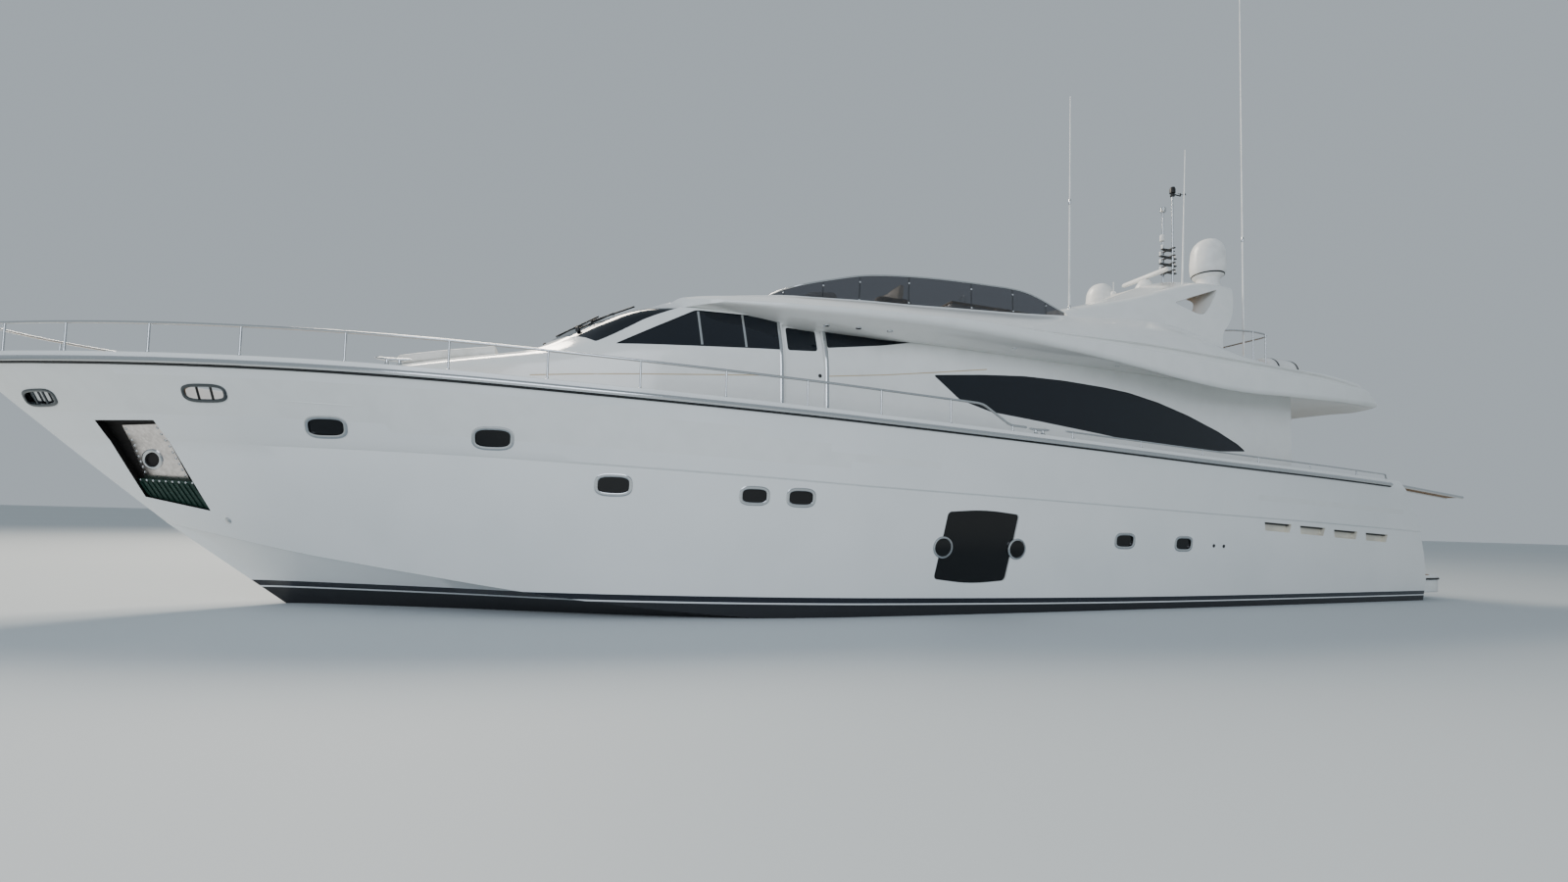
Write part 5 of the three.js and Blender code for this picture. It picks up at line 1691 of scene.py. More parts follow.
    def hole(self, low: Point, high: Point) -> Object:
        """Makes a cutter with a teak floor and gelcoat sides.

        Args:
            low: Its lowest corner.
            high: Its highest corner.

        Returns:
            The cutter.
        """
        return floored(block("hole", low, high, self.finishes.gelcoat), self.finishes.teak)

    def let_in(self, outlines: Sequence[Outline], depth: float, material: Material) -> list[Object]:
        """Makes the cutters for recesses in both sides.

        Args:
            outlines: The outline of each as X and Z.
            depth: How deep they are.
            material: The finish of their floors and walls.

        Returns:
            The cutters.
        """
        port = joined("recesses", [prism("recess", line, 1, *self.recess_y, material) for line in outlines])
        carved(port, [self.skin("inside", depth, self.blunt_station)])
        covered_in(port, material)
        return [port, mirrored_copy(port, "recesses")]

    def touch(self, x: float, z: float, depth: float = 0.0) -> tuple[Vector, Vector]:
        """Gives a point of the port topsides.

        Args:
            x: The place along the boat.
            z: The height.
            depth: How far inside the skin the point lies, across the boat.

        Returns:
            The point and the skin's outward normal there.
        """
        hit, normal, _, _ = self.fair.tree.ray_cast(Vector((x, 10, z)), Vector((0, -1, 0)))
        if hit is None:
            return Vector((x, self.side_y(x, z) - depth, z)), Vector((0, 1, 0))
        return Vector((hit.x, hit.y - depth, hit.z)), normal if normal.y > 0 else -normal

    def layer(
        self, name: str, near: float, far: float, material: Material, outlines: Sequence[Outline]
    ) -> Object:
        """Makes plates that lie between two depths inside the port topsides.

        Args:
            name: The plates' name.
            near: The depth of their outside.
            far: The depth of their inside.
            material: The finish.
            outlines: The outline of each as X and Z.

        Returns:
            The plates as one object.
        """
        tool = joined("outlines", [prism("outline", line, 1, *self.recess_y, material) for line in outlines])
        made = covered_in(self.skin(name, near, self.blunt_station), material)
        fair = FairSkin(made)
        carved(made, [self.skin("inside", far, self.blunt_station)])
        carved(made, [tool], "INTERSECT")
        return fair.put_on(covered_in(made, material))

    def framed(
        self, name: str, outline: Outline, half: float, out: float, material: Material, depth: float = 0.0
    ) -> Object:
        """Makes a frame that follows a closed outline on the port topsides.

        Args:
            name: The frame's name.
            outline: The outline as X and Z.
            half: Half the frame's breadth.
            out: How far it stands out.
            material: The finish.
            depth: How far inside the skin it starts.

        Returns:
            The frame.
        """
        rings = []
        count = len(outline)
        for k, (x, z) in enumerate(outline):
            ahead = Vector(outline[(k + 1) % count]) - Vector(outline[k - 1])
            place, normal = self.touch(x, z, depth)
            away = Vector((ahead.y, 0, -ahead.x))
            away = (away - normal * away.dot(normal)).normalized()
            cut = [
                (-half, -0.012), (-half, out * 0.6), (-half * 0.5, out), (half * 0.5, out),
                (half, out * 0.6), (half, -0.012)
            ]
            rings.append([place + away * u + normal * v for u, v in cut])
        return softened(ring_body(name, rings, material), 40)

    def windows(self) -> None:
        """Makes the big hull window with its two round ports, and the oval portholes with their frames."""
        glass, steel = self.finishes.black_glass, self.finishes.steel
        panes = [inset_line(self.window_line(), 0.004)] + [
            inset_line(p.line(), 0.004) for p in self.portholes
        ]
        both_sides(self.layer("hull_glass", 0.022, 0.034, glass, panes), "glass")
        frames = [self.framed("frame", p.line(), 0.022, 0.010, steel) for p in self.portholes]
        for x, z in self.round_ports:
            place, normal = self.touch(x, z)
            rim = [
                (0, -0.035), (0.165, -0.035), (0.172, 0.006), (0.165, 0.016), (0.150, 0.018),
                (0.146, 0.010), (0, 0.010)
            ]
            disc = [(0, 0.0), (0.140, 0.0), (0.140, 0.012), (0.125, 0.0145), (0, 0.016)]
            frames.append(lathe("rim", rim, place, steel, 48, normal))
            frames.append(lathe("disc", disc, place, glass, 48, normal))
        both_sides(joined("porthole_frames", frames), "steel")

    def window_line(self) -> list[tuple[float, float]]:
        """Gives the outline of the big hull window, bowed at its head and its foot.

        Returns:
            The outline as X and Z.
        """
        return soft_outline(metres(self.window_hole), [0.07, 0.6, 0.07, 0.07, 0.6, 0.07], 6)

    def vent_shade_strips(self) -> None:
        """Makes dark strips along the upper edges of the engine-room vents: painted shade where the top of
        each recess lies in shadow.
        """
        shade_strips = []
        for x, z in metres(self.vents):
            start, end = x - 0.01, x - 0.768
            shade_strips.append([(start, z - 0.006), (end, z - 0.036), (end, z - 0.060), (start, z - 0.030)])
        both_sides(self.layer("vent_top_painted_shade", 0.045, 0.0895, self.finishes.dark, shade_strips), "dark")

    def pockets(self) -> None:
        """Makes the polished anchor plates with their hawse holes, and the ribbed rubber pads below them."""
        steel, rubber = self.finishes.steel, self.finishes.rubber
        plate_line = metres(self.plate)
        hawse = [(12.372 + 0.122 * math.cos(a) - 0.02 * math.sin(a), 1.993 + 0.112 * math.sin(a))
                 for a in full_turn(28)]
        plate = self.layer("anchor_plate", 0.16, 0.1895, self.finishes.plate, [plate_line])
        # The hawse hole's walls are near-black: painted shade.
        carved(plate, [prism("hawse", hawse, 1, *self.recess_y, self.finishes.hollow_shade)])
        softened(plate, 40)
        lip = self.framed("lip", hawse, 0.022, 0.02, steel, 0.162)
        both_sides(joined("anchor_plate_and_lip", [plate, lip]), "steel", "anchor_plate")
        pad = [(12.615, 1.742), (11.815, 1.708), (11.655, 1.338), (12.530, 1.502)]
        (ax, az), (bx, bz), (cx, cz), (dx, dz) = pad
        base = self.layer("pad", 0.075, 0.1895, rubber, [pad])
        ribs = []
        for k in range(11):
            u, v = (k + 0.2) / 11, (k + 0.75) / 11
            top = [(ax + (bx - ax) * t, az + (bz - az) * t - 0.045) for t in (u, v)]
            foot = [(dx + (cx - dx) * t, dz + (cz - dz) * t + 0.01) for t in (v, u)]
            ribs.append(top + foot)
        both_sides(joined("anchor_rub_pad", [base, self.layer("ribs", 0.055, 0.076, rubber, ribs)]), "dark")
        bolts = [
            self.touch(ax + (bx - ax) * t, az + (bz - az) * t - 0.022, 0.075)
            for t in (0.04 + 0.115 * k for k in range(9))
        ]
        for (x0, z0), (x1, z1) in ((plate_line[0], plate_line[3]), (plate_line[1], plate_line[2])):
            lean = 0.03 if x0 > 12.5 else -0.03
            for k in range(9):
                t = 0.05 + 0.64 * k / 8
                bolts.append(self.touch(x0 + (x1 - x0) * t - lean, z0 + (z1 - z0) * t, 0.16))
        both_sides(Bolts(steel).set_on("anchor_bolts", bolts, 0.019), "steel")

    def lead_cutters(self) -> list[Object]:
        """Makes the cutters for the fairleads: one is let in, the aft one goes through the bulwark.

        Returns:
            The cutters of both sides.
        """
        port = []
        for lead, depth in zip(self.leads, self.lead_depths):
            line = lead.line()
            inner = [self.touch(x, z, depth)[0] for x, z in line]
            outer = [Vector((x, 5.0, z)) for x, z in line]
            port.append(skinned("lead", [inner, outer], self.finishes.steel))
        both = joined("leads", port)
        return [both, mirrored_copy(both, "leads")]

    def fairleads(self) -> None:
        """Makes the fairleads in the bow: oval frames with two upright bars, and the eye below them."""
        steel = self.finishes.steel
        pieces = []
        # The frames, and the forward lead's bars, are a darker steel: painted shade on polished rims.
        for lead, bar in zip(self.leads, (self.finishes.shaded_steel, self.finishes.dark)):
            line = lead.line()
            pieces.append(self.framed("lead", line, 0.020, 0.015, self.finishes.shaded_steel))
            for part in (-1, 1):
                x = lead.x + part * lead.wide / 6
                ends = [self.touch(x, lead.z + s * lead.high * 0.49, 0.014)[0] for s in (-1, 1)]
                pieces.append(tube("bar", ends, 0.013, bar, 12))
        eye, normal = self.touch(11.42, 1.20)
        pieces.append(
            lathe(
                "eye", [(0, -0.01), (0.045, -0.01), (0.045, 0.006), (0.03, 0.016), (0, 0.02)], eye, steel,
                24, normal
            )
        )
        for x, z in ((-4.09, 1.135), (-4.35, 1.13)):
            place, normal = self.touch(x, z)
            pieces.append(
                lathe(
                    "outlet",
                    [(0, -0.01), (0.03, -0.01), (0.032, 0.004), (0.022, 0.009), (0.018, 0.002), (0, 0.002)],
                                place, self.finishes.dark, 24, normal))
        both_sides(joined("fairleads_and_outlets", pieces), "steel")

    def rub_rail(self) -> None:
        """Makes the half-round stainless rub rail round the gunwale, over a black gasket."""
        for name, cut, material, node in (
            (
                "stainless_rub_rail",
                (
                    (-0.03, 0.006), (0.030, 0.008), (0.050, 0.016), (0.059, 0.034), (0.059, 0.050),
                    (0.050, 0.068),
                                    (0.036, 0.076), (0.034, 0.080), (0.024, 0.084), (-0.03, 0.084)),
                                    self.finishes.steel, "rub_rail"),
            (
                "rub_rail_gasket",
                ((-0.03, -0.012), (0.008, -0.012), (0.026, -0.004), (0.028, 0.0055), (-0.03, 0.0055)),
             self.finishes.rubber_black, ""),
        ):
            keys = [k for k in spread([row[0] for row in self.table.rows], 6) if k > -0.9] + [1.0]
            side = []
            for s in sorted(set(keys)):
                x, y, z = self.x(s, "sheer"), self.table.at(s, "sheer_y"), self.table.at(s, "sheer_z")
                forward = min(max((s - 0.96) / 0.04, 0.0), 1.0)
                side.append([(x + out * forward, y + out * (1 - 0.3 * forward), z + up) for out, up in cut])
            other = [[(x, -y, z) for x, y, z in ring] for ring in reversed(side)]
            rail = softened(skinned(name, side + other, material), 40)
            finished(rail, Body.BOAT, "steel" if node else "dark", *([node] if node else []))

    def underwater(self) -> None:
        """Makes the shaft logs and the two-armed shaft brackets."""
        slope = math.atan2(SHAFT_RISE, SHAFT_RUN)
        along = Vector((math.cos(slope), 0, math.sin(slope)))
        start_x, shaft_y, start_z = SHAFT_START
        at = lambda x: Vector((x, shaft_y, start_z + (x - start_x) * SHAFT_RISE / SHAFT_RUN))
        bronze = self.finishes.bronze
        pieces = []
        ring = [
            (0.046, 0), (0.085, 0), (0.095, 0.02), (0.095, 0.28), (0.085, 0.30), (0.046, 0.30), (0.046, 0)
        ]
        pieces.append(hollow_lathe("bearing", ring, at(-9.38), bronze, along))
        casing = [(0.046, 0), (0.07, 0), (0.10, 0.06), (0.11, 0.16), (0.11, 1.0), (0.046, 1.0), (0.046, 0)]
        pieces.append(hollow_lathe("log", casing, at(-6.1), bronze, along))
        for out, top in ((-0.26, -0.50), (0.26, -0.42)):
            foot = at(-9.25) + Vector((0, out * 0.25, 0.07))
            head = Vector((-9.21, shaft_y + out, top))
            rings = []
            for k in range(7):
                middle = foot.lerp(head, k / 6)
                chord, thick = 0.085 - 0.02 * k / 6, 0.022
                rings.append(
                    [middle + Vector((chord * math.cos(a), thick * math.sin(a), 0)) for a in full_turn(16)]
                )
            pieces.append(softened(skinned("arm", rings, bronze), 40))
        both_sides(joined("shaft_bracket_and_log", pieces), "bronze")

    def cheeks(self) -> None:
        """Makes the two cheeks that hold the gangway's pivot in the port quarter."""
        pieces = []
        for y in (2.43, 2.55):
            line = soft_outline([(-9.6, 2.0), (-9.4, 2.0), (-9.4, 2.6), (-9.6, 2.6)], [0, 0, 0.09, 0.09], 8)
            cheek = prism("cheek", line, 1, y - 0.02, y + 0.02, self.finishes.steel)
            hole = [(-9.5 + 0.031 * math.cos(a), 2.56 + 0.031 * math.sin(a)) for a in full_turn(24)]
            carved(cheek, [prism("hole", hole, 1, y - 0.1, y + 0.1, self.finishes.steel)])
            pieces.append(softened(cheek, 35))
        fixed("gangway_cheeks", pieces, "steel")

    def cleats(self) -> None:
        """Makes the four mooring cleats on the gunwale, each with two feet and a bar with raised ends."""
        pieces = []
        steel = self.finishes.steel
        for x in (9.23, -0.01):
            y, cap, _ = self.gunwale(x)
            y -= 0.075
            slope = (self.gunwale(x + 0.2)[0] - self.gunwale(x - 0.2)[0]) / 0.4
            points = []
            for k in range(13):
                t = k / 6 - 1
                points.append(Vector((x + 0.21 * t, y + 0.21 * t * slope, cap + 0.074 + 0.014 * t * t)))
            rings = []
            for k, point in enumerate(points):
                t = abs(k / 6 - 1)
                reach = 0.021 * math.sqrt(max(1 - t**4, 0.04))
                rings.append(
                    [point + Vector((0, reach * math.cos(a), reach * math.sin(a))) for a in full_turn(16)]
                )
            pieces.append(softened(skinned("bar", rings, steel), 40))
            for dx in (-0.07, 0.07):
                foot = (x + dx, y + dx * slope, cap - 0.002)
                profile = [
                    (0, 0), (0.042, 0), (0.044, 0.008), (0.030, 0.018), (0.022, 0.035), (0.020, 0.07),
                    (0, 0.07)
                ]
                pieces.append(lathe("foot", profile, foot, steel, 24))
        both_sides(joined("mooring_cleats", pieces), "steel")

    def hatch_frame(self) -> None:
        """Makes the raised frame of the foredeck hatch and the sockets of its hinge."""
        deck = self.foredeck_z
        white = self.finishes.gelcoat
        aft, fore, half, frame_wide = 11.2, 11.8, 0.32, 0.05
        outer = block("hatch_coaming", (aft, -half, deck - 0.06), (fore, half, deck + 0.095), white, 0.012)
        # The walls of the hatch's opening are near-black: painted shade.
        carved(
            outer,
            [
                block(
                    "hole", (aft + frame_wide, -half + frame_wide, deck - 0.04),
                    (fore - frame_wide, half - frame_wide, 4), self.finishes.hollow_shade
                )
            ]
        )
        pieces = [softened(outer, 35)]
        for y in (-0.17, 0.17):
            pieces.append(
                block(
                    "knuckle", (aft - 0.04, y - 0.03, deck - 0.02), (aft - 0.034, y + 0.03, deck + 0.112),
                    self.finishes.steel, 0.002
                )
            )
        fixed("foredeck_hatch_coaming", pieces, "gelcoat")

    def build(self) -> None:
        """Makes the hull that stands for the CAD one, and everything that is fixed to it."""
        hull = self.skin("topsides_and_bottom")
        self.paint(hull)
        self.fair = FairSkin(hull)
        white = self.finishes.gelcoat
        past = [(-40, 0.5), (-40, 6), (-9.30, 6), (-9.30, 2.68)]
        tools = [prism("stern", list(self.stern) + past, 1, -5, 5, white)]
        tools += [self.hole((-9.15, -2.56, self.cockpit_sole_z), (-6.7, 2.56, 5))]
        tools += [self.hole((-7.01, -2.15, self.cockpit_sole_z), (1.5, 2.15, 5))]
        tools += self.stairs()
        tools += [block("garage", (-40, -1.5, self.platform_z), (-7.6, 1.5, 1.56), white)]
        tools += [block("engine_room", (-7.7, -1.7, -0.25), (-3.6, 1.7, 1.5), white)]
        vents = [[(x + dx, z + dz) for dx, dz in metres(self.vent)] for x, z in metres(self.vents)]
        tools += self.let_in(vents, 0.09, self.finishes.cream)
        tools += self.let_in([self.window_line()] + [p.line() for p in self.portholes], 0.04, white)
        # The anchor pockets' walls and floors are near-black: painted shade in the deep recess.
        tools += self.let_in([metres(self.pocket)], 0.19, self.finishes.hollow_shade)
        tools += self.lead_cutters()
        carved(hull, tools)
        self.fair.put_on(hull)
        finished(hull, Body.BOAT, "gelcoat", "hull")
        for part in (
            self.windows, self.vent_shade_strips, self.pockets, self.fairleads, self.rub_rail, self.underwater,
            self.cheeks, self.cleats,
            self.hatch_frame,
        ):
            part()


def lathe(
    name: str, profile: Outline, place: Point, material: Material, sides: int = 48, axis: Point = (0, 0, 1)
) -> Object:
    """Makes a turned body.

    Args:
        name: The body's name.
        profile: Radius and height of each point, from the foot up.
        place: Where its foot is.
        material: The finish.
        sides: How many sides it has.
        axis: The way that its height runs.

    Returns:
        The body.
    """
    turn = Vector((0, 0, 1)).rotation_difference(Vector(axis))
    rings = []
    for radius, height in profile:
        reach = max(radius, 1e-5)
        ring = []
        for angle in full_turn(sides):
            ring.append(
                Vector(place) + turn @ Vector((reach * math.cos(angle), reach * math.sin(angle), height))
            )
        rings.append(ring)
    return softened(skinned(name, rings, material), 35)


def tube(
    name: str, path: Sequence[Point], radius: float, material: Material, sides: int = 14,
    tip: float | None = None
) -> Object:
    """Makes a round tube along a path.

    Args:
        name: The tube's name.
        path: Its points.
        radius: Its radius.
        material: The finish.
        sides: How many sides it has.
        tip: The radius at its end, where it tapers.

    Returns:
        The tube.
    """
    points = [Vector(p) for p in path]
    headings = []
    for i, point in enumerate(points):
        before = (point - points[max(i - 1, 0)]).normalized()
        after = (points[min(i + 1, len(points) - 1)] - point).normalized()
        headings.append((before + after).normalized())
    side = headings[0].orthogonal().normalized()
    rings = []
    for i, (point, heading) in enumerate(zip(points, headings)):
        side = (side - heading * side.dot(heading)).normalized()
        other = heading.cross(side)
        reach = radius if tip is None else radius + (tip - radius) * i / (len(points) - 1)
        rings.append([
            point + side * (reach * math.cos(a)) + other * (reach * math.sin(a)) for a in full_turn(sides)
        ])
    return softened(skinned(name, rings, material), 40)


def inset_outline(outline: Outline, gap: float) -> list[Vector]:
    """Draws an outline in by a gap on all its edges.

    Args:
        outline: The corners.
        gap: How far.

    Returns:
        The corners of the smaller outline.
    """
    corners = [Vector((p[0], p[1])) for p in outline]
    count = len(corners)
    area = sum(
        corners[i].x * corners[(i + 1) % count].y - corners[(i + 1) % count].x * corners[i].y
        for i in range(count)
    )
    turn = math.copysign(1.0, area)

    def inward(start: Vector, end: Vector) -> Vector:
        """Gives the inward normal of an edge.

        Args:
            start: Its first corner.
            end: Its last corner.

        Returns:
            The normal.
        """
        return Vector((start.y - end.y, end.x - start.x)).normalized() * turn

    out = []
    for i, corner in enumerate(corners):
        before = inward(corners[i - 1], corner)
        after = inward(corner, corners[(i + 1) % count])
        out.append(corner + (before + after) * (gap / max(1 + before.dot(after), 0.3)))
    return out


def metres(points: Outline) -> list[tuple[float, ...]]:
    """Turns millimetres to metres.

    Args:
        points: The points.

    Returns:
        The points in metres.
    """
    return [tuple(c * MM for c in p) for p in points]


@dataclass
class House:
    """Coachroof, pilothouse and saloon: a hollow moulding with its windows cut, and their glass."""

    finishes: Finishes
    table: Table = Table(
        ("x", "base_y", "sill_y", "sill_z", "eave_y", "eave_z", "shoulder_z", "crown"),
        (
            (10750, 420, 330, 3060, 220, 3120, 3135, 3150),
            (10300, 900, 800, 3200, 520, 3310, 3325, 3350),
            (9600, 1300, 1180, 3330, 880, 3450, 3475, 3520),
            (8700, 1650, 1500, 3470, 1200, 3600, 3630, 3690),
            (8100, 1850, 1690, 3560, 1400, 3680, 3715, 3780),
            (7750, 1940, 1790, 3610, 1510, 3730, 3780, 3860),
            (7400, 2030, 1880, 3655, 1600, 3800, 3900, 4160),
            (7100, 2090, 1955, 3700, 1680, 3940, 4060, 4380),
            (6800, 2140, 2020, 3745, 1760, 4110, 4230, 4530),
            (6450, 2190, 2070, 3785, 1820, 4300, 4410, 4630),
            (6100, 2240, 2120, 3815, 1870, 4440, 4530, 4700),
            (5600, 2290, 2170, 3845, 1920, 4540, 4590, 4700),
            (5200, 2330, 2210, 3870, 1950, 4565, 4595, 4660),
            (4300, 2400, 2290, 3920, 2040, 4565, 4560, 4560),
            (3950, 2400, 2290, 3920, 2040, 4565, 4470, 4470),
            (2500, 2400, 2290, 3920, 2040, 4565, 4470, 4470),
            (2350, 2400, 2290, 3920, 2040, 4565, 4470, 4470),
            (1500, 2450, 2400, 3950, 2250, 4510, 4450, 4450),
            (0, 2450, 2440, 3850, 2400, 4400, 4420, 4420),
            (-1500, 2450, 2445, 3750, 2430, 4330, 4370, 4390),
            (-4000, 2450, 2450, 3650, 2440, 4300, 4340, 4360),
            (-7000, 2450, 2450, 3650, 2440, 4300, 4340, 4360),
        ),
    )
    wall: float = 0.05
    base_z: float = 2.0
    side_window: Outline = ((6560, 3860), (5390, 4520), (4150, 4520), (4095, 3985), (5330, 3925))
    quarter_window: Outline = (
        (3350, 4514), (1980, 4490), (1305, 4461), (1990, 4342), (2700, 4218), (3340, 4112)
    )
    saloon_window: Outline = (
        (1530, 3830), (560, 3925), (-250, 3980), (-1110, 3985), (-2020, 3950), (-2600, 3905), (-3320, 3785),
        (-4080, 3600), (-4880, 3350), (-5430, 3130), (-5650, 3000), (-4980, 2960), (-4030, 2985),
        (-2580, 3030),
        (-1880, 3100), (-580, 3220), (430, 3305), (1035, 3458),
    )
    screen: Outline = (
        (7700, 0), (7620, 700), (7400, 1200), (7120, 1600), (6850, 1900), (6780, 1920), (5620, 1920),
        (5560, 1800),
        (5600, 1720), (5900, 1400), (6150, 1000), (6300, 500), (6350, 0),
    )
    door: tuple[float, float, float, float] = (3.40, 4.08, 2.48, 4.45)

    def section(self, x: float, inset: float = 0.0, deeper: float = 0.0) -> list[Vector]:
        """Gives the half section at a place along the boat, from the middle of its foot to the roof's middle.

        Args:
            x: The place.
            inset: How far inside the skin it lies.
            deeper: How much lower its foot is.

        Returns:
            The points.
        """
        at = lambda name: self.table.at(x, name)
        nose = min(max((x - 10.45) / 0.3, 0.0), 1.0)
        narrow = 0.5 + 0.5 * math.sqrt(max(0.0, 1 - nose * nose))
        low = lambda z: 2.85 + (z - 2.85) * narrow if z > 2.85 else z
        half = lambda name: max(at(name) * narrow - inset, 0.02)
        corners = [
            (x, 0, self.base_z - deeper), (x, half("base_y"), self.base_z - deeper),
            (x, half("sill_y"), low(at("sill_z")) - inset * 0.3),
            (x, half("eave_y"), low(at("eave_z")) - inset * 0.8),
            (x, half("eave_y") * 0.92, low(at("shoulder_z")) - inset),
            (x, half("eave_y") * 0.45, low(at("crown")) - inset - 0.004),
            (x, 0, low(at("crown")) - inset),
        ]
        wide = 0.10 + 0.14 * min(max((x - 5.6) / 2, 0.0), 1.0)
        return rounded(corners, (0, 0, 0.22, wide * 0.6, wide, 0.3, 0), 5)

    def skin(self, name: str, material: Material, inset: float = 0.0, deeper: float = 0.0) -> Object:
        """Makes the whole moulding as a solid, before anything is cut in it.

        Args:
            name: The body's name.
            material: The finish.
            inset: How far inside the skin it lies.
            deeper: How much lower its foot is, and how much farther aft it reaches.

        Returns:
            The body.
        """
        keys = [row[0] * MM for row in self.table.rows]
        places = [10.75, 10.74, 10.72, 10.68, 10.62, 10.55, 10.45] + spread(keys[1:], 5)
        rings = []
        for x in places:
            ring = self.section(x, inset, deeper)
            if inset > 0 and x > 10.5:
                ring = [Vector((p.x - inset, p.y, p.z)) for p in ring]
            if deeper > 0 and x == places[-1]:
                ring = [Vector((p.x - deeper, p.y, p.z)) for p in ring]
            rings.append(mirrored_ring(ring))
        return skinned(name, rings, material)

    def wall_y(self, x: float, z: float) -> float:
        """Gives the half-breadth of the outer wall at a place.

        Args:
            x: The place along the boat.
            z: The height.

        Returns:
            The half-breadth.
        """
        line = self.section(x)[1:]
        for a, b in zip(line, line[1:]):
            if a.z <= z <= b.z:
                return a.lerp(b, (z - a.z) / max(b.z - a.z, TINY)).y
        return line[len(line) // 2].y

    def window_prism(self, outline: Outline, radius: float, gap: float, material: Material) -> Object:
        """Makes the cutter for a window in the port wall.

        Args:
            outline: The window as X and Z in millimetres.
            radius: The radius of its corners.
            gap: How far the outline is drawn in.
            material: The finish of the cut.

        Returns:
            The cutter, which leaves the roof inboard of the eaves alone.
        """
        corners = metres(outline)
        line = soft_outline(corners, [radius] * len(corners))
        shape = inset_line(line, gap) if gap else line
        made = prism("window", shape, 1, 1.0, 4.0, material)
        keys = [row[0] * MM for row in self.table.rows]
        zone = [(x, self.table.at(x, "eave_y") - 0.05) for x in keys] + [(-7.0, 5.0), (10.75, 5.0)]
        return carved(made, [prism("zone", zone, 2, 0, 9, material)], "INTERSECT")

    def screen_prism(self, gap: float, material: Material) -> Object:
        """Makes the cutter for the windscreen.

        Args:
            gap: How far its outline is drawn in.
            material: The finish of the cut.

        Returns:
            The cutter.
        """
        half = metres(self.screen)
        ring = half + [(x, -y) for x, y in reversed(half[1:-1])]
        line = soft_outline(ring, [0.25] * len(ring))
        shape = inset_line(line, gap) if gap else line
        return prism("screen", shape, 2, 3.7, 6, material)

    def shell(self) -> Object:
        """Makes the moulding that stands for the three CAD ones."""
        seal = self.finishes.rubber_black
        house = self.skin("superstructure", self.finishes.gelcoat)
        fair = FairSkin(house, 22)
        # The cabin's inside is lined near-black: painted shade.
        carved(house, [self.skin("lining", self.finishes.hollow_shade, self.wall, 0.1)])
        tools = []
        for outline, radius in (
            (self.side_window, 0.05), (self.quarter_window, 0.03), (self.saloon_window, 0.06)
        ):
            port = self.window_prism(outline, radius, 0.0, seal)
            tools += [port, mirrored_copy(port, "window")]
        aft, fore, low, high = self.door
        door = soft_outline([(aft, low), (fore, low), (fore, high), (aft, high)], [0.02, 0.02, 0.08, 0.08], 5)
        port = prism("door", door, 1, 1.8, 5, self.finishes.gelcoat)
        tools += [port, mirrored_copy(port, "door"), self.screen_prism(0.0, seal)]
        carved(house, tools)
        fair.put_on(house)
        return finished(house, Body.BOAT, "gelcoat", "coachroof", "pilothouse", "deckhouse")

    def glass(self) -> None:
        """Makes every pane, set a little inside its opening."""
        pane = self.finishes.glass
        layer = self.skin("glass_layer", pane, 0.012)
        fair = FairSkin(layer, 22)
        carved(layer, [self.skin("glass_inside", pane, 0.028, 0.1)])
        jobs = [
            ("side_pane", self.window_prism(self.side_window, 0.05, 0.0004, pane), "pilothouse_glass"),
            ("quarter_pane", self.window_prism(self.quarter_window, 0.03, 0.0004, pane), "quarter_glass"),
            ("saloon_pane", self.window_prism(self.saloon_window, 0.06, 0.0004, pane), "saloon_glass"),
        ]
        for name, tool, node in jobs:
            port = bpy.data.objects.new(f"{name}_port", layer.data.copy())
            bpy.context.scene.collection.objects.link(port)
            carved(port, [tool], "INTERSECT")
            fair.put_on(port)
            other = mirrored_copy(port, f"{name}_starboard")
            softened(other, 30)
            finished(port, Body.BOAT, "glass", f"{node}_port")
            finished(other, Body.BOAT, "glass", f"{node}_starboard")
        carved(layer, [self.screen_prism(0.0004, pane)], "INTERSECT")
        fair.put_on(layer)
        layer.name = "windscreen_pane"
        finished(layer, Body.BOAT, "glass", "windscreen")

    def bar(self, name: str, line: Outline, half: float, out: float, material: Material) -> Object:
        """Makes a flat bar on the port wall.

        Args:
            name: The bar's name.
            line: Its middle line as X and Z in metres.
            half: Half its breadth.
            out: How far it stands out from the wall.
            material: The finish.

        Returns:
            The bar.
        """
        rings = []
        count = 14
        for (ax, az), (bx, bz) in zip(line, line[1:]):
            for k in range(count + 1):
                x, z = ax + (bx - ax) * k / count, az + (bz - az) * k / count
                across = Vector((-(bz - az), bx - ax)).normalized() * half
                one, two = (x + across.x, z + across.y), (x - across.x, z - across.y)
                y_one, y_two = self.wall_y(*one), self.wall_y(*two)
                ring = [(one[0], y_one - 0.03, one[1]), (one[0], y_one + out * 0.5, one[1])]
                ring += [
                    ((3 * one[0] + two[0]) / 4, (3 * y_one + y_two) / 4 + out, (3 * one[1] + two[1]) / 4)
                ]
                ring += [
                    ((one[0] + 3 * two[0]) / 4, (y_one + 3 * y_two) / 4 + out, (one[1] + 3 * two[1]) / 4)
                ]
                ring += [(two[0], y_two + out * 0.5, two[1]), (two[0], y_two - 0.03, two[1])]
                rings.append(ring)
        return softened(skinned(name, rings, material), 40)

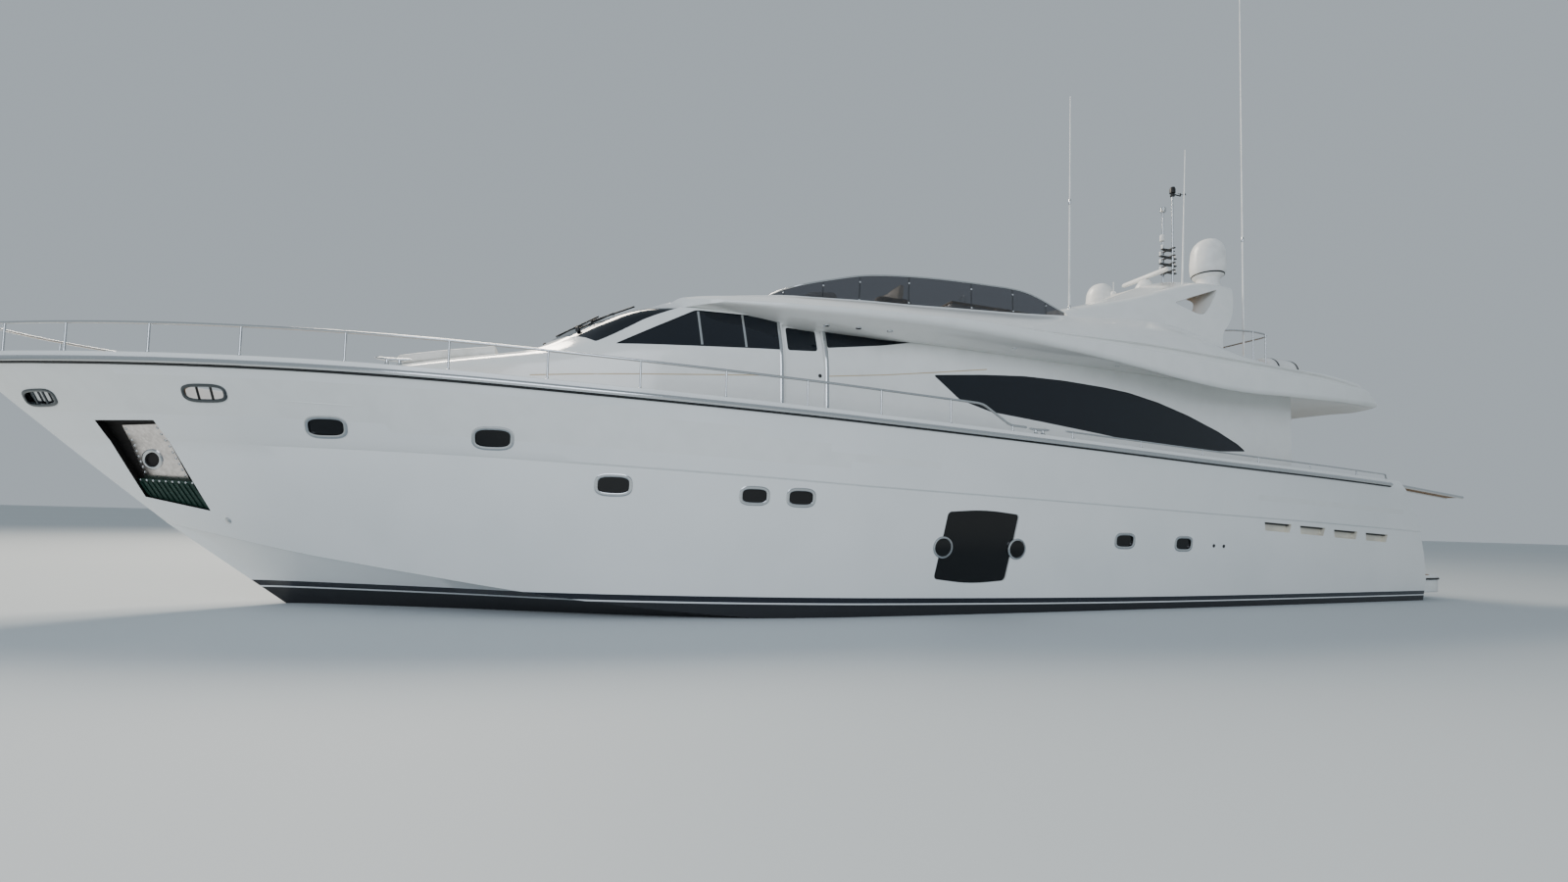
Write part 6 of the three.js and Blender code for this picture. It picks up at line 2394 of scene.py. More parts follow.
    def trim(self) -> None:
        """Makes the mullions, the door posts and the beige lines along the moulding's creases, on both sides;
        the lines' beige is painted crease shade.
        """
        aft, fore, low, high = self.door
        jobs = [
            ("front_mullion", [(5.36, 4.50), (5.325, 3.95)], 0.016, 0.002, self.finishes.steel),
            ("aft_mullion", [(4.69, 4.51), (4.665, 3.97)], 0.016, 0.002, self.finishes.steel),
            (
                "fore_post", [(fore + 0.045, high + 0.02), (fore + 0.03, low)], 0.026, 0.014,
                self.finishes.steel
            ),
            ("aft_post", [(aft - 0.03, high + 0.02), (aft - 0.03, low)], 0.026, 0.014, self.finishes.steel),
            (
                "head_bar", [(fore + 0.045, high + 0.02), (aft - 0.03, high + 0.02)], 0.014, 0.012,
                self.finishes.steel
            ),
            # These two beige bars are painted shade along the cabin side's creases.
            ("forward_crease_shade_line", [(7.68, 3.327), (4.14, 3.574)], 0.008, 0.003, self.finishes.beige),
            ("aft_crease_shade_line", [(3.34, 3.646), (1.55, 3.866), (0.50, 4.022)], 0.008, 0.003, self.finishes.beige),
        ]
        for name, line, half, out, material in jobs:
            port = self.bar(f"{name}_port", line, half, out, material)
            other = mirrored_copy(port, f"{name}_starboard")
            slot = "gelcoat" if material is self.finishes.beige else "steel"
            finished(port, Body.BOAT, slot)
            finished(softened(other, 40), Body.BOAT, slot)

    def wipers(self) -> None:
        """Makes the windscreen wipers, parked across the panes."""
        pieces = []
        dark = self.finishes.dark
        for side in (1, -1):
            for foot_x, foot_y, tip_x, tip_y in ((7.50, 0.45, 6.75, 1.25), (7.05, 1.50, 6.25, 1.55)):
                z0 = self.roof_z(foot_x, foot_y)
                z1 = self.roof_z(tip_x, tip_y)
                foot = Vector((foot_x, side * foot_y, z0 + 0.03))
                tip = Vector((tip_x, side * tip_y, z1 + 0.05))
                middle = foot.lerp(tip, 0.62) + Vector((0, 0, 0.03))
                pieces.append(tube("arm", [foot, middle], 0.012, dark, 8))
                pieces.append(
                    tube("blade", [foot.lerp(tip, 0.28) + Vector((0.05, 0, 0.012)), tip], 0.013, dark, 8)
                )
                pieces.append(tube("link", [middle, foot.lerp(tip, 0.62)], 0.014, dark, 8))
                pieces.append(
                    lathe("boss", [(0.035, -0.03), (0.035, 0.02), (0.02, 0.04), (0, 0.04)], foot, dark, 16)
                )
        fixed("windscreen_wipers", pieces, "dark")

    def roof_z(self, x: float, y: float) -> float:
        """Gives the height of the roof's or screen's outside at a place.

        Args:
            x: The place along the boat.
            y: The place across it.

        Returns:
            The height.
        """
        line = self.section(x)[1:]
        for a, b in zip(line, line[1:]):
            if a.y >= abs(y) >= b.y and a.z > 3.2:
                return a.lerp(b, (a.y - abs(y)) / max(a.y - b.y, TINY)).z
        return line[-1].z

    def build(self) -> None:
        """Makes the moulding, its glass and its trim."""
        self.shell()
        self.glass()
        self.trim()
        self.wipers()


@dataclass
class Flybridge:
    """The flybridge moulding: roof, sole, coamings, and wings over the side decks and the cockpit."""

    finishes: Finishes
    table: Table = Table(
        ("x", "wing_y", "wing_low", "wing_top", "crest_y", "crest_z", "low", "roof"),
        (
            (6450, 1500, 4470, 4500, 1200, 4560, 4600, 4680),
            (6100, 1850, 4440, 4490, 1500, 4600, 4600, 4740),
            (5900, 1960, 4510, 4560, 1600, 4640, 4610, 4780),
            (5500, 2040, 4590, 4640, 1640, 4750, 4610, 4860),
            (5200, 2120, 4600, 4655, 1650, 4840, 4600, 4910),
            (4700, 2260, 4590, 4660, 1690, 4925, 4560, 4970),
            (4200, 2400, 4565, 4660, 1730, 4990, 4500, 5030),
            (3900, 2470, 4555, 4660, 1755, 5025, 4460, 5060),
            (3200, 2640, 4535, 4650, 1850, 5050, 4450, 5065),
            (2500, 2780, 4510, 4640, 1950, 5070, 4440, 5085),
            (1800, 2900, 4490, 4630, 2030, 5080, 4410, 5095),
            (1000, 2990, 4450, 4620, 2120, 5105, 4385, 5120),
            (-500, 3050, 4362, 4560, 2230, 5170, 4350, 5185),
            (-2000, 3060, 4230, 4540, 2280, 5290, 4340, 5305),
            (-3300, 3060, 4094, 4522, 2300, 5380, 4330, 5395),
            (-4300, 3060, 4019, 4500, 2340, 5280, 4330, 5295),
            (-5200, 3060, 4005, 4484, 2480, 4920, 4330, 4935),
            (-6000, 3060, 4028, 4468, 2700, 4640, 4330, 4655),
            (-7500, 3050, 4056, 4430, 2760, 4600, 4300, 4615),
            (-8300, 2990, 4073, 4417, 2740, 4580, 4240, 4590),
            (-8600, 2940, 4087, 4400, 2700, 4560, 4200, 4545),
            (-9050, 2860, 4100, 4180, 2600, 4230, 4110, 4215),
        ),
    )
    roof_edge: Outline = (
        (6450, 0), (6440, 250), (6400, 500), (6335, 760), (6250, 1000), (6140, 1210), (6000, 1400),
        (5860, 1570),
        (5700, 1720), (5500, 1890), (5200, 2080), (4900, 2230), (4500, 2360),
    )
    well: Outline = (
        (3930, 0), (3915, 500), (3880, 900), (3810, 1230), (3700, 1460), (3520, 1600), (3200, 1690),
        (2500, 1800),
        (1000, 1985), (-500, 2100), (-2000, 2150), (-3300, 2170), (-4300, 2210), (-5200, 2350),
        (-6000, 2570), (-7500, 2630),
        (-8300, 2610), (-8600, 2570),
    )
    sole_z: float = FLY_SOLE_Z
    hatch: tuple[float, float, float, float] = (-8.35, -7.15, -2.18, -1.48)

    def section(self, x: float) -> list[Vector]:
        """Gives the half section at a place along the boat, from the underside's middle to the top's middle.

        Args:
            x: The place.

        Returns:
            The points.
        """
        at = lambda name: self.table.at(x, name)
        edge = min(0.06, (at("wing_top") - at("wing_low")) * 0.4)
        gap = 0.13 * min(max((0.97 - x) / 3.6, 0.0), 1.0) * min(max((x + 8.9) / 1.6, 0.0), 1.0)
        wing, top, crest = at("wing_y"), at("wing_top"), at("crest_y")
        drop_to = at("crest_z") - top
        low_y, low_z = wing - 0.52, at("low") - 0.06
        hollow = [(x, low_y - 0.35, low_z + 0.03), (x, low_y, low_z)]
        tip = (wing - 0.05, at("wing_low"))
        dip = (low_z - tip[1]) * 0.72
        cove = [
            (x, low_y + 0.17, low_z - (low_z - tip[1]) * 0.18), (x, low_y + 0.33, tip[1] + dip * 0.72),
            (x, tip[0], tip[1])
        ]
        out = [(x, 0, at("low"))] + hollow + cove + [
            (x, wing, at("wing_low") + edge), (x, wing, top), (x, wing - 0.11 - gap * 0.6, top + 0.025),
            (x, wing - 0.12 - gap * 0.8, top + 0.032 + gap), (x, wing - 0.125 - gap * 0.25, top + 0.04 + gap),
            (x, crest + 0.06 + (wing - 0.12 - crest) * 0.45, top + 0.06 + gap + (drop_to - gap) * 0.47),
            (x, crest + 0.035, at("crest_z") - 0.045), (x, crest, at("crest_z")),
            (x, crest - 0.11, at("crest_z") + 0.004),
            (x, crest * 0.5, at("crest_z") + (at("roof") + 0.02 - at("crest_z")) * 0.75),
            (x, 0, at("roof") + 0.02),
        ]
        reach = (0, 0.3, 0.2, 0.12, 0.12, 0.03, 0.04, 0.012, 0.02, 0.02, 0.01, 0.2, 0.05, 0.05, 0.04, 0.3, 0)
        return rounded(out, reach, 4)

    def plan(self, half: Outline, aft: float) -> list[tuple[float, float]]:
        """Closes a half plan aft and mirrors it.

        Args:
            half: The half plan in millimetres, from the centreline forward.
            aft: Where it is closed aft, in metres.

        Returns:
            The whole plan.
        """
        port = metres(half)
        port += [(aft, port[-1][1])]
        return port + [(x, -y) for x, y in reversed(port[1:])]

    def moulding(self) -> Object:
        """Makes the moulding that stands for the CAD one."""
        white = self.finishes.gelcoat
        keys = [row[0] * MM for row in self.table.rows]
        rings = [mirrored_ring(self.section(x)) for x in spread(keys, 5)]
        body = skinned("flybridge_moulding", rings, white)
        fair = FairSkin(body, 22)
        edge = self.plan([*self.roof_edge, (4500, 4000)], -12)
        carved(body, [prism("roof_plan", edge, 2, 0, 9, white)], "INTERSECT")
        well = prism("well", self.plan(self.well, -8.6), 2, self.sole_z, 9, white)
        aft, fore, right, left = self.hatch
        tools = [floored(well, self.finishes.teak), block("hatch", (aft, right, 3.5), (fore, left, 6), white)]
        carved(body, tools)
        fair.put_on(body)
        return finished(body, Body.BOAT, "gelcoat", "flybridge")

    def downlights(self) -> None:
        """Makes the round lights let into the cove under each wing."""
        pieces = []
        for side in (1, -1):
            for x in (3.4, 2.9, 2.4, 0.2, -2.0, -4.0, -6.0):
                y = self.table.at(x, "wing_y") - 0.30
                z = self.under_z(x, y)
                profile = [
                    (0.0, -0.006), (0.03, -0.006), (0.045, -0.004), (0.05, 0.004), (0.05, 0.03), (0.0, 0.03)
                ]
                pieces.append(lathe("light", profile, (x, side * y, z), self.finishes.steel, 24))
        fixed("cove_downlights", pieces, "steel")

    def under_z(self, x: float, y: float) -> float:
        """Gives the height of the underside.

        Args:
            x: The place along the boat.
            y: The place across it.

        Returns:
            The height.
        """
        line = self.section(x)
        for a, b in zip(line, line[1:]):
            if a.y <= y <= b.y:
                return a.lerp(b, (y - a.y) / max(b.y - a.y, TINY)).z
        return line[0].z

    def build(self) -> None:
        """Makes the moulding and its lights."""
        self.moulding()
        self.downlights()


@dataclass
class Arch:
    """The radar arch with its pedestal, two domes, the radar, the instrument mast and the whip aerials."""

    finishes: Finishes
    table: Table = Table(
        ("x", "out_y", "out_z", "top_y", "top_z", "in_y", "in_z", "low_z"),
        (
            (-1500, 2200, 5080, 1960, 5460, 1500, 5520, 5300),
            (-2900, 2230, 5020, 1950, 5830, 1150, 6000, 5640),
            (-3600, 2250, 5000, 1940, 6040, 1000, 6260, 5900),
            (-4800, 2300, 4860, 1900, 6440, 800, 6760, 6420),
            (-5500, 2310, 4780, 1880, 6560, 800, 6960, 6640),
            (-6250, 2310, 4700, 1850, 6580, 800, 7040, 6760),
        ),
    )
    wall: float = 0.23
    opening: Outline = ((-4200, 5930), (-4800, 6150), (-5600, 6440), (-5150, 5950), (-4850, 5700))
    aft_edge: Outline = (
        (-6150, 7400), (-6130, 6600), (-5980, 6230), (-5770, 5860), (-5560, 5600), (-5320, 5400),
        (-5200, 4300)
    )
    dome_at: tuple[float, float] = (-5.9, 1.48)
    radar_x: float = -5.75
    radar_z: float = 7.29

    def leg(self, white: Material) -> Object:
        """Makes the port leg.

        Args:
            white: The finish.

        Returns:
            The leg, uncut.
        """
        keys = [row[0] * MM for row in self.table.rows]
        rings = []
        for x in spread(keys, 8):
            at = lambda name: self.table.at(x, name)
            bulge = 0.05 + 0.05 * min(max((-1.5 - x) / 3, 0), 1)
            ring = [
                (x, at("out_y"), at("out_z")),
                (x, (at("out_y") + at("top_y")) / 2 + bulge, (at("out_z") + at("top_z")) / 2),
                (x, at("top_y"), at("top_z")), (x, at("in_y"), at("in_z")), (x, at("in_y"), at("low_z")),
                (x, at("top_y") - self.wall - 0.06, at("top_z") - 0.33),
                (x, at("out_y") - self.wall, at("out_z")),
            ]
            rings.append(rounded(ring, (0, 0.5, 0.12, 0.04, 0.04, 0.25, 0), 5, True))
        return skinned("leg", rings, white)

    def bridge(self, white: Material) -> Object:
        """Makes the blade across the top.

        Args:
            white: The finish.

        Returns:
            The blade.
        """
        keys = [row[0] * MM for row in self.table.rows[3:]] + [-6.65]
        rings = []
        for x in spread(keys, 6):
            held = max(x, -6.25)
            in_y, in_z, low_z = (self.table.at(held, name) for name in ("in_y", "in_z", "low_z"))
            beyond = max(0.0, -6.25 - x) / 0.4
            in_z += 0.02 * beyond
            low_z += 0.14 * beyond
            half = [
                (x, 0, low_z + 0.02), (x, in_y + 0.005, low_z + 0.005), (x, in_y + 0.005, in_z - 0.002),
                (x, 0, in_z + 0.06)
            ]
            rings.append(mirrored_ring(rounded(half, (0, 0.05, 0.05, 0), 4)))
        return skinned("blade", rings, white)

    def frame(self) -> Object:
        """Makes the arch that stands for the CAD one."""
        white = self.finishes.gelcoat
        port = self.leg(white)
        fair = FairSkin(port, 28)
        line = soft_outline(metres(self.opening), [0.12, 0.3, 0.08, 0.3, 0.2], 6)
        cutters = [prism("opening", line, 1, 0.5, 4, white)]
        edge = rounded([(a, b, 0) for a, b in metres(self.aft_edge)], [0, 0.1, 0.3, 0.3, 0.3, 0.2, 0], 5)
        after = flat(edge) + [(-12, 4.3), (-12, 7.4)]
        cutters.append(prism("aft", after, 1, 0.9, 5, white))
        carved(port, cutters)
        fair.put_on(port)
        pieces = [port, softened(mirrored_copy(port, "leg"), 28), softened(self.bridge(white), 28)]
        foot = 6.99
        rise = self.radar_z - foot
        profile = [
            (0.19, 0.0), (0.205, 0.05), (0.21, 0.13), (0.19, 0.17), (0.13, rise - 0.03),
            (0.12, rise - 0.01), (0.06, rise), (0, rise)
        ]
        pieces.append(lathe("pedestal", profile, (self.radar_x, 0, foot), self.finishes.plastic, 48))
        arch = joined("radar_arch_moulding", pieces)
        return finished(arch, Body.BOAT, "gelcoat", "radar_arch")

    def top_z(self, x: float, y: float) -> float:
        """Gives the height of the arch's top.

        Args:
            x: The place along the boat.
            y: The place across it.

        Returns:
            The height.
        """
        in_y, in_z, top_y, top_z = (self.table.at(x, name) for name in ("in_y", "in_z", "top_y", "top_z"))
        if y < in_y:
            return in_z + 0.06 * (1 - y / in_y)
        return in_z + (top_z - in_z) * (y - in_y) / (top_y - in_y)

    def domes(self) -> None:
        """Makes the satellite domes, each on a dark ring and a white foot."""
        x, y = self.dome_at
        z = self.top_z(x, y) - 0.1
        radius, height = 0.345, 1.08
        plastic = self.finishes.plastic
        for side in Side:
            shell = [
                (radius * 0.90, 0.30), (radius * 0.965, 0.34), (radius, 0.46), (radius * 0.995, 0.60),
                (radius * 0.965, 0.72)
            ]
            for k in range(1, 11):
                angle = math.radians(9 * k)
                shell.append(
                    (radius * 0.965 * math.cos(angle) ** 0.8, 0.72 + (height - 0.72) * math.sin(angle))
                )
            shell.append((0, height))
            ring = [(0, 0.27), (radius * 0.9, 0.27), (radius * 0.92, 0.285), (radius * 0.9, 0.30), (0, 0.30)]
            base = [
                (0, 0), (radius * 0.70, 0), (radius * 0.62, 0.10), (radius * 0.66, 0.20),
                (radius * 0.84, 0.25),
                (radius * 0.88, 0.27), (0, 0.27),
            ]
            foot = (x, side.value * y, z)
            pieces = [
                lathe("dome", [(0, 0.30)] + shell, foot, plastic, 64),
                lathe("ring", ring, foot, self.finishes.dark, 64),
                lathe("foot", base, foot, plastic, 64),
            ]
            name = side.name.lower()
            fixed(f"satellite_dome_{name}", pieces, "plastic", f"dome_{name}")

    def lamp(self) -> None:
        """Makes the small all-round lamp beside the radar, on its stalk."""
        x, y = -5.45, -0.62
        foot = (x, y, self.top_z(x, abs(y)) - 0.02)
        shape = [
            (0, 0), (0.05, 0), (0.05, 0.02), (0.018, 0.04), (0.018, 0.13), (0.06, 0.15), (0.065, 0.20),
            (0.05, 0.235), (0, 0.25)
        ]
        pieces = [lathe("lamp", shape, foot, self.finishes.plastic, 32)]
        top = Vector(foot) + Vector((0, 0, 0.24))
        pieces.append(tube("whip", [top, top + Vector((0, 0, 0.24))], 0.009, self.finishes.plastic, 10))
        fixed("small_lamp_on_arch", pieces, "plastic")

    def scanner(self) -> None:
        """Makes the turning radar bar, rounded like the real one, on its gearbox."""
        z = self.radar_z + 0.0005
        half = 0.6245
        rings = []
        for y, k in (
            (-half, 0.55), (-half + 0.012, 0.85), (-half + 0.05, 1.0), (half - 0.05, 1.0),
            (half - 0.012, 0.85), (half, 0.55)
        ):
            ring = [
                (-0.045, 0.03), (0.045, 0.03), (0.045, 0.09), (0.02, 0.125), (-0.02, 0.125), (-0.045, 0.09)
            ]
            rings.append([(self.radar_x + a * k, y, z + 0.075 + (b - 0.075) * k) for a, b in ring])
        bar = skinned("bar", rings, self.finishes.plastic)
        step = bar.modifiers.new("edge", "BEVEL")
        step.width = 0.008
        step.segments = 3
        softened(evaluated(bar), 40)
        hub = lathe("hub", [(0, 0), (0.058, 0), (0.058, 0.02), (0.075, 0.03), (0.075, 0.045), (0, 0.045)],
                    (self.radar_x, 0, z), self.finishes.plastic, 40)
        finished(joined("radar_bar", [bar, hub]), Body.SCANNER, "plastic", "radar_scanner")

    def mast(self) -> None:
        """Makes the instrument mast: two poles through four dark cross plates, with lamps and instruments."""
        x = -6.5
        dark, white, steel = self.finishes.dark, self.finishes.plastic, self.finishes.steel
        foot = 7.0
        pieces = [
            tube("port_pole", [(x, 0.13, foot), (x, 0.13, 9.45)], 0.022, steel, 16),
            tube("other_pole", [(x, -0.13, foot), (x, -0.13, 9.2)], 0.024, steel, 16),
        ]
        for k, z in enumerate((7.60, 7.78, 7.96, 8.14)):
            reach = 0.26 if k < 3 else 0.20
            cross = (
                (-reach, -0.03), (-0.03, -0.05), (-0.03, -0.19), (0.03, -0.19), (0.03, -0.05), (reach, -0.03),
                (reach, 0.03), (0.03, 0.05), (0.03, 0.19), (-0.03, 0.19), (-0.03, 0.05), (-reach, 0.03),
            )
            outline = [(x + dx, y) for dx, y in cross]
            plate = prism("plate", outline, 2, z, z + 0.02, dark)
            pieces.append(softened(plate, 30))
            for dx in (-reach + 0.02, reach - 0.02):
                pieces.append(
                    lathe(
                        "lamp", [(0, 0), (0.022, 0), (0.024, 0.05), (0.03, 0.055), (0.02, 0.09), (0, 0.09)],
                        (x + dx, 0, z + 0.02), white, 20
                    )
                )
        heads = (
            (
                -0.13, 9.14,
                [(0, 0), (0.055, 0), (0.07, 0.02), (0.07, 0.10), (0.05, 0.12), (0.02, 0.14), (0, 0.14)],
                steel
            ),
            (
                0.13, 9.42,
                [
                    (0, 0), (0.05, 0), (0.055, 0.03), (0.03, 0.05), (0.03, 0.07), (0.068, 0.08),
                    (0.068, 0.17), (0.05, 0.22), (0, 0.22)
                ],
                dark
            ),
        )
        for y, z, profile, material in heads:
            pieces.append(lathe("head", profile, (x, y, z), material, 32))
        pieces.append(tube("horn_stem", [(x - 0.06, 0.13, 9.48), (x - 0.26, 0.13, 9.48)], 0.014, dark, 10))
        pieces.append(
            lathe(
                "lamp_box", [(0, 0), (0.05, 0), (0.055, 0.02), (0.05, 0.14), (0.03, 0.16), (0, 0.16)],
                (x + 0.03, -0.13, 8.42), white, 28
            )
        )
        fixed("instrument_mast_poles", pieces, "dark", "instrument_mast")
        vane_x, vane_z = x - 0.26, 9.51
        parts = [
            lathe(
                "pin", [(0, -0.0155), (0.016, -0.0155), (0.018, 0.02), (0.012, 0.04), (0, 0.04)],
                (vane_x, 0.13, vane_z), dark, 20
            )
        ]
        parts.append(
            tube(
                "arm", [(vane_x - 0.12, 0.13, vane_z + 0.016), (vane_x + 0.09, 0.13, vane_z + 0.016)],
                0.006, dark, 10
            )
        )
        corners = ((-0.19, 0.03), (-0.11, 0.008), (-0.10, 0.03), (-0.15, 0.08))
        tail = soft_outline([(vane_x + dx, vane_z + dz) for dx, dz in corners], [0.01] * 4, 3)
        parts.append(softened(prism("tail", tail, 1, 0.127, 0.133, dark), 30))
        finished(joined("wind_vane_arm", parts), Body.VANE, "dark", "wind_vane")

    def whips(self) -> None:
        """Makes the whip aerials, each with a ferrule at its foot and at its joint."""
        jobs = (
            ("forward", (-1.75, 1.88, 5.42), (-1.75, 1.88, 9.65), 0.5),
            ("aft", (-5.95, 2.22, 4.52), (-5.90, 2.22, 13.20), 0.33),
            ("inner", (-5.33, 1.33, 6.52), (-5.43, 1.33, 9.70), 0.0),
        )
        for name, foot, head, joint in jobs:
            start, end = Vector(foot), Vector(head)
            path = [start.lerp(end, k / 6) for k in range(7)]
            heading = (end - start).normalized()
            white, steel = self.finishes.plastic, self.finishes.steel
            pieces = [tube("rod", path, 0.021, white, 14, 0.008)]
            pieces.append(
                lathe(
                    "foot",
                    [
                        (0, 0), (0.045, 0), (0.045, 0.03), (0.03, 0.05), (0.03, 0.14), (0.024, 0.16),
                        (0, 0.16)
                    ],
                    start, steel, 24, heading
                )
            )
            if joint:
                at = start.lerp(end, joint)
                pieces.append(
                    lathe(
                        "ferrule",
                        [(0, 0), (0.022, 0), (0.024, 0.01), (0.024, 0.09), (0.02, 0.1), (0, 0.1)], at,
                        steel, 20, heading
                    )
                )
            fixed(f"whip_aerial_{name}", pieces, "plastic", f"whip_{name}")

    def build(self) -> None:
        """Makes the arch and all that stands on it."""
        self.frame()
        self.domes()
        self.lamp()
        self.scanner()
        self.mast()
        self.whips()


def rounded_copy(
    node: str, name: str, edge: float, material: Material, angle: float = 30.0
) -> Object:
    """Copies a CAD node's mesh and rounds its edges.

    Args:
        node: The node's name.
        name: The copy's name.
        edge: The radius of its edges.
        material: The finish.
        angle: The angle in degrees above which an edge is rounded.

    Returns:
        The copy.
    """
    made = bpy.data.objects.new(name, frame["nodes"][node].data.copy())
    bpy.context.scene.collection.objects.link(made)
    made.data.name = name
    made.data.materials.clear()
    made.data.materials.append(material)
    work = bmesh.new()
    work.from_mesh(made.data)
    bmesh.ops.remove_doubles(work, verts=work.verts, dist=2e-5)
    bmesh.ops.dissolve_limit(work, angle_limit=math.radians(1.5), verts=work.verts, edges=work.edges)
    for face in work.faces:
        face.material_index = 0
    work.to_mesh(made.data)
    work.free()
    if edge > 0:
        bevelled(made, edge, 2, angle)
    return softened(made, angle)


def sheeted(
    name: str, outline: Outline, low: float, high: float, material: Material, edge: float, axis: int = 2
) -> Object:
    """Makes a panel with rounded edges from its outline.

    Args:
        name: The panel's name.
        outline: Its plan, or for an axis of 1 its outline seen from the side.
        low: Where it starts.
        high: Where it ends.
        material: The finish.
        edge: The radius of its edges.
        axis: The axis that its thickness runs along.

    Returns:
        The panel.
    """
    return softened(bevelled(prism(name, outline, axis, low, high, material), edge), 35)


@dataclass
class Rails:
    """The stainless rails: round the bow, low along the gunwale aft, and round the flybridge's aft deck."""

    finishes: Finishes
    hull: Hull
    bow_posts: tuple[float, ...] = (
        13.90, 13.03, 12.00, 10.95, 9.78, 8.61, 7.45, 6.30, 5.16, 3.99, 2.84, 1.65
    )
    side_posts: tuple[float, ...] = (-0.70, -2.20, -3.70, -5.20, -6.70, -8.20)
    bow_height: float = 0.375
    side_height: float = 0.11
    bow_inset: float = 0.09
    side_inset: float = 0.08
    end_height: float = 0.095
    fly_height: float = 5.5
    fly_line: Outline = (
        (-5.35, 2.08), (-5.65, 2.25), (-6.08, 2.32), (-6.48, 2.30), (-6.68, 2.18), (-6.68, 1.30),
        (-6.68, 0.30), (-7.60, 0.30),
        (-8.50, 0.30), (-8.50, -1.00), (-8.50, -2.40), (-7.60, -2.56), (-6.70, -2.56), (-5.90, -2.48),
        (-5.35, -2.08),
    )
    fly_posts: tuple[int, ...] = (2, 3, 5, 6, 7, 8, 9, 10, 11, 12, 13)

    def on_cap(self, x: float, inset: float, up: float) -> Vector:
        """Gives a place over the gunwale on the port side.

        Args:
            x: The place along the boat.
            inset: How far inside the gunwale's edge.
            up: How far over its cap.

        Returns:
            The point.
        """
        y, cap, _ = self.hull.gunwale(x)
        return Vector((x, max(y - inset, 0.03), cap + up))

    def post(self, foot: Vector, height: float, radius: float) -> list[Object]:
        """Makes a stanchion on its flange.

        Args:
            foot: Where it stands.
            height: Its height.
            radius: Its radius.

        Returns:
            The pieces.
        """
        steel = self.finishes.steel
        flange = [
            (0, -0.004), (0.034, -0.004), (0.034, 0.005), (0.030, 0.009), (radius + 0.006, 0.014),
            (radius + 0.002, 0.034), (0, 0.034)
        ]
        return [
            lathe("flange", flange, foot, steel, 24),
            tube("post", [foot, foot + Vector((0, 0, height))], radius, steel, 14)
        ]

    def flange_bolts(self, feet: Sequence[Vector]) -> list[tuple[Vector, Vector]]:
        """Gives three bolts on each flange.

        Args:
            feet: Where the stanchions stand.

        Returns:
            The places, each with the way up.
        """
        turns = [math.radians(90 + 120 * k) for k in range(3)]
        up = Vector((0, 0, 1))
        return [
            (foot + Vector((0.025 * math.cos(a), 0.025 * math.sin(a), 0.0085)), up) for foot in feet
            for a in turns
        ]

    def bow(self) -> None:
        """Makes the bow rail, which comes down to the gunwale beside the deckhouse."""
        steel = self.finishes.steel
        places = [14.33 - 0.02 * k for k in range(2)] + [14.1 - 0.31 * k for k in range(42)] + [1.07]
        top = [self.on_cap(x, self.bow_inset, self.bow_height) for x in places]
        end = [
            self.on_cap(0.55, self.bow_inset, self.end_height),
            self.on_cap(0.24, self.bow_inset, self.end_height)
        ]
        port = top + end
        other = across(reversed(port))
        line = other + port
        sharp = {
            len(other) - 1: 0.10, len(other): 0.10, 1: 0.08, len(line) - 2: 0.08, 2: 0.10,
            len(line) - 3: 0.10
        }
        path = rounded(line, [sharp.get(k, 0.0) for k in range(len(line))], 5)
        pieces = [tube("top_rail", path, 0.018, steel, 16)]
        feet = [self.on_cap(x, self.bow_inset, 0.0) for x in self.bow_posts]
        feet += across(feet)
        for foot in feet:
            pieces += self.post(foot, self.bow_height, 0.0135)
        for side in (1, -1):
            low = self.on_cap(0.50, self.bow_inset, 0.0)
            low.y *= side
            pieces += self.post(low, self.end_height, 0.014)
            tip = self.on_cap(0.24, self.bow_inset, self.end_height)
            tip.y *= side
            pieces.append(
                lathe(
                    "cap", [(0, -0.004), (0.0185, -0.004), (0.0185, 0.006), (0.012, 0.014), (0, 0.016)],
                    tip, steel, 16, (-1, 0, 0)
                )
            )
        fixed("bow_rail_tubes", pieces, "steel", "bow_rail")
        finished(Bolts(steel).set_on("bow_rail_bolts", self.flange_bolts(feet), 0.0055), Body.BOAT, "steel")

    def low(self) -> None:
        """Makes the low rails along the gunwale aft."""
        steel = self.finishes.steel
        top = [self.on_cap(-0.56 - 0.39 * k, self.side_inset, self.side_height) for k in range(23)]
        line = top + [
            self.on_cap(-9.22, self.side_inset, self.side_height), self.on_cap(-9.25, self.side_inset, 0.0)
        ]
        path = rounded(line, [0.0] * (len(line) - 2) + [0.06, 0.0], 5)
        pieces = [tube("rail", path, 0.0145, steel, 14)]
        pieces.append(
            lathe(
                "cap", [(0, -0.004), (0.015, -0.004), (0.015, 0.005), (0.01, 0.012), (0, 0.013)], top[0],
                steel, 16, (1, 0, 0)
            )
        )
        feet = [self.on_cap(x, self.side_inset, 0.0) for x in self.side_posts]
        for foot in feet:
            pieces += self.post(foot, self.side_height, 0.0115)
        both_sides(joined("side_rail_tubes", pieces), "steel", "side_rail")
        both_sides(Bolts(steel).set_on("side_rail_bolts", self.flange_bolts(feet), 0.0055), "steel")

    def flybridge(self) -> None:
        """Makes the rail round the flybridge's aft deck."""
        steel = self.finishes.steel
        turn = [0.0] + [0.14] * (len(self.fly_line) - 2) + [0.0]
        path = rounded([(x, y, self.fly_height) for x, y in self.fly_line], turn, 5)
        pieces = [tube("rail", path, 0.0165, steel, 16)]
        feet = [Vector((*self.fly_line[i], FLY_SOLE_Z)) for i in self.fly_posts]
        for foot in feet:
            pieces += self.post(foot, self.fly_height - FLY_SOLE_Z, 0.0135)
        fixed("flybridge_rail_tubes", pieces, "steel", "fly_rail")

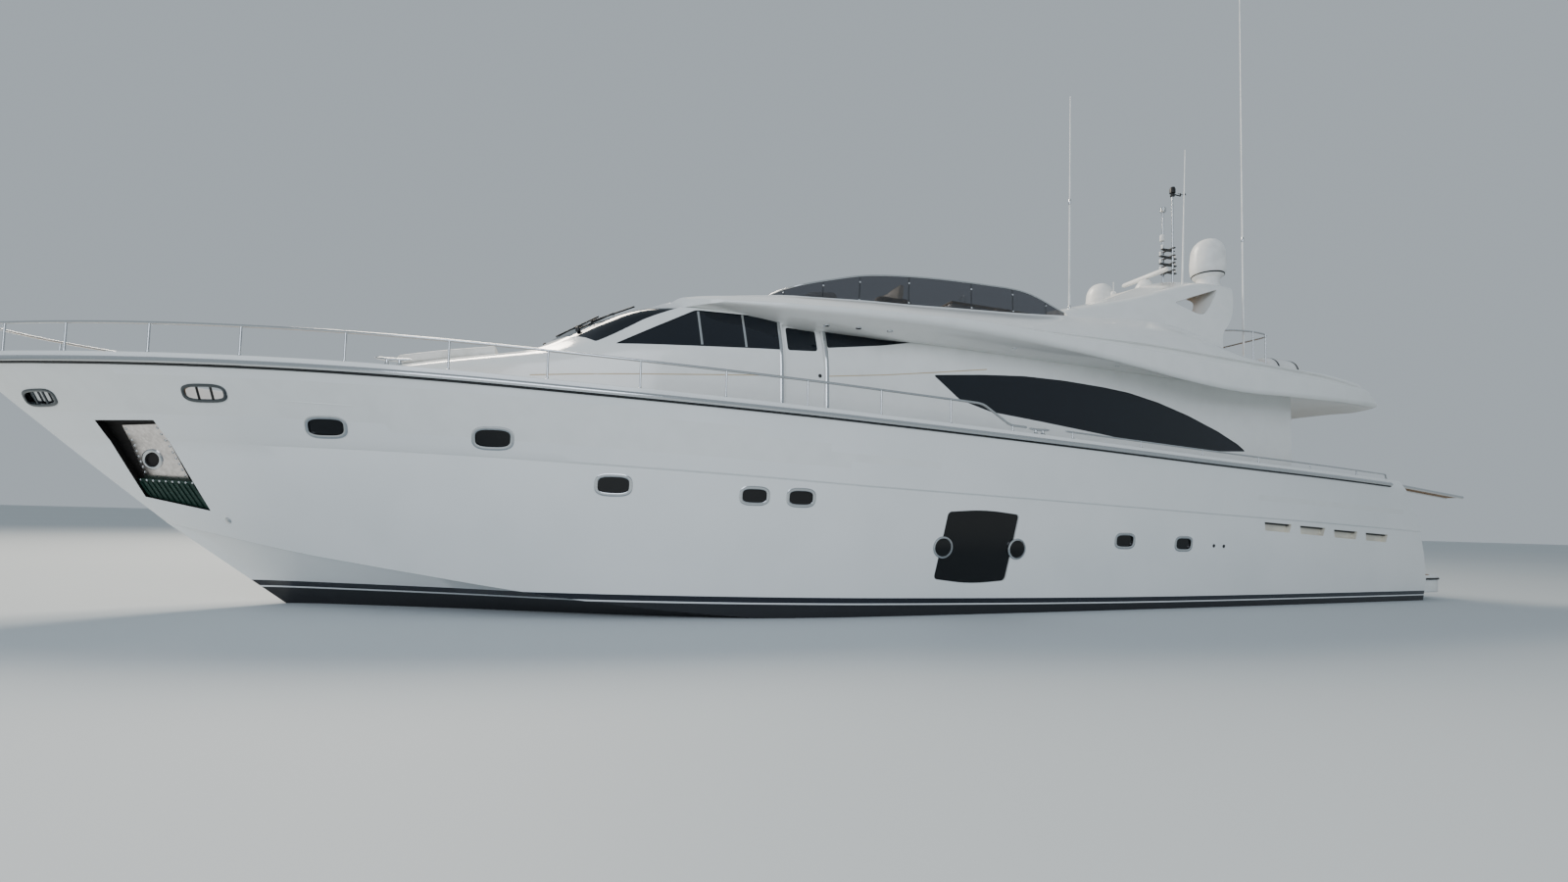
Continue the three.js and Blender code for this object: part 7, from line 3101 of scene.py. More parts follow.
    def build(self) -> None:
        """Makes all the rails."""
        self.bow()
        self.low()
        self.flybridge()


@dataclass
class Foredeck:
    """The gear on the foredeck: two windlasses, the hatch lid and the sunpad on the coachroof."""

    finishes: Finishes
    hull: Hull
    house: House

    def windlasses(self) -> None:
        """Makes the pair of windlasses, each with its drum and chain wheel, on one base plate."""
        deck = self.hull.foredeck_z
        steel = self.finishes.steel
        pieces = [block("base", (12.56, -0.30, deck - 0.02), (12.74, 0.30, deck + 0.11), steel, 0.02)]
        for y in (-0.38, 0.38):
            pieces.append(
                block(
                    "gearbox", (12.50, y - 0.13, deck - 0.02), (12.80, y + 0.13, deck + 0.13), steel, 0.03
                )
            )
            drum = [
                (0, 0), (0.118, 0), (0.122, 0.012), (0.112, 0.024), (0.075, 0.034), (0.07, 0.046),
                (0.098, 0.058), (0.103, 0.066),
                    (0.088, 0.075), (0.070, 0.10), (0.066, 0.13), (0.072, 0.16), (0.092, 0.178),
                    (0.096, 0.188), (0.080, 0.20),
                    (0.045, 0.206), (0.04, 0.212), (0, 0.212)]
            pieces.append(lathe("drum", drum, (12.65, y, deck + 0.118), steel, 48))
            for angle in full_turn(8):
                base = Vector((12.65 + 0.078 * math.cos(angle), y + 0.078 * math.sin(angle), deck + 0.215))
                pieces.append(
                    tube(
                        "whelp",
                        [base, base + Vector((-0.008 * math.cos(angle), -0.008 * math.sin(angle), 0.07))],
                        0.006, steel, 8
                    )
                )
            pieces.append(
                block(
                    "stopper", (12.90, y - 0.04, deck - 0.03), (13.02, y + 0.04, deck + 0.055), steel, 0.012
                )
            )
        for y in (-0.7, 0.7):
            pieces.append(
                lathe(
                    "deck_switch",
                    [(0, -0.03), (0.035, -0.03), (0.035, 0.008), (0.028, 0.012), (0.026, 0.018), (0, 0.02)],
                                (12.45, y, deck), self.finishes.dark, 24))
        fixed("windlass_pair", pieces, "steel", "windlasses")

    def lid(self) -> None:
        """Makes the hatch lid: a smoked pane in a frame, with its hinge and two handles."""
        deck = self.hull.foredeck_z
        low, high = deck + 0.101, deck + 0.133
        steel = self.finishes.steel
        rim = block("rim", (11.19, -0.33, low), (11.81, 0.33, high), steel, 0.010)
        carved(
            rim,
            [
                block(
                    "light", (11.23, -0.29, low - 0.1), (11.77, 0.29, high + 0.1),
                    self.finishes.rubber_black
                )
            ]
        )
        pane = block(
            "pane", (11.2305, -0.2895, low + 0.006), (11.7695, 0.2895, high - 0.008), self.finishes.smoked,
            0.004
        )
        barrel = tube(
            "barrel", [(11.18, -0.195, deck + 0.117), (11.18, 0.195, deck + 0.117)], HINGE_RADIUS, steel, 20
        )
        pieces = [softened(rim, 35), pane, barrel]
        for y in (-0.2, 0.2):
            pieces.append(
                lathe(
                    "latch", [(0, 0), (0.022, 0), (0.022, 0.006), (0.012, 0.012), (0, 0.012)],
                    (11.70, y, high - 0.0085), steel, 20
                )
            )
        finished(joined("foredeck_hatch_lid", pieces), Body.FORE_LID, "smoked", "foredeck_lid")

    def sunpad(self) -> None:
        """Makes the sunpad in three lengths, which follow the coachroof's crown."""
        half = lambda x: 0.90 + (9.5 - x) / 1.35 * 0.25
        pads = []
        for low, high in ((-1.0, -0.345), (-0.335, 0.335), (0.345, 1.0)):
            rings = []
            for k in range(13):
                x = 8.17 + 1.31 * k / 12
                across = [(low + (high - low) * j / 8) * half(x) for j in range(9)]
                rings.append(
                    [(x, y, self.house.roof_z(x, y) + 0.006) for y in across]
                    + [(x, y, self.house.roof_z(x, y) + 0.135) for y in reversed(across)]
                )
            pads.append(skinned("pad", rings, self.finishes.cover))
        made = puffed(joined("foredeck_sunpad_cover", pads), 0.030, 0.022)
        finished(made, Body.BOAT, "vinyl", "foredeck_sunpad")

    def build(self) -> None:
        """Makes the foredeck's gear."""
        self.windlasses()
        self.lid()
        self.sunpad()


def puffed(thing: Object, voxel: float = 0.030, cap: float = 0.020) -> Object:
    """Blows up cushions a little by simulating their cloth, so that they crown between their corners.

    Args:
        thing: Closed bodies a little smaller than the cushions.
        voxel: The size of the mesh; the cushions are a metre or two long, so it is a coarse one.
        cap: How far a point may move.

    Returns:
        The cushions as a plain mesh.
    """
    material = thing.data.materials[0]
    remesh = thing.modifiers.new("remesh", "REMESH")
    remesh.mode = "VOXEL"
    remesh.voxel_size = voxel
    evaluated(thing)
    thing.data.materials.clear()
    thing.data.materials.append(material)
    start = np.empty(len(thing.data.vertices) * 3)
    thing.data.vertices.foreach_get("co", start)
    cloth = thing.modifiers.new("cloth", "CLOTH")
    cloth.settings.quality = CLOTH_QUALITY
    cloth.settings.use_pressure = True
    cloth.settings.uniform_pressure_force = CLOTH_PRESSURE
    cloth.settings.effector_weights.gravity = 0
    cloth.point_cache.frame_start = 1
    cloth.point_cache.frame_end = CLOTH_FRAMES
    scene = bpy.context.scene
    for number in range(1, CLOTH_FRAMES + 1):
        scene.frame_set(number)
    graph = bpy.context.evaluated_depsgraph_get()
    blown = thing.evaluated_get(graph).data
    end = np.empty(len(start))
    blown.vertices.foreach_get("co", end)
    thing.modifiers.clear()
    scene.frame_set(1)
    moved = (end - start).reshape(-1, 3)
    far = np.linalg.norm(moved, axis=1, keepdims=True)
    moved *= np.minimum(1.0, cap / np.maximum(far, TINY))
    thing.data.vertices.foreach_set("co", (start.reshape(-1, 3) + moved).ravel())
    smooth = thing.modifiers.new("smooth", "SUBSURF")
    smooth.levels = 1
    smooth.render_levels = 1
    evaluated(thing)
    thing.data.shade_smooth()
    return thing


def cushion(low: Point, high: Point, material: Material) -> Object:
    """Makes the tight body that a cushion is blown up from.

    Args:
        low: The cushion's lowest corner.
        high: Its highest corner.
        material: The finish.

    Returns:
        The body, 12 mm smaller all round and rounded at its edges.
    """
    gap = 0.012
    return block("cushion", [v + gap for v in low], [v - gap for v in high], material, 0.03)


def welts(name: str, boxes: Sequence[tuple[Point, Point]], material: Material, around: Object) -> Object:
    """Makes the piping along the top edge of each cushion, laid on its cloth.

    Args:
        name: The piping's name.
        boxes: The lowest and highest corners of each cushion.
        material: The finish.
        around: The cushions.

    Returns:
        The piping.
    """
    mesh = around.data
    tree = BVHTree.FromPolygons(
        [v.co.copy() for v in mesh.vertices], [tuple(p.vertices) for p in mesh.polygons]
    )
    pieces = []
    for low, high in boxes:
        middle = (Vector(low) + Vector(high)) / 2
        wide, deep = (high[0] - low[0]) / 2, (high[1] - low[1]) / 2
        level = high[2] - WELT_BELOW_TOP
        path = []
        for angle in full_turn(60):
            c, s = math.cos(angle), math.sin(angle)
            edge = Vector((
                middle.x + wide * math.copysign(abs(c) ** 0.35, c) * 1.05,
                middle.y + deep * math.copysign(abs(s) ** 0.35, s) * 1.05, level
            ))
            aim = Vector((middle.x - edge.x, middle.y - edge.y, 0)).normalized()
            hit, _, _, _ = tree.ray_cast(edge, aim, 0.6)
            if hit is not None:
                path.append(hit)
        if len(path) > WELT_LEAST_POINTS:
            rings = []
            count = len(path)
            for k, point in enumerate(path):
                heading = (path[(k + 1) % count] - path[k - 1]).normalized()
                side = Vector((0, 0, 1)).cross(heading).normalized()
                rings.append(
                    [
                        point + side * (WELT_RADIUS * math.cos(a)) + Vector(
                            (0, 0, WELT_RADIUS * math.sin(a))
                        )
                        for a in full_turn(8)
                    ]
                )
            pieces.append(softened(ring_body("welt", rings, material), 60))
    return joined(name, pieces)


def upholstered(
    name: str, boxes: Sequence[tuple[Point, Point]], cover: Material, piping: Material, *nodes: str
) -> None:
    """Makes a set of cushions with their piping.

    Args:
        name: The set's name.
        boxes: The lowest and highest corners of each cushion.
        cover: The finish of the cushions.
        piping: The finish of the piping.
        *nodes: The CAD nodes that the set stands for.
    """
    made = puffed(joined(name, [cushion(low, high, cover) for low, high in boxes]))
    finished(made, Body.BOAT, "vinyl", *nodes)
    finished(welts(f"{name}_piping", boxes, piping, made), Body.BOAT, "vinyl")


def metre_boxes(rows: Sequence[Sequence[float]]) -> list[tuple[Point, Point]]:
    """Turns rows of aft, fore, right, left, foot and top in millimetres to corners in metres.

    Args:
        rows: The rows.

    Returns:
        The lowest and highest corner of each.
    """
    return [((a * MM, r * MM, f * MM), (b * MM, l * MM, t * MM)) for a, b, r, l, f, t in rows]


def flowing(points: Sequence[Sequence[float]], steps: int) -> list[tuple[float, ...]]:
    """Gives a smooth line through points with any count of numbers each.

    Args:
        points: The points.
        steps: How many steps each span has.

    Returns:
        The points of the line.
    """
    rows = [np.array(p, dtype=float) for p in points]
    out = []
    for i in range(len(rows) - 1):
        a, b = rows[i], rows[i + 1]
        before = rows[i - 1] if i else 2 * a - b
        after = rows[i + 2] if i + 2 < len(rows) else 2 * b - a
        for k in range(steps):
            t = k / steps
            bend = (2 * before - 5 * a + 4 * b - after) * t * t + (3 * a - before - 3 * b + after) * t**3
            out.append(0.5 * (2 * a + (b - before) * t + bend))
    out.append(rows[-1])
    return [tuple(float(v) for v in row) for row in out]


@dataclass
class FlyDeck:
    """All that stands on the flybridge: screen, helm, wheel, seats, table, bar, raft case and stair lid."""

    finishes: Finishes
    sole: float = FLY_SOLE_Z
    screen: Outline = (
        (4040, 0, 5075, 5215), (4020, 700, 5045, 5205), (3970, 1300, 5010, 5195), (3700, 1700, 5005, 5240),
        (3100, 1800, 5015, 5420), (2450, 1890, 5040, 5570), (1500, 2010, 5065, 5640), (300, 2120, 5110, 5650),
        (-550, 2170, 5160, 5600), (-1350, 2190, 5225, 5300),
    )
    wheel_at: Point = (2.79, 0.85, 5.18)
    boss_at: Point = (2.91, 0.85, 5.12)

    def windscreen(self) -> None:
        """Makes the smoked screen round the flybridge, with its steel top rail, its posts and its seal."""
        steel = self.finishes.steel
        port = metres(self.screen)
        other = [(x, -y, foot, head) for x, y, foot, head in reversed(port[1:])]
        line = flowing(other + port, 8)
        feet, heads, ways = [], [], []
        for k, (x, y, foot, head) in enumerate(line):
            x0, y0, _, _ = line[max(k - 1, 0)]
            x1, y1, _, _ = line[min(k + 1, len(line) - 1)]
            ahead = Vector((x1 - x0, y1 - y0, 0)).normalized()
            away = Vector((ahead.y, -ahead.x, 0))
            away = away if away.dot(Vector((x - 1.5, y, 0))) > 0 else -away
            lean = (head - foot) * 0.25
            feet.append(Vector((x, y, foot - 0.05)))
            heads.append(Vector((x - lean * 0.6, y - math.copysign(lean, y) * min(1.0, abs(y) / 0.5), head)))
            ways.append(away)
        rings = [[f, h, h - w * 0.012, f - w * 0.012] for f, h, w in zip(feet, heads, ways)]
        pane = softened(skinned("flybridge_screen", rings, self.finishes.smoked), 40)
        finished(pane, Body.BOAT, "smoked", "fly_windscreen")
        parts = [
            tube(
                "top_rail", [h - w * 0.006 + Vector((0, 0, 0.004)) for h, w in zip(heads, ways)], 0.014,
                steel, 12
            )
        ]
        middle = len(line) // 2
        count = len(port) - 1
        for side in (-1, 1):
            for step in (8, 20, 30, 38, 46, 54, 61, 68):
                k = middle + side * step
                if not 0 < k < len(line) - 1 or step > count * 8 - 2:
                    continue
                inner_foot, inner_head = feet[k] - ways[k] * 0.022 - Vector(
                    (0, 0, 0.02)
                ), heads[k] - ways[k] * 0.022
                parts.append(tube("post", [inner_foot, inner_head], 0.011, steel, 10))
                for t in (0.2, 0.8):
                    place = feet[k].lerp(heads[k], t)
                    button = [(0, -0.012), (0.014, -0.012), (0.015, 0.004), (0.010, 0.008), (0, 0.009)]
                    parts.append(lathe("button", button, place, steel, 16, ways[k]))
        fixed("flybridge_screen_rail", parts, "steel")
        low = []
        for f, w in zip(feet, ways):
            base = f + Vector((0, 0, 0.038))
            low.append(
                [
                    base + w * 0.010, base + w * 0.010 + Vector((0, 0, 0.03)),
                    base - w * 0.022 + Vector((0, 0, 0.03)), base - w * 0.022
                ]
            )
        finished(
            softened(skinned("flybridge_screen_seal", low, self.finishes.rubber_black), 40), Body.BOAT,
            "dark"
        )

    def covers(self) -> None:
        """Makes the two folded canvas covers that lie inside the screen, each as a creased roll."""
        for name, aft, fore, out, level, reach in (
            ("long", 1.60, 2.28, 1.78, 5.115, 0.085), ("short", -0.36, -0.04, 1.93, 5.19, 0.07)
        ):
            rings = []
            count = 26
            for k in range(count + 1):
                t = k / count
                x = aft + (fore - aft) * t
                y = out - 0.10 * t * (fore - aft)
                swell = 1 + 0.08 * math.sin(9 * t) + 0.05 * math.sin(23 * t + 1)
                tip = math.sqrt(max(0.02, 1 - (2 * t - 1) ** 8))
                ring = []
                for a in full_turn(28):
                    fold = 1 + 0.07 * math.sin(3 * a + 4 * t) + 0.05 * math.sin(7 * a - 6 * t)
                    ring.append(
                        (
                            x, y - reach * 0.9 * swell * tip * fold * math.cos(a),
                            level + reach * tip * (1.25 * fold * math.sin(a) + 0.25)
                        )
                    )
                rings.append(ring)
            roll = softened(skinned(f"folded_cover_{name}", rings, self.finishes.canvas), 60)
            finished(roll, Body.BOAT, "vinyl")

    def helm(self) -> None:
        """Makes the helm console with its screens, switches and levers, and the wheel's boss."""
        white, dark, glass = self.finishes.gelcoat, self.finishes.dark, self.finishes.black_glass
        corners = [(3.8, 4.50), (3.8, 4.9), (3.35, 5.25), (2.9, 5.30), (2.75, 5.05), (2.85, 4.50)]
        outline = soft_outline(corners, [0, 0.08, 0.08, 0.06, 0.05, 0], 5)
        body = sheeted("console", outline, 0.25, 1.45, white, 0.03, 1)
        pieces = [body]
        slope = math.atan2(5.25 - 5.30, 3.35 - 2.9)
        at = lambda t, y, up: Vector((2.93 + 0.40 * t, y, 5.30 - 0.045 * t + up))
        tilt = Matrix.Rotation(-slope, 4, "Y")
        for y, wide in ((0.52, 0.36), (1.18, 0.36)):
            face = block("display", (-0.12, -wide / 2, 0), (0.12, wide / 2, 0.02), dark, 0.008)
            pane = block(
                "pane", (-0.10, -wide / 2 + 0.02, 0.017), (0.10, wide / 2 - 0.02, 0.0225), glass, 0.002
            )
            for part in (face, pane):
                part.data.transform(Matrix.Translation(at(0.5, y, 0.0)) @ tilt)
                pieces.append(part)
        for k in range(4):
            dial = lathe(
                "dial", [(0, 0), (0.045, 0), (0.046, 0.01), (0.038, 0.014), (0.036, 0.008), (0, 0.008)],
                         at(0.85, 0.74 + 0.075 * k, 0.0), dark if k % 2 else self.finishes.steel, 28)
            pieces.append(dial)
        for k in range(8):
            y = 0.66 + 0.052 * k
            pieces.append(
                block(
                    "switch", tuple(at(0.08, y - 0.012, 0.0)),
                    tuple(at(0.08, y + 0.012, 0.0) + Vector((0.03, 0, 0.018))), dark, 0.003
                )
            )
        for y in (0.40, 0.46):
            base = at(0.1, y - 0.03, 0.0)
            pieces.append(
                lathe(
                    "lever_foot", [(0, 0), (0.024, 0), (0.02, 0.02), (0, 0.022)], base, self.finishes.steel,
                    20
                )
            )
            pieces.append(
                tube("lever", [base, base + Vector((0.02, 0, 0.12))], 0.008, self.finishes.steel, 12)
            )
            pieces.append(
                lathe(
                    "knob", [(0, 0), (0.015, 0.006), (0.018, 0.018), (0.012, 0.03), (0, 0.033)],
                    base + Vector((0.02, 0, 0.115)), dark, 20
                )
            )
        aim = Vector(self.wheel_at) - Vector(self.boss_at)
        pieces.append(
            lathe(
                "boss",
                [(0, 0), (0.05, 0.0), (0.045, 0.03), (0.028, 0.05), (0.028, aim.length), (0, aim.length)],
                            self.boss_at, self.finishes.steel, 32, aim.normalized()))
        fixed("helm_console", pieces, "gelcoat", "fly_helm")

    def wheel(self) -> None:
        """Makes the wheel: a padded rim on three spokes."""
        turn = math.atan2(0.12, 0.06)
        centre = Vector(self.wheel_at) + Vector((-0.021 * math.sin(turn), 0, 0.021 * math.cos(turn)))
        axis = Vector((-math.sin(turn), 0, math.cos(turn)))
        place = Matrix.Translation(centre) @ Vector((0, 0, 1)).rotation_difference(axis).to_matrix().to_4x4()
        rings = []
        for a in full_turn(60):
            grip = 0.0138 * (1 + 0.03 * math.sin(20 * a))
            ring = []
            for b in full_turn(14):
                out = 0.21 + grip * math.cos(b)
                ring.append(Vector((out * math.cos(a), out * math.sin(a), grip * math.sin(b))))
            rings.append(ring)
        parts = [softened(ring_body("rim", rings, self.finishes.dark), 60)]
        for a in full_turn(3):
            tip = Vector((0.205 * math.cos(a), 0.205 * math.sin(a), 0))
            parts.append(
                tube(
                    "spoke", [Vector((0, 0, 0)), tip * 0.5 + Vector((0, 0, 0.004)), tip], 0.0088,
                    self.finishes.steel, 12
                )
            )
        hub = [(0, -0.02), (0.032, -0.02), (0.034, 0.0), (0.030, 0.010), (0.012, 0.0125), (0, 0.0125)]
        parts.append(lathe("hub", hub, (0, 0, 0), self.finishes.steel, 32))
        made = joined("steering_wheel", parts)
        made.data.transform(place)
        finished(made, Body.WHEEL, "dark", "fly_wheel")

    def seats(self) -> None:
        """Makes the helm seat and the settee: cushions on moulded bases."""
        white, steel = self.finishes.gelcoat, self.finishes.steel
        upholstered("helm_seat_cushions", metre_boxes([
            (1605, 2120, 350, 845, 5010, 5140), (1605, 2120, 855, 1350, 5010, 5140),
            (1480, 1600, 350, 845, 5020, 5700), (1480, 1600, 855, 1350, 5020, 5700),
        ]), self.finishes.vinyl, self.finishes.piping, "helm_seat")
        pedestal = [
            (0, 0), (0.16, 0), (0.16, 0.012), (0.075, 0.03), (0.07, 0.05), (0.07, 0.44), (0.11, 0.46),
            (0.11, 0.475), (0, 0.475)
        ]
        pieces = [lathe("pedestal", pedestal, (1.85, 0.85, self.sole - 0.002), steel, 40)]
        pieces.append(block("pan", (1.62, 0.38, 5.005), (2.08, 1.32, 5.022), white, 0.006))
        fixed("helm_seat_pedestal", pieces, "steel")
        base = metre_boxes([
            (-1400, 900, -1950, -1350, 4530, 4860), (-1400, -800, -1352, -300, 4530, 4860),
            (300, 900, -1352, -300, 4530, 4860),
        ])
        box = joined("settee_base", [block("base", low, high, white, 0.015) for low, high in base])
        finished(box, Body.BOAT, "gelcoat")
        upholstered("settee_cushions", metre_boxes([
            (-1400, -805, -1745, -1250, 4865, 4990), (-795, 295, -1745, -1350, 4865, 4990),
            (305, 900, -1745, -1250, 4865, 4990),
            (-1400, -805, -1240, -300, 4865, 4990), (305, 900, -1240, -300, 4865, 4990),
            (-1400, -645, -1950, -1755, 4865, 5140), (-635, 125, -1950, -1755, 4865, 5140),
            (135, 900, -1950, -1755, 4865, 5140),
        ]), self.finishes.vinyl, self.finishes.piping, "fly_settee")

    def furniture(self) -> None:
        """Makes the teak table, the bar with its sink and fridge front, and the raft case on its cradle."""
        teak, steel, white = self.finishes.teak, self.finishes.steel, self.finishes.gelcoat
        plan = soft_outline([(-0.7, -1.2), (0.2, -1.2), (0.2, -0.4), (-0.7, -0.4)], [0.1] * 4, 6)
        top = sheeted("top", plan, 5.2, 5.245, teak, 0.008)
        leg = [
            (0, 0), (0.17, 0), (0.17, 0.012), (0.06, 0.03), (0.045, 0.06), (0.045, 0.62), (0.12, 0.65),
            (0.12, 0.662), (0, 0.662)
        ]
        finished(
            joined(
                "flybridge_table", [top, lathe("leg", leg, (-0.25, -0.8, self.sole - 0.002), steel, 40)]
            ),
            Body.BOAT, "teak", "fly_table"
        )
        bar = [
            block("bar", (-0.9, 1.15, 4.53), (0.8, 1.8, 5.31), white, 0.03),
            block("top", (-0.9, 1.15, 5.308), (0.8, 1.8, 5.348), self.finishes.beige, 0.012)
        ]
        for low, high in ((-0.84, -0.32), (-0.28, 0.24), (0.28, 0.76)):
            bar.append(block("door", (low, 1.138, 4.64), (high, 1.155, 5.22), white, 0.006))
            bar.append(
                tube(
                    "pull",
                    [((low + high) / 2 - 0.06, 1.128, 5.16), ((low + high) / 2 + 0.06, 1.128, 5.16)], 0.006,
                    steel, 10
                )
            )
        bar.append(
            lathe(
                "sink_rim", [(0, 0), (0.17, 0), (0.175, 0.004), (0.15, 0.006), (0.145, 0.002), (0, 0.002)],
                (0.45, 1.45, 5.347), steel, 40
            )
        )
        bar.append(
            tube(
                "tap",
                rounded(
                    [(0.45, 1.70, 5.34), (0.45, 1.70, 5.52), (0.45, 1.56, 5.52), (0.45, 1.55, 5.47)],
                    [0, 0.05, 0.03, 0], 6
                ),
                0.009, steel, 12
            )
        )
        bar.append(block("grill", (-0.75, 1.25, 5.347), (-0.15, 1.70, 5.36), self.finishes.dark, 0.006))
        fixed("flybridge_bar", bar, "gelcoat", "fly_bar")
        profile = [
            (0, 0), (0.16, 0.0), (0.235, 0.012), (0.285, 0.05), (0.305, 0.11), (0.309, 0.47),
            (0.316, 0.475), (0.316, 0.525), (0.309, 0.53), (0.305, 0.89), (0.285, 0.95), (0.235, 0.988),
            (0.16, 1.0), (0, 1.0)
        ]
        case = [lathe("case", profile, (-7.9, 1.85, 4.86), self.finishes.plastic, 56, (1, 0, 0))]
        band = [(0.3105, 0), (0.3125, 0), (0.3125, 0.045), (0.3105, 0.045), (0.3105, 0)]
        for x in (-7.72, -7.13):
            case.append(hollow_lathe("band", band, (x, 1.85, 4.86), self.finishes.dark, (1, 0, 0), 56))
            case.append(block("buckle", (x + 0.002, 1.83, 5.165), (x + 0.043, 1.87, 5.185), steel, 0.004))
        for x in (-7.72, -7.16):
            line = [(1.62, 4.53), (2.08, 4.53), (2.08, 4.75)] + [
                (1.85 + 0.312 * math.cos(a), 4.86 + 0.312 * math.sin(a))
                for a in (math.radians(-42 - 12 * k) for k in range(9))
            ] + [(1.62, 4.75)]
            case.append(softened(prism("cradle", line, 0, x, x + 0.08, self.finishes.plastic), 35))
        fixed("liferaft_case", case, "plastic", "raft_case")

    def lid(self) -> None:
        """Makes the smoked lid over the stair with its frame and handle, and the socket of its hinge."""
        steel = self.finishes.steel
        rim = block("rim", (-8.39, -2.206, 4.574), (-7.11, -1.44, 4.61), steel, 0.008)
        carved(rim, [block("light", (-8.34, -2.15, 4.4), (-7.16, -1.49, 4.8), self.finishes.rubber_black)])
        pane = block(
            "pane", (-8.3395, -2.1495, 4.580), (-7.1605, -1.4905, 4.600), self.finishes.smoked, 0.004
        )
        barrel = tube("barrel", [(-8.389, -2.21, 4.582), (-7.111, -2.21, 4.582)], HINGE_RADIUS, steel, 24)
        handle = tube(
            "handle",
            rounded(
                [(-7.85, -1.47, 4.60), (-7.85, -1.47, 4.64), (-7.65, -1.47, 4.64), (-7.65, -1.47, 4.60)],
                [0, 0.02, 0.02, 0], 5
            ),
            0.008, steel, 12
        )
        finished(
            joined("stair_hatch_lid", [softened(rim, 35), pane, barrel, handle]), Body.STAIR_LID, "smoked",
            "stair_lid"
        )

    def build(self) -> None:
        """Makes everything on the flybridge."""
        self.windscreen()
        self.covers()
        self.helm()
        self.wheel()
        self.seats()
        self.furniture()
        self.lid()


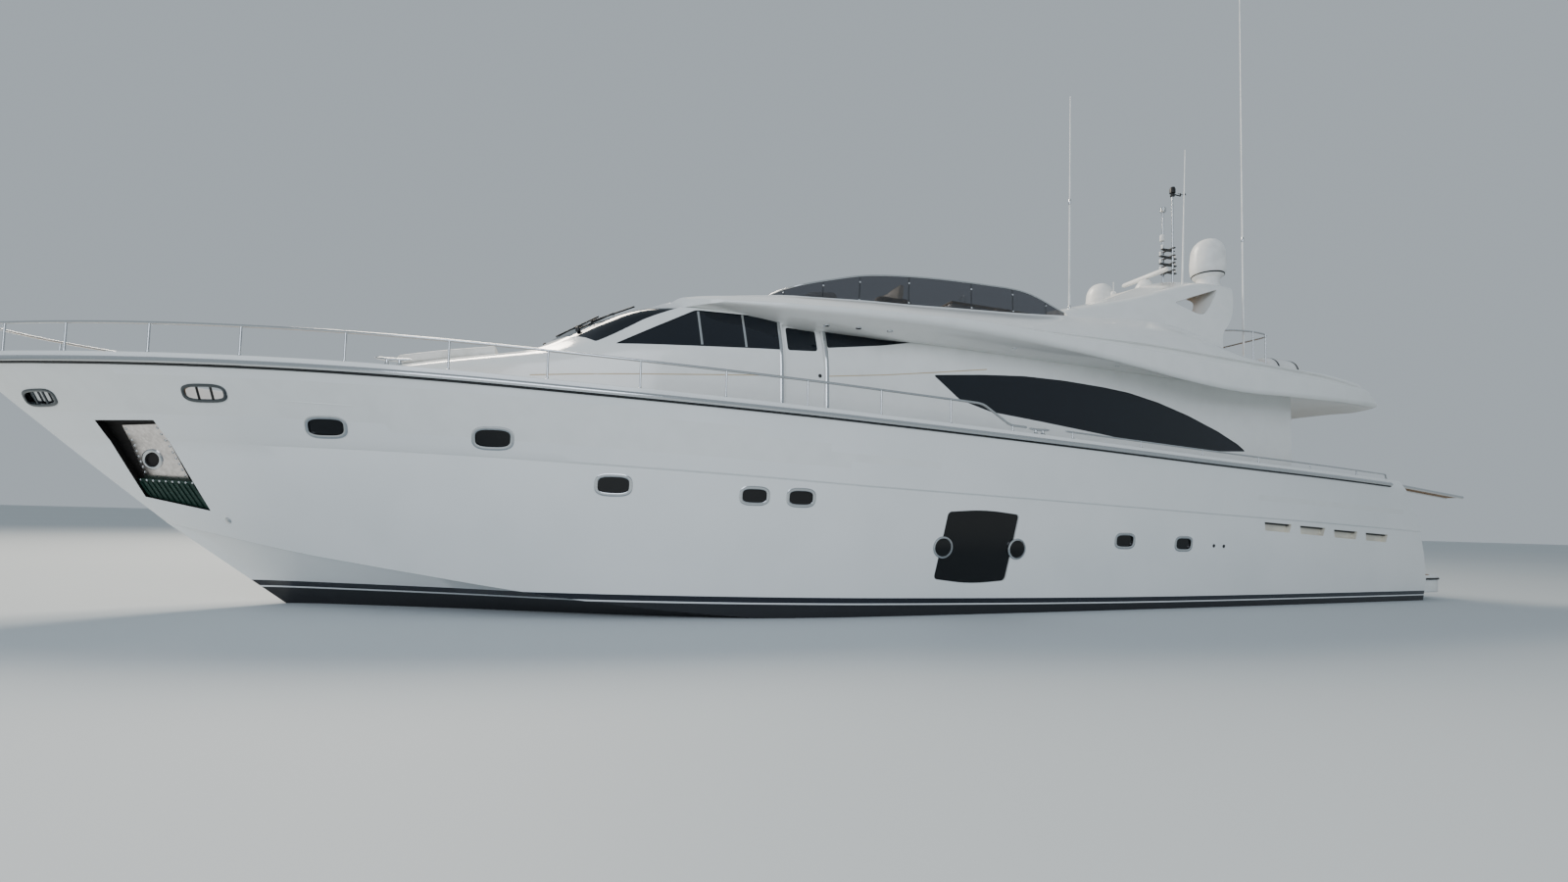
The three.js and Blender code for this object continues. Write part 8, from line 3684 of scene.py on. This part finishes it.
@dataclass
class Quarterdeck:
    """The aft end: bulkhead and doors, cockpit furniture, stair, garage door, platform and gangway."""

    finishes: Finishes
    hull: Hull
    house: House

    def doors(self) -> None:
        """Makes the saloon's two sliding leaves and the two side doors, with their glass and handles."""
        steel, glass = self.finishes.steel, self.finishes.glass
        frame_line = [(0.006, 1.80), (0.94, 1.80), (0.94, 3.88), (0.006, 3.88)]
        leaf = prism("leaf", frame_line, 0, -6.942, -6.906, steel)
        carved(
            leaf,
            [
                prism(
                    "light", [(0.08, 1.90), (0.86, 1.90), (0.86, 3.79), (0.08, 3.79)], 0, -7.1, -6.7,
                    self.finishes.rubber_black
                )
            ]
        )
        pieces = [
            softened(leaf, 35), block("pane", (-6.928, 0.0805, 1.9005), (-6.918, 0.8595, 3.7895), glass)
        ]
        grip = rounded(
            [(-6.907, 0.045, 2.55), (-6.865, 0.045, 2.55), (-6.865, 0.045, 3.05), (-6.907, 0.045, 3.05)],
            [0, 0.02, 0.02, 0], 5
        )
        pieces.append(tube("grip", grip, 0.009, steel, 12))
        port = joined("saloon_sliding_door_port", pieces)
        paired(port, (Body.SALOON_PORT, Body.SALOON_STARBOARD), "steel", "saloon_door")
        white = self.finishes.gelcoat
        leaf = self.house.skin("side_leaf", white, 0.056, 0.1)
        carved(leaf, [self.house.skin("inside", white, 0.092, 0.2)])
        carved(leaf, [block("zone", (3.375, 1.945, 2.47), (4.105, 4.0, 4.475), white)], "INTERSECT")
        line = soft_outline([(3.49, 4.05), (3.99, 4.01), (3.99, 4.405), (3.49, 4.405)], [0.05] * 4, 5)
        carved(leaf, [prism("light", line, 1, 1.5, 4, self.finishes.rubber_black)])
        pane = self.house.skin("side_pane_layer", glass, 0.068, 0.1)
        carved(pane, [self.house.skin("inside", glass, 0.080, 0.2)])
        carved(pane, [prism("light", inset_line(line, 0.0004), 1, 1.5, 4, glass)], "INTERSECT")
        y = self.house.wall_y(3.47, 3.65) - 0.0555
        knob = [(0, -0.002), (0.030, -0.002), (0.030, 0.0015), (0.024, 0.002), (0, 0.002)]
        handle = lathe("handle", knob, (3.47, y, 3.65), self.finishes.dark, 24, (0, 1, 0))
        port = joined("side_sliding_door_port", [softened(leaf, 30), softened(pane, 30), handle])
        paired(port, (Body.SIDE_PORT, Body.SIDE_STARBOARD), "gelcoat", "side_door")

    def cockpit(self) -> None:
        """Makes the settee against the transom with its moulded base, and the table on its two pedestals."""
        white, steel, teak = self.finishes.gelcoat, self.finishes.steel, self.finishes.teak
        base = block("cockpit_settee_base", (-9.14, -1.15, 1.7505), (-8.53, 1.65, 2.05), white, 0.015)
        finished(base, Body.BOAT, "gelcoat")
        rows = []
        for k in range(4):
            low = -1150 + 700 * k
            rows.append((-8940, -8500, low + 4, low + 696, 2055, 2190))
            rows.append((-9135, -8952, low + 4, low + 696, 2060, 2560))
        upholstered(
            "cockpit_cushions", metre_boxes(rows), self.finishes.vinyl, self.finishes.piping,
            "cockpit_settee"
        )
        plan = soft_outline([(-8.35, -0.6), (-7.6, -0.6), (-7.6, 1.0), (-8.35, 1.0)], [0.12] * 4, 6)
        pieces = [sheeted("top", plan, 2.42, 2.465, teak, 0.008)]
        leg = [
            (0, 0), (0.15, 0), (0.15, 0.012), (0.055, 0.03), (0.045, 0.06), (0.045, 0.62), (0.13, 0.655),
            (0.13, 0.67), (0, 0.67)
        ]
        for y in (0.0, 0.4):
            pieces.append(lathe("leg", leg, (-8.0, y, 1.7505), steel, 40))
        fixed("cockpit_teak_table", pieces, "teak", "cockpit_table")

    def stair(self) -> None:
        """Makes the stair up to the flybridge: steel stringers, teak treads and a handrail."""
        steel, teak = self.finishes.steel, self.finishes.teak
        sole = self.hull.cockpit_sole_z + 0.0005
        pieces = []
        for low in (-2.16, -1.532):
            line = soft_outline([(-8.85, sole), (-8.60, sole), (-7.16, 4.46), (-7.41, 4.46)], [0.02] * 4, 3)
            pieces.append(sheeted("stringer", line, low, low + 0.032, steel, 0.004, 1))
        rise = (4.48 - sole) / 10
        for i in range(1, 10):
            x, z = -8.76 + 0.165 * i, sole + i * rise
            pieces.append(
                block("tread", (x - 0.11, -2.129, z + 0.004), (x + 0.11, -1.531, z + 0.020), teak, 0.004)
            )
            pieces.append(
                block("tray", (x - 0.11, -2.129, z - 0.018), (x + 0.11, -1.531, z + 0.004), steel, 0.003)
            )
        fixed("stair_to_flybridge", pieces, "steel", "fly_stair")

    def garage(self) -> None:
        """Makes the garage door with its hinge arms."""
        white = self.finishes.gelcoat
        outer = list(self.hull.stern)
        inner = [(x + 0.055, z - 0.02) for x, z in reversed(outer)]
        panel = prism("panel", outer + inner, 1, -1.494, 1.494, white)
        carved(panel, [block("zone", (-13, -2, 0.566), (-9, 2, 1.554), white)], "INTERSECT")
        pieces = [softened(bevelled(panel, 0.006, 2, 50), 30)]
        for y in (-0.9, 0.9):
            pieces.append(
                tube(
                    "barrel", [(-10.47, y - 0.11, 1.572), (-10.47, y + 0.11, 1.572)], HINGE_RADIUS,
                    self.finishes.steel, 20
                )
            )
            pieces.append(
                block(
                    "arm", (-10.48, y - 0.11, 1.522), (-10.456, y + 0.11, 1.570), self.finishes.steel, 0.002
                )
            )
        finished(joined("garage_door_panel", pieces), Body.GARAGE, "gelcoat", "garage_door")

    def platform(self) -> None:
        """Makes the swim platform: a white moulding, a teak deck let into its top, and a rubber edge."""
        white, teak = self.finishes.gelcoat, self.finishes.teak
        node = rounded_copy("swim_platform", "swim_platform_moulding", 0.025, white)
        corners = [(-11.02, 2.50), (-11.48, 2.50), (-11.74, 2.36), (-11.86, 2.08)]
        corners += [(x, -y) for x, y in reversed(corners)]
        plan = soft_outline(corners, [0.02, 0.1, 0.1, 0.15, 0.15, 0.1, 0.1, 0.02], 5)
        finished(node, Body.BOAT, "gelcoat", "swim_platform")
        deck = sheeted("platform_teak", plan, 0.528, 0.546, teak, 0.004)
        finished(deck, Body.BOAT, "teak")
        edge = [(-11.00, 2.66), (-11.50, 2.65), (-11.805, 2.488), (-11.957, 2.155)]
        line = [Vector((x, y, 0.47)) for x, y in edge] + [Vector((x, -y, 0.47)) for x, y in reversed(edge)]
        band = rounded(line, [0, 0.1, 0.1, 0.1, 0.1, 0.1, 0.1, 0], 5)
        finished(
            tube("platform_rubbing_strip", band, 0.022, self.finishes.rubber_black, 10), Body.BOAT, "dark"
        )

    def gangway(self) -> None:
        """Makes the gangway: two tubes with end caps, a teak grating between them, and the pivot bar."""
        steel, teak = self.finishes.steel, self.finishes.teak
        pivot, tip = Vector((-9.5, 2.49, 2.56)), Vector((-12.48, 2.49, 2.33))
        along = (tip - pivot).normalized()
        up = Vector((0, 1, 0)).cross(along)
        up = up if up.z > 0 else -up
        pieces = [
            tube(
                "pivot_bar", [pivot + Vector((0, -0.149, 0)), pivot + Vector((0, 0.149, 0))], 0.0298, steel,
                28
            )
        ]
        for side in (-1, 1):
            shift = Vector((0, side * 0.15, 0))
            pieces.append(tube("rail", [pivot + shift, tip + shift], 0.033, steel, 20))
            pieces.append(
                lathe(
                    "cap", [(0, -0.004), (0.0335, -0.004), (0.0335, 0.008), (0.024, 0.018), (0, 0.020)],
                    tip + shift, steel, 20, along
                )
            )
        start = pivot + along * 0.145
        length = (tip - start).length - 0.02
        count = 24
        for k in range(count):
            a = start + along * (length * (k + 0.08) / count)
            b = start + along * (length * (k + 0.92) / count)
            ring = [
                [
                    p + Vector((0, y, 0)) + up * h for y,
                    h in ((-0.14, -0.014), (0.14, -0.014), (0.14, 0.010), (-0.14, 0.010))
                ]
                for p in (a, b)
            ]
            pieces.append(skinned("slat", ring, teak))
        finished(joined("gangway", pieces), Body.PASSERELLE, "steel", "passerelle")

    def bulkhead(self) -> None:
        """Makes the aft bulkhead with its window panes, from its CAD form with rounded edges."""
        made = rounded_copy("aft_bulkhead", "saloon_aft_bulkhead", 0.006, self.finishes.gelcoat)
        panes = []
        for low, high in ((1.0305, 2.2295), (-2.2295, -1.0305)):
            panes.append(block("pane", (-6.982, low, 2.5005), (-6.970, high, 3.8495), self.finishes.glass))
        finished(joined("saloon_aft_bulkhead", [made] + panes), Body.BOAT, "gelcoat", "aft_bulkhead")

    def soffit(self) -> None:
        """Makes the slatted panels let into the soffit over the cockpit."""
        row = Slats(self.finishes.dark).row(
            "soffit_slats", 18, (-7.15, 0, 4.262), (-0.09, 0, -0.0055), (0.045, 2.2, 0.02)
        )
        finished(row, Body.BOAT, "dark")

    def build(self) -> None:
        """Makes everything aft."""
        self.bulkhead()
        self.soffit()
        self.doors()
        self.cockpit()
        self.stair()
        self.garage()
        self.platform()
        self.gangway()


@dataclass
class RunningGear:
    """What works under water: shafts with their propellers, rudders and trim tabs."""

    finishes: Finishes
    slope: float = math.atan2(SHAFT_RISE, SHAFT_RUN)

    def shaft_at(self, x: float) -> Vector:
        """Gives a point of the port shaft.

        Args:
            x: The place along the boat.

        Returns:
            The point.
        """
        start_x, shaft_y, start_z = SHAFT_START
        return Vector((x, shaft_y, start_z + (x - start_x) * math.tan(self.slope)))

    def blade(self, turn: float) -> Object:
        """Makes one blade as a twisted, skewed foil, on a shaft that runs along X.

        Args:
            turn: Its angle round the shaft.

        Returns:
            The blade.
        """
        rings = []
        for k in range(15):
            t = k / 14
            radius = 0.07 + 0.398 * t
            chord = 0.085 + 0.235 * math.sin(math.pi * min(t * 0.92 + 0.06, 1.0)) ** 0.8
            chord *= math.sqrt(max(1 - max(t - 0.8, 0) ** 2 / 0.042, 0.02))
            pitch = math.atan2(0.16, radius) * 0.9
            skew = 0.10 * t * t - 0.015
            thick = 0.016 * (1 - t) + 0.005
            ring = []
            for a in full_turn(20):
                u, v = chord / 2 * math.cos(a) + skew, thick / 2 * math.sin(a)
                ring.append(
                    Vector(
                        (
                            u * math.sin(pitch) + v * math.cos(pitch) - 0.02 * t,
                            u * math.cos(pitch) - v * math.sin(pitch), radius
                        )
                    )
                )
            rings.append(ring)
        made = skinned("blade", rings, self.finishes.bronze)
        made.data.transform(Matrix.Rotation(turn, 4, "X"))
        return softened(made, 50)

    def propellers(self) -> None:
        """Makes each shaft with its propeller and its nut."""
        bronze, steel = self.finishes.bronze, self.finishes.steel
        end = self.shaft_at(-9.69)
        place = Matrix.Translation(end) @ Matrix.Rotation(-self.slope, 4, "Y")
        parts = [self.blade(turn) for turn in full_turn(5)]
        boss = [
            (0, -0.17), (0.070, -0.17), (0.080, -0.15), (0.085, -0.05), (0.084, 0.05), (0.076, 0.14),
            (0.060, 0.15), (0, 0.15)
        ]
        parts.append(lathe("boss", boss, (0, 0, 0), bronze, 48, (1, 0, 0)))
        cone = [(0, 0), (0.058, 0), (0.052, 0.03), (0.030, 0.045), (0.028, 0.03), (0, 0.03)]
        parts.append(lathe("nut", cone, (-0.17, 0, 0), bronze, 32, (-1, 0, 0)))
        for part in parts:
            part.data.transform(place)
        parts.append(tube("shaft", [self.shaft_at(-5.403), self.shaft_at(-9.85)], 0.0448, steel, 36))
        port = joined("propeller_and_shaft_port", parts)
        paired(port, (Body.PROPELLER_PORT, Body.PROPELLER_STARBOARD), "bronze", "propeller")

    def rudders(self) -> None:
        """Makes the spade rudders as foils on their stocks."""
        rings = []
        for k in range(9):
            t = k / 8
            lead = -10.17 - 0.08 * t
            tail = -10.77 + 0.04 * t
            z = -0.72 - 1.03 * t
            rise = 0.02 * (1 - t)
            ring = []
            for a in full_turn(28):
                u = (1 - math.cos(a)) / 2
                half = 0.031 * (1 - 0.35 * t) * math.sin(a) * (1.25 - 0.75 * u)
                ring.append((lead + (tail - lead) * u, 1.15 + half, z + rise * u))
            rings.append(ring)
        foil = softened(skinned("foil", rings, self.finishes.bronze), 40)
        stock = tube("stock", [(-10.35, 1.15, -1.02), (-10.35, 1.15, -0.31)], 0.0548, self.finishes.steel, 32)
        port = joined("spade_rudder_port", [foil, stock])
        paired(port, (Body.RUDDER_PORT, Body.RUDDER_STARBOARD), "bronze", "rudder")

    def tabs(self) -> None:
        """Makes the trim tabs, stiffened by ribs, on their hinge barrels."""
        steel = self.finishes.steel
        pieces = [block("plate", (-0.36, -0.45, -0.009), (-0.004, 0.45, 0.009), steel, 0.004)]
        pieces.append(tube("barrel", [(0, -0.45, 0), (0, 0.45, 0)], 0.0118, steel, 20))
        for y in (-0.3, 0.0, 0.3):
            pieces.append(block("rib", (-0.33, y - 0.006, 0.008), (-0.05, y + 0.006, 0.018), steel, 0.002))
        port = joined("trim_tab_plate_port", pieces)
        port.data.transform(
            Matrix.Translation((-10.9625, 1.8, -0.308)) @ Matrix.Rotation(math.radians(15), 4, "X")
        )
        paired(port, (Body.TAB_PORT, Body.TAB_STARBOARD), "steel", "trim_tab")

    def build(self) -> None:
        """Makes everything under water that moves."""
        self.propellers()
        self.rudders()
        self.tabs()


def main() -> None:
    """Builds every sub-assembly in order."""
    logging.basicConfig(level=logging.INFO, format="%(name)s %(message)s")
    finishes = Finishes()
    finishes.dress_frame()
    Studio().build()
    hull = Hull(finishes)
    hull.build()
    house = House(finishes)
    house.build()
    Flybridge(finishes).build()
    Arch(finishes).build()
    Rails(finishes, hull).build()
    Foredeck(finishes, hull, house).build()
    FlyDeck(finishes).build()
    Quarterdeck(finishes, hull, house).build()
    RunningGear(finishes).build()


if __name__ == "__main__":
    main()
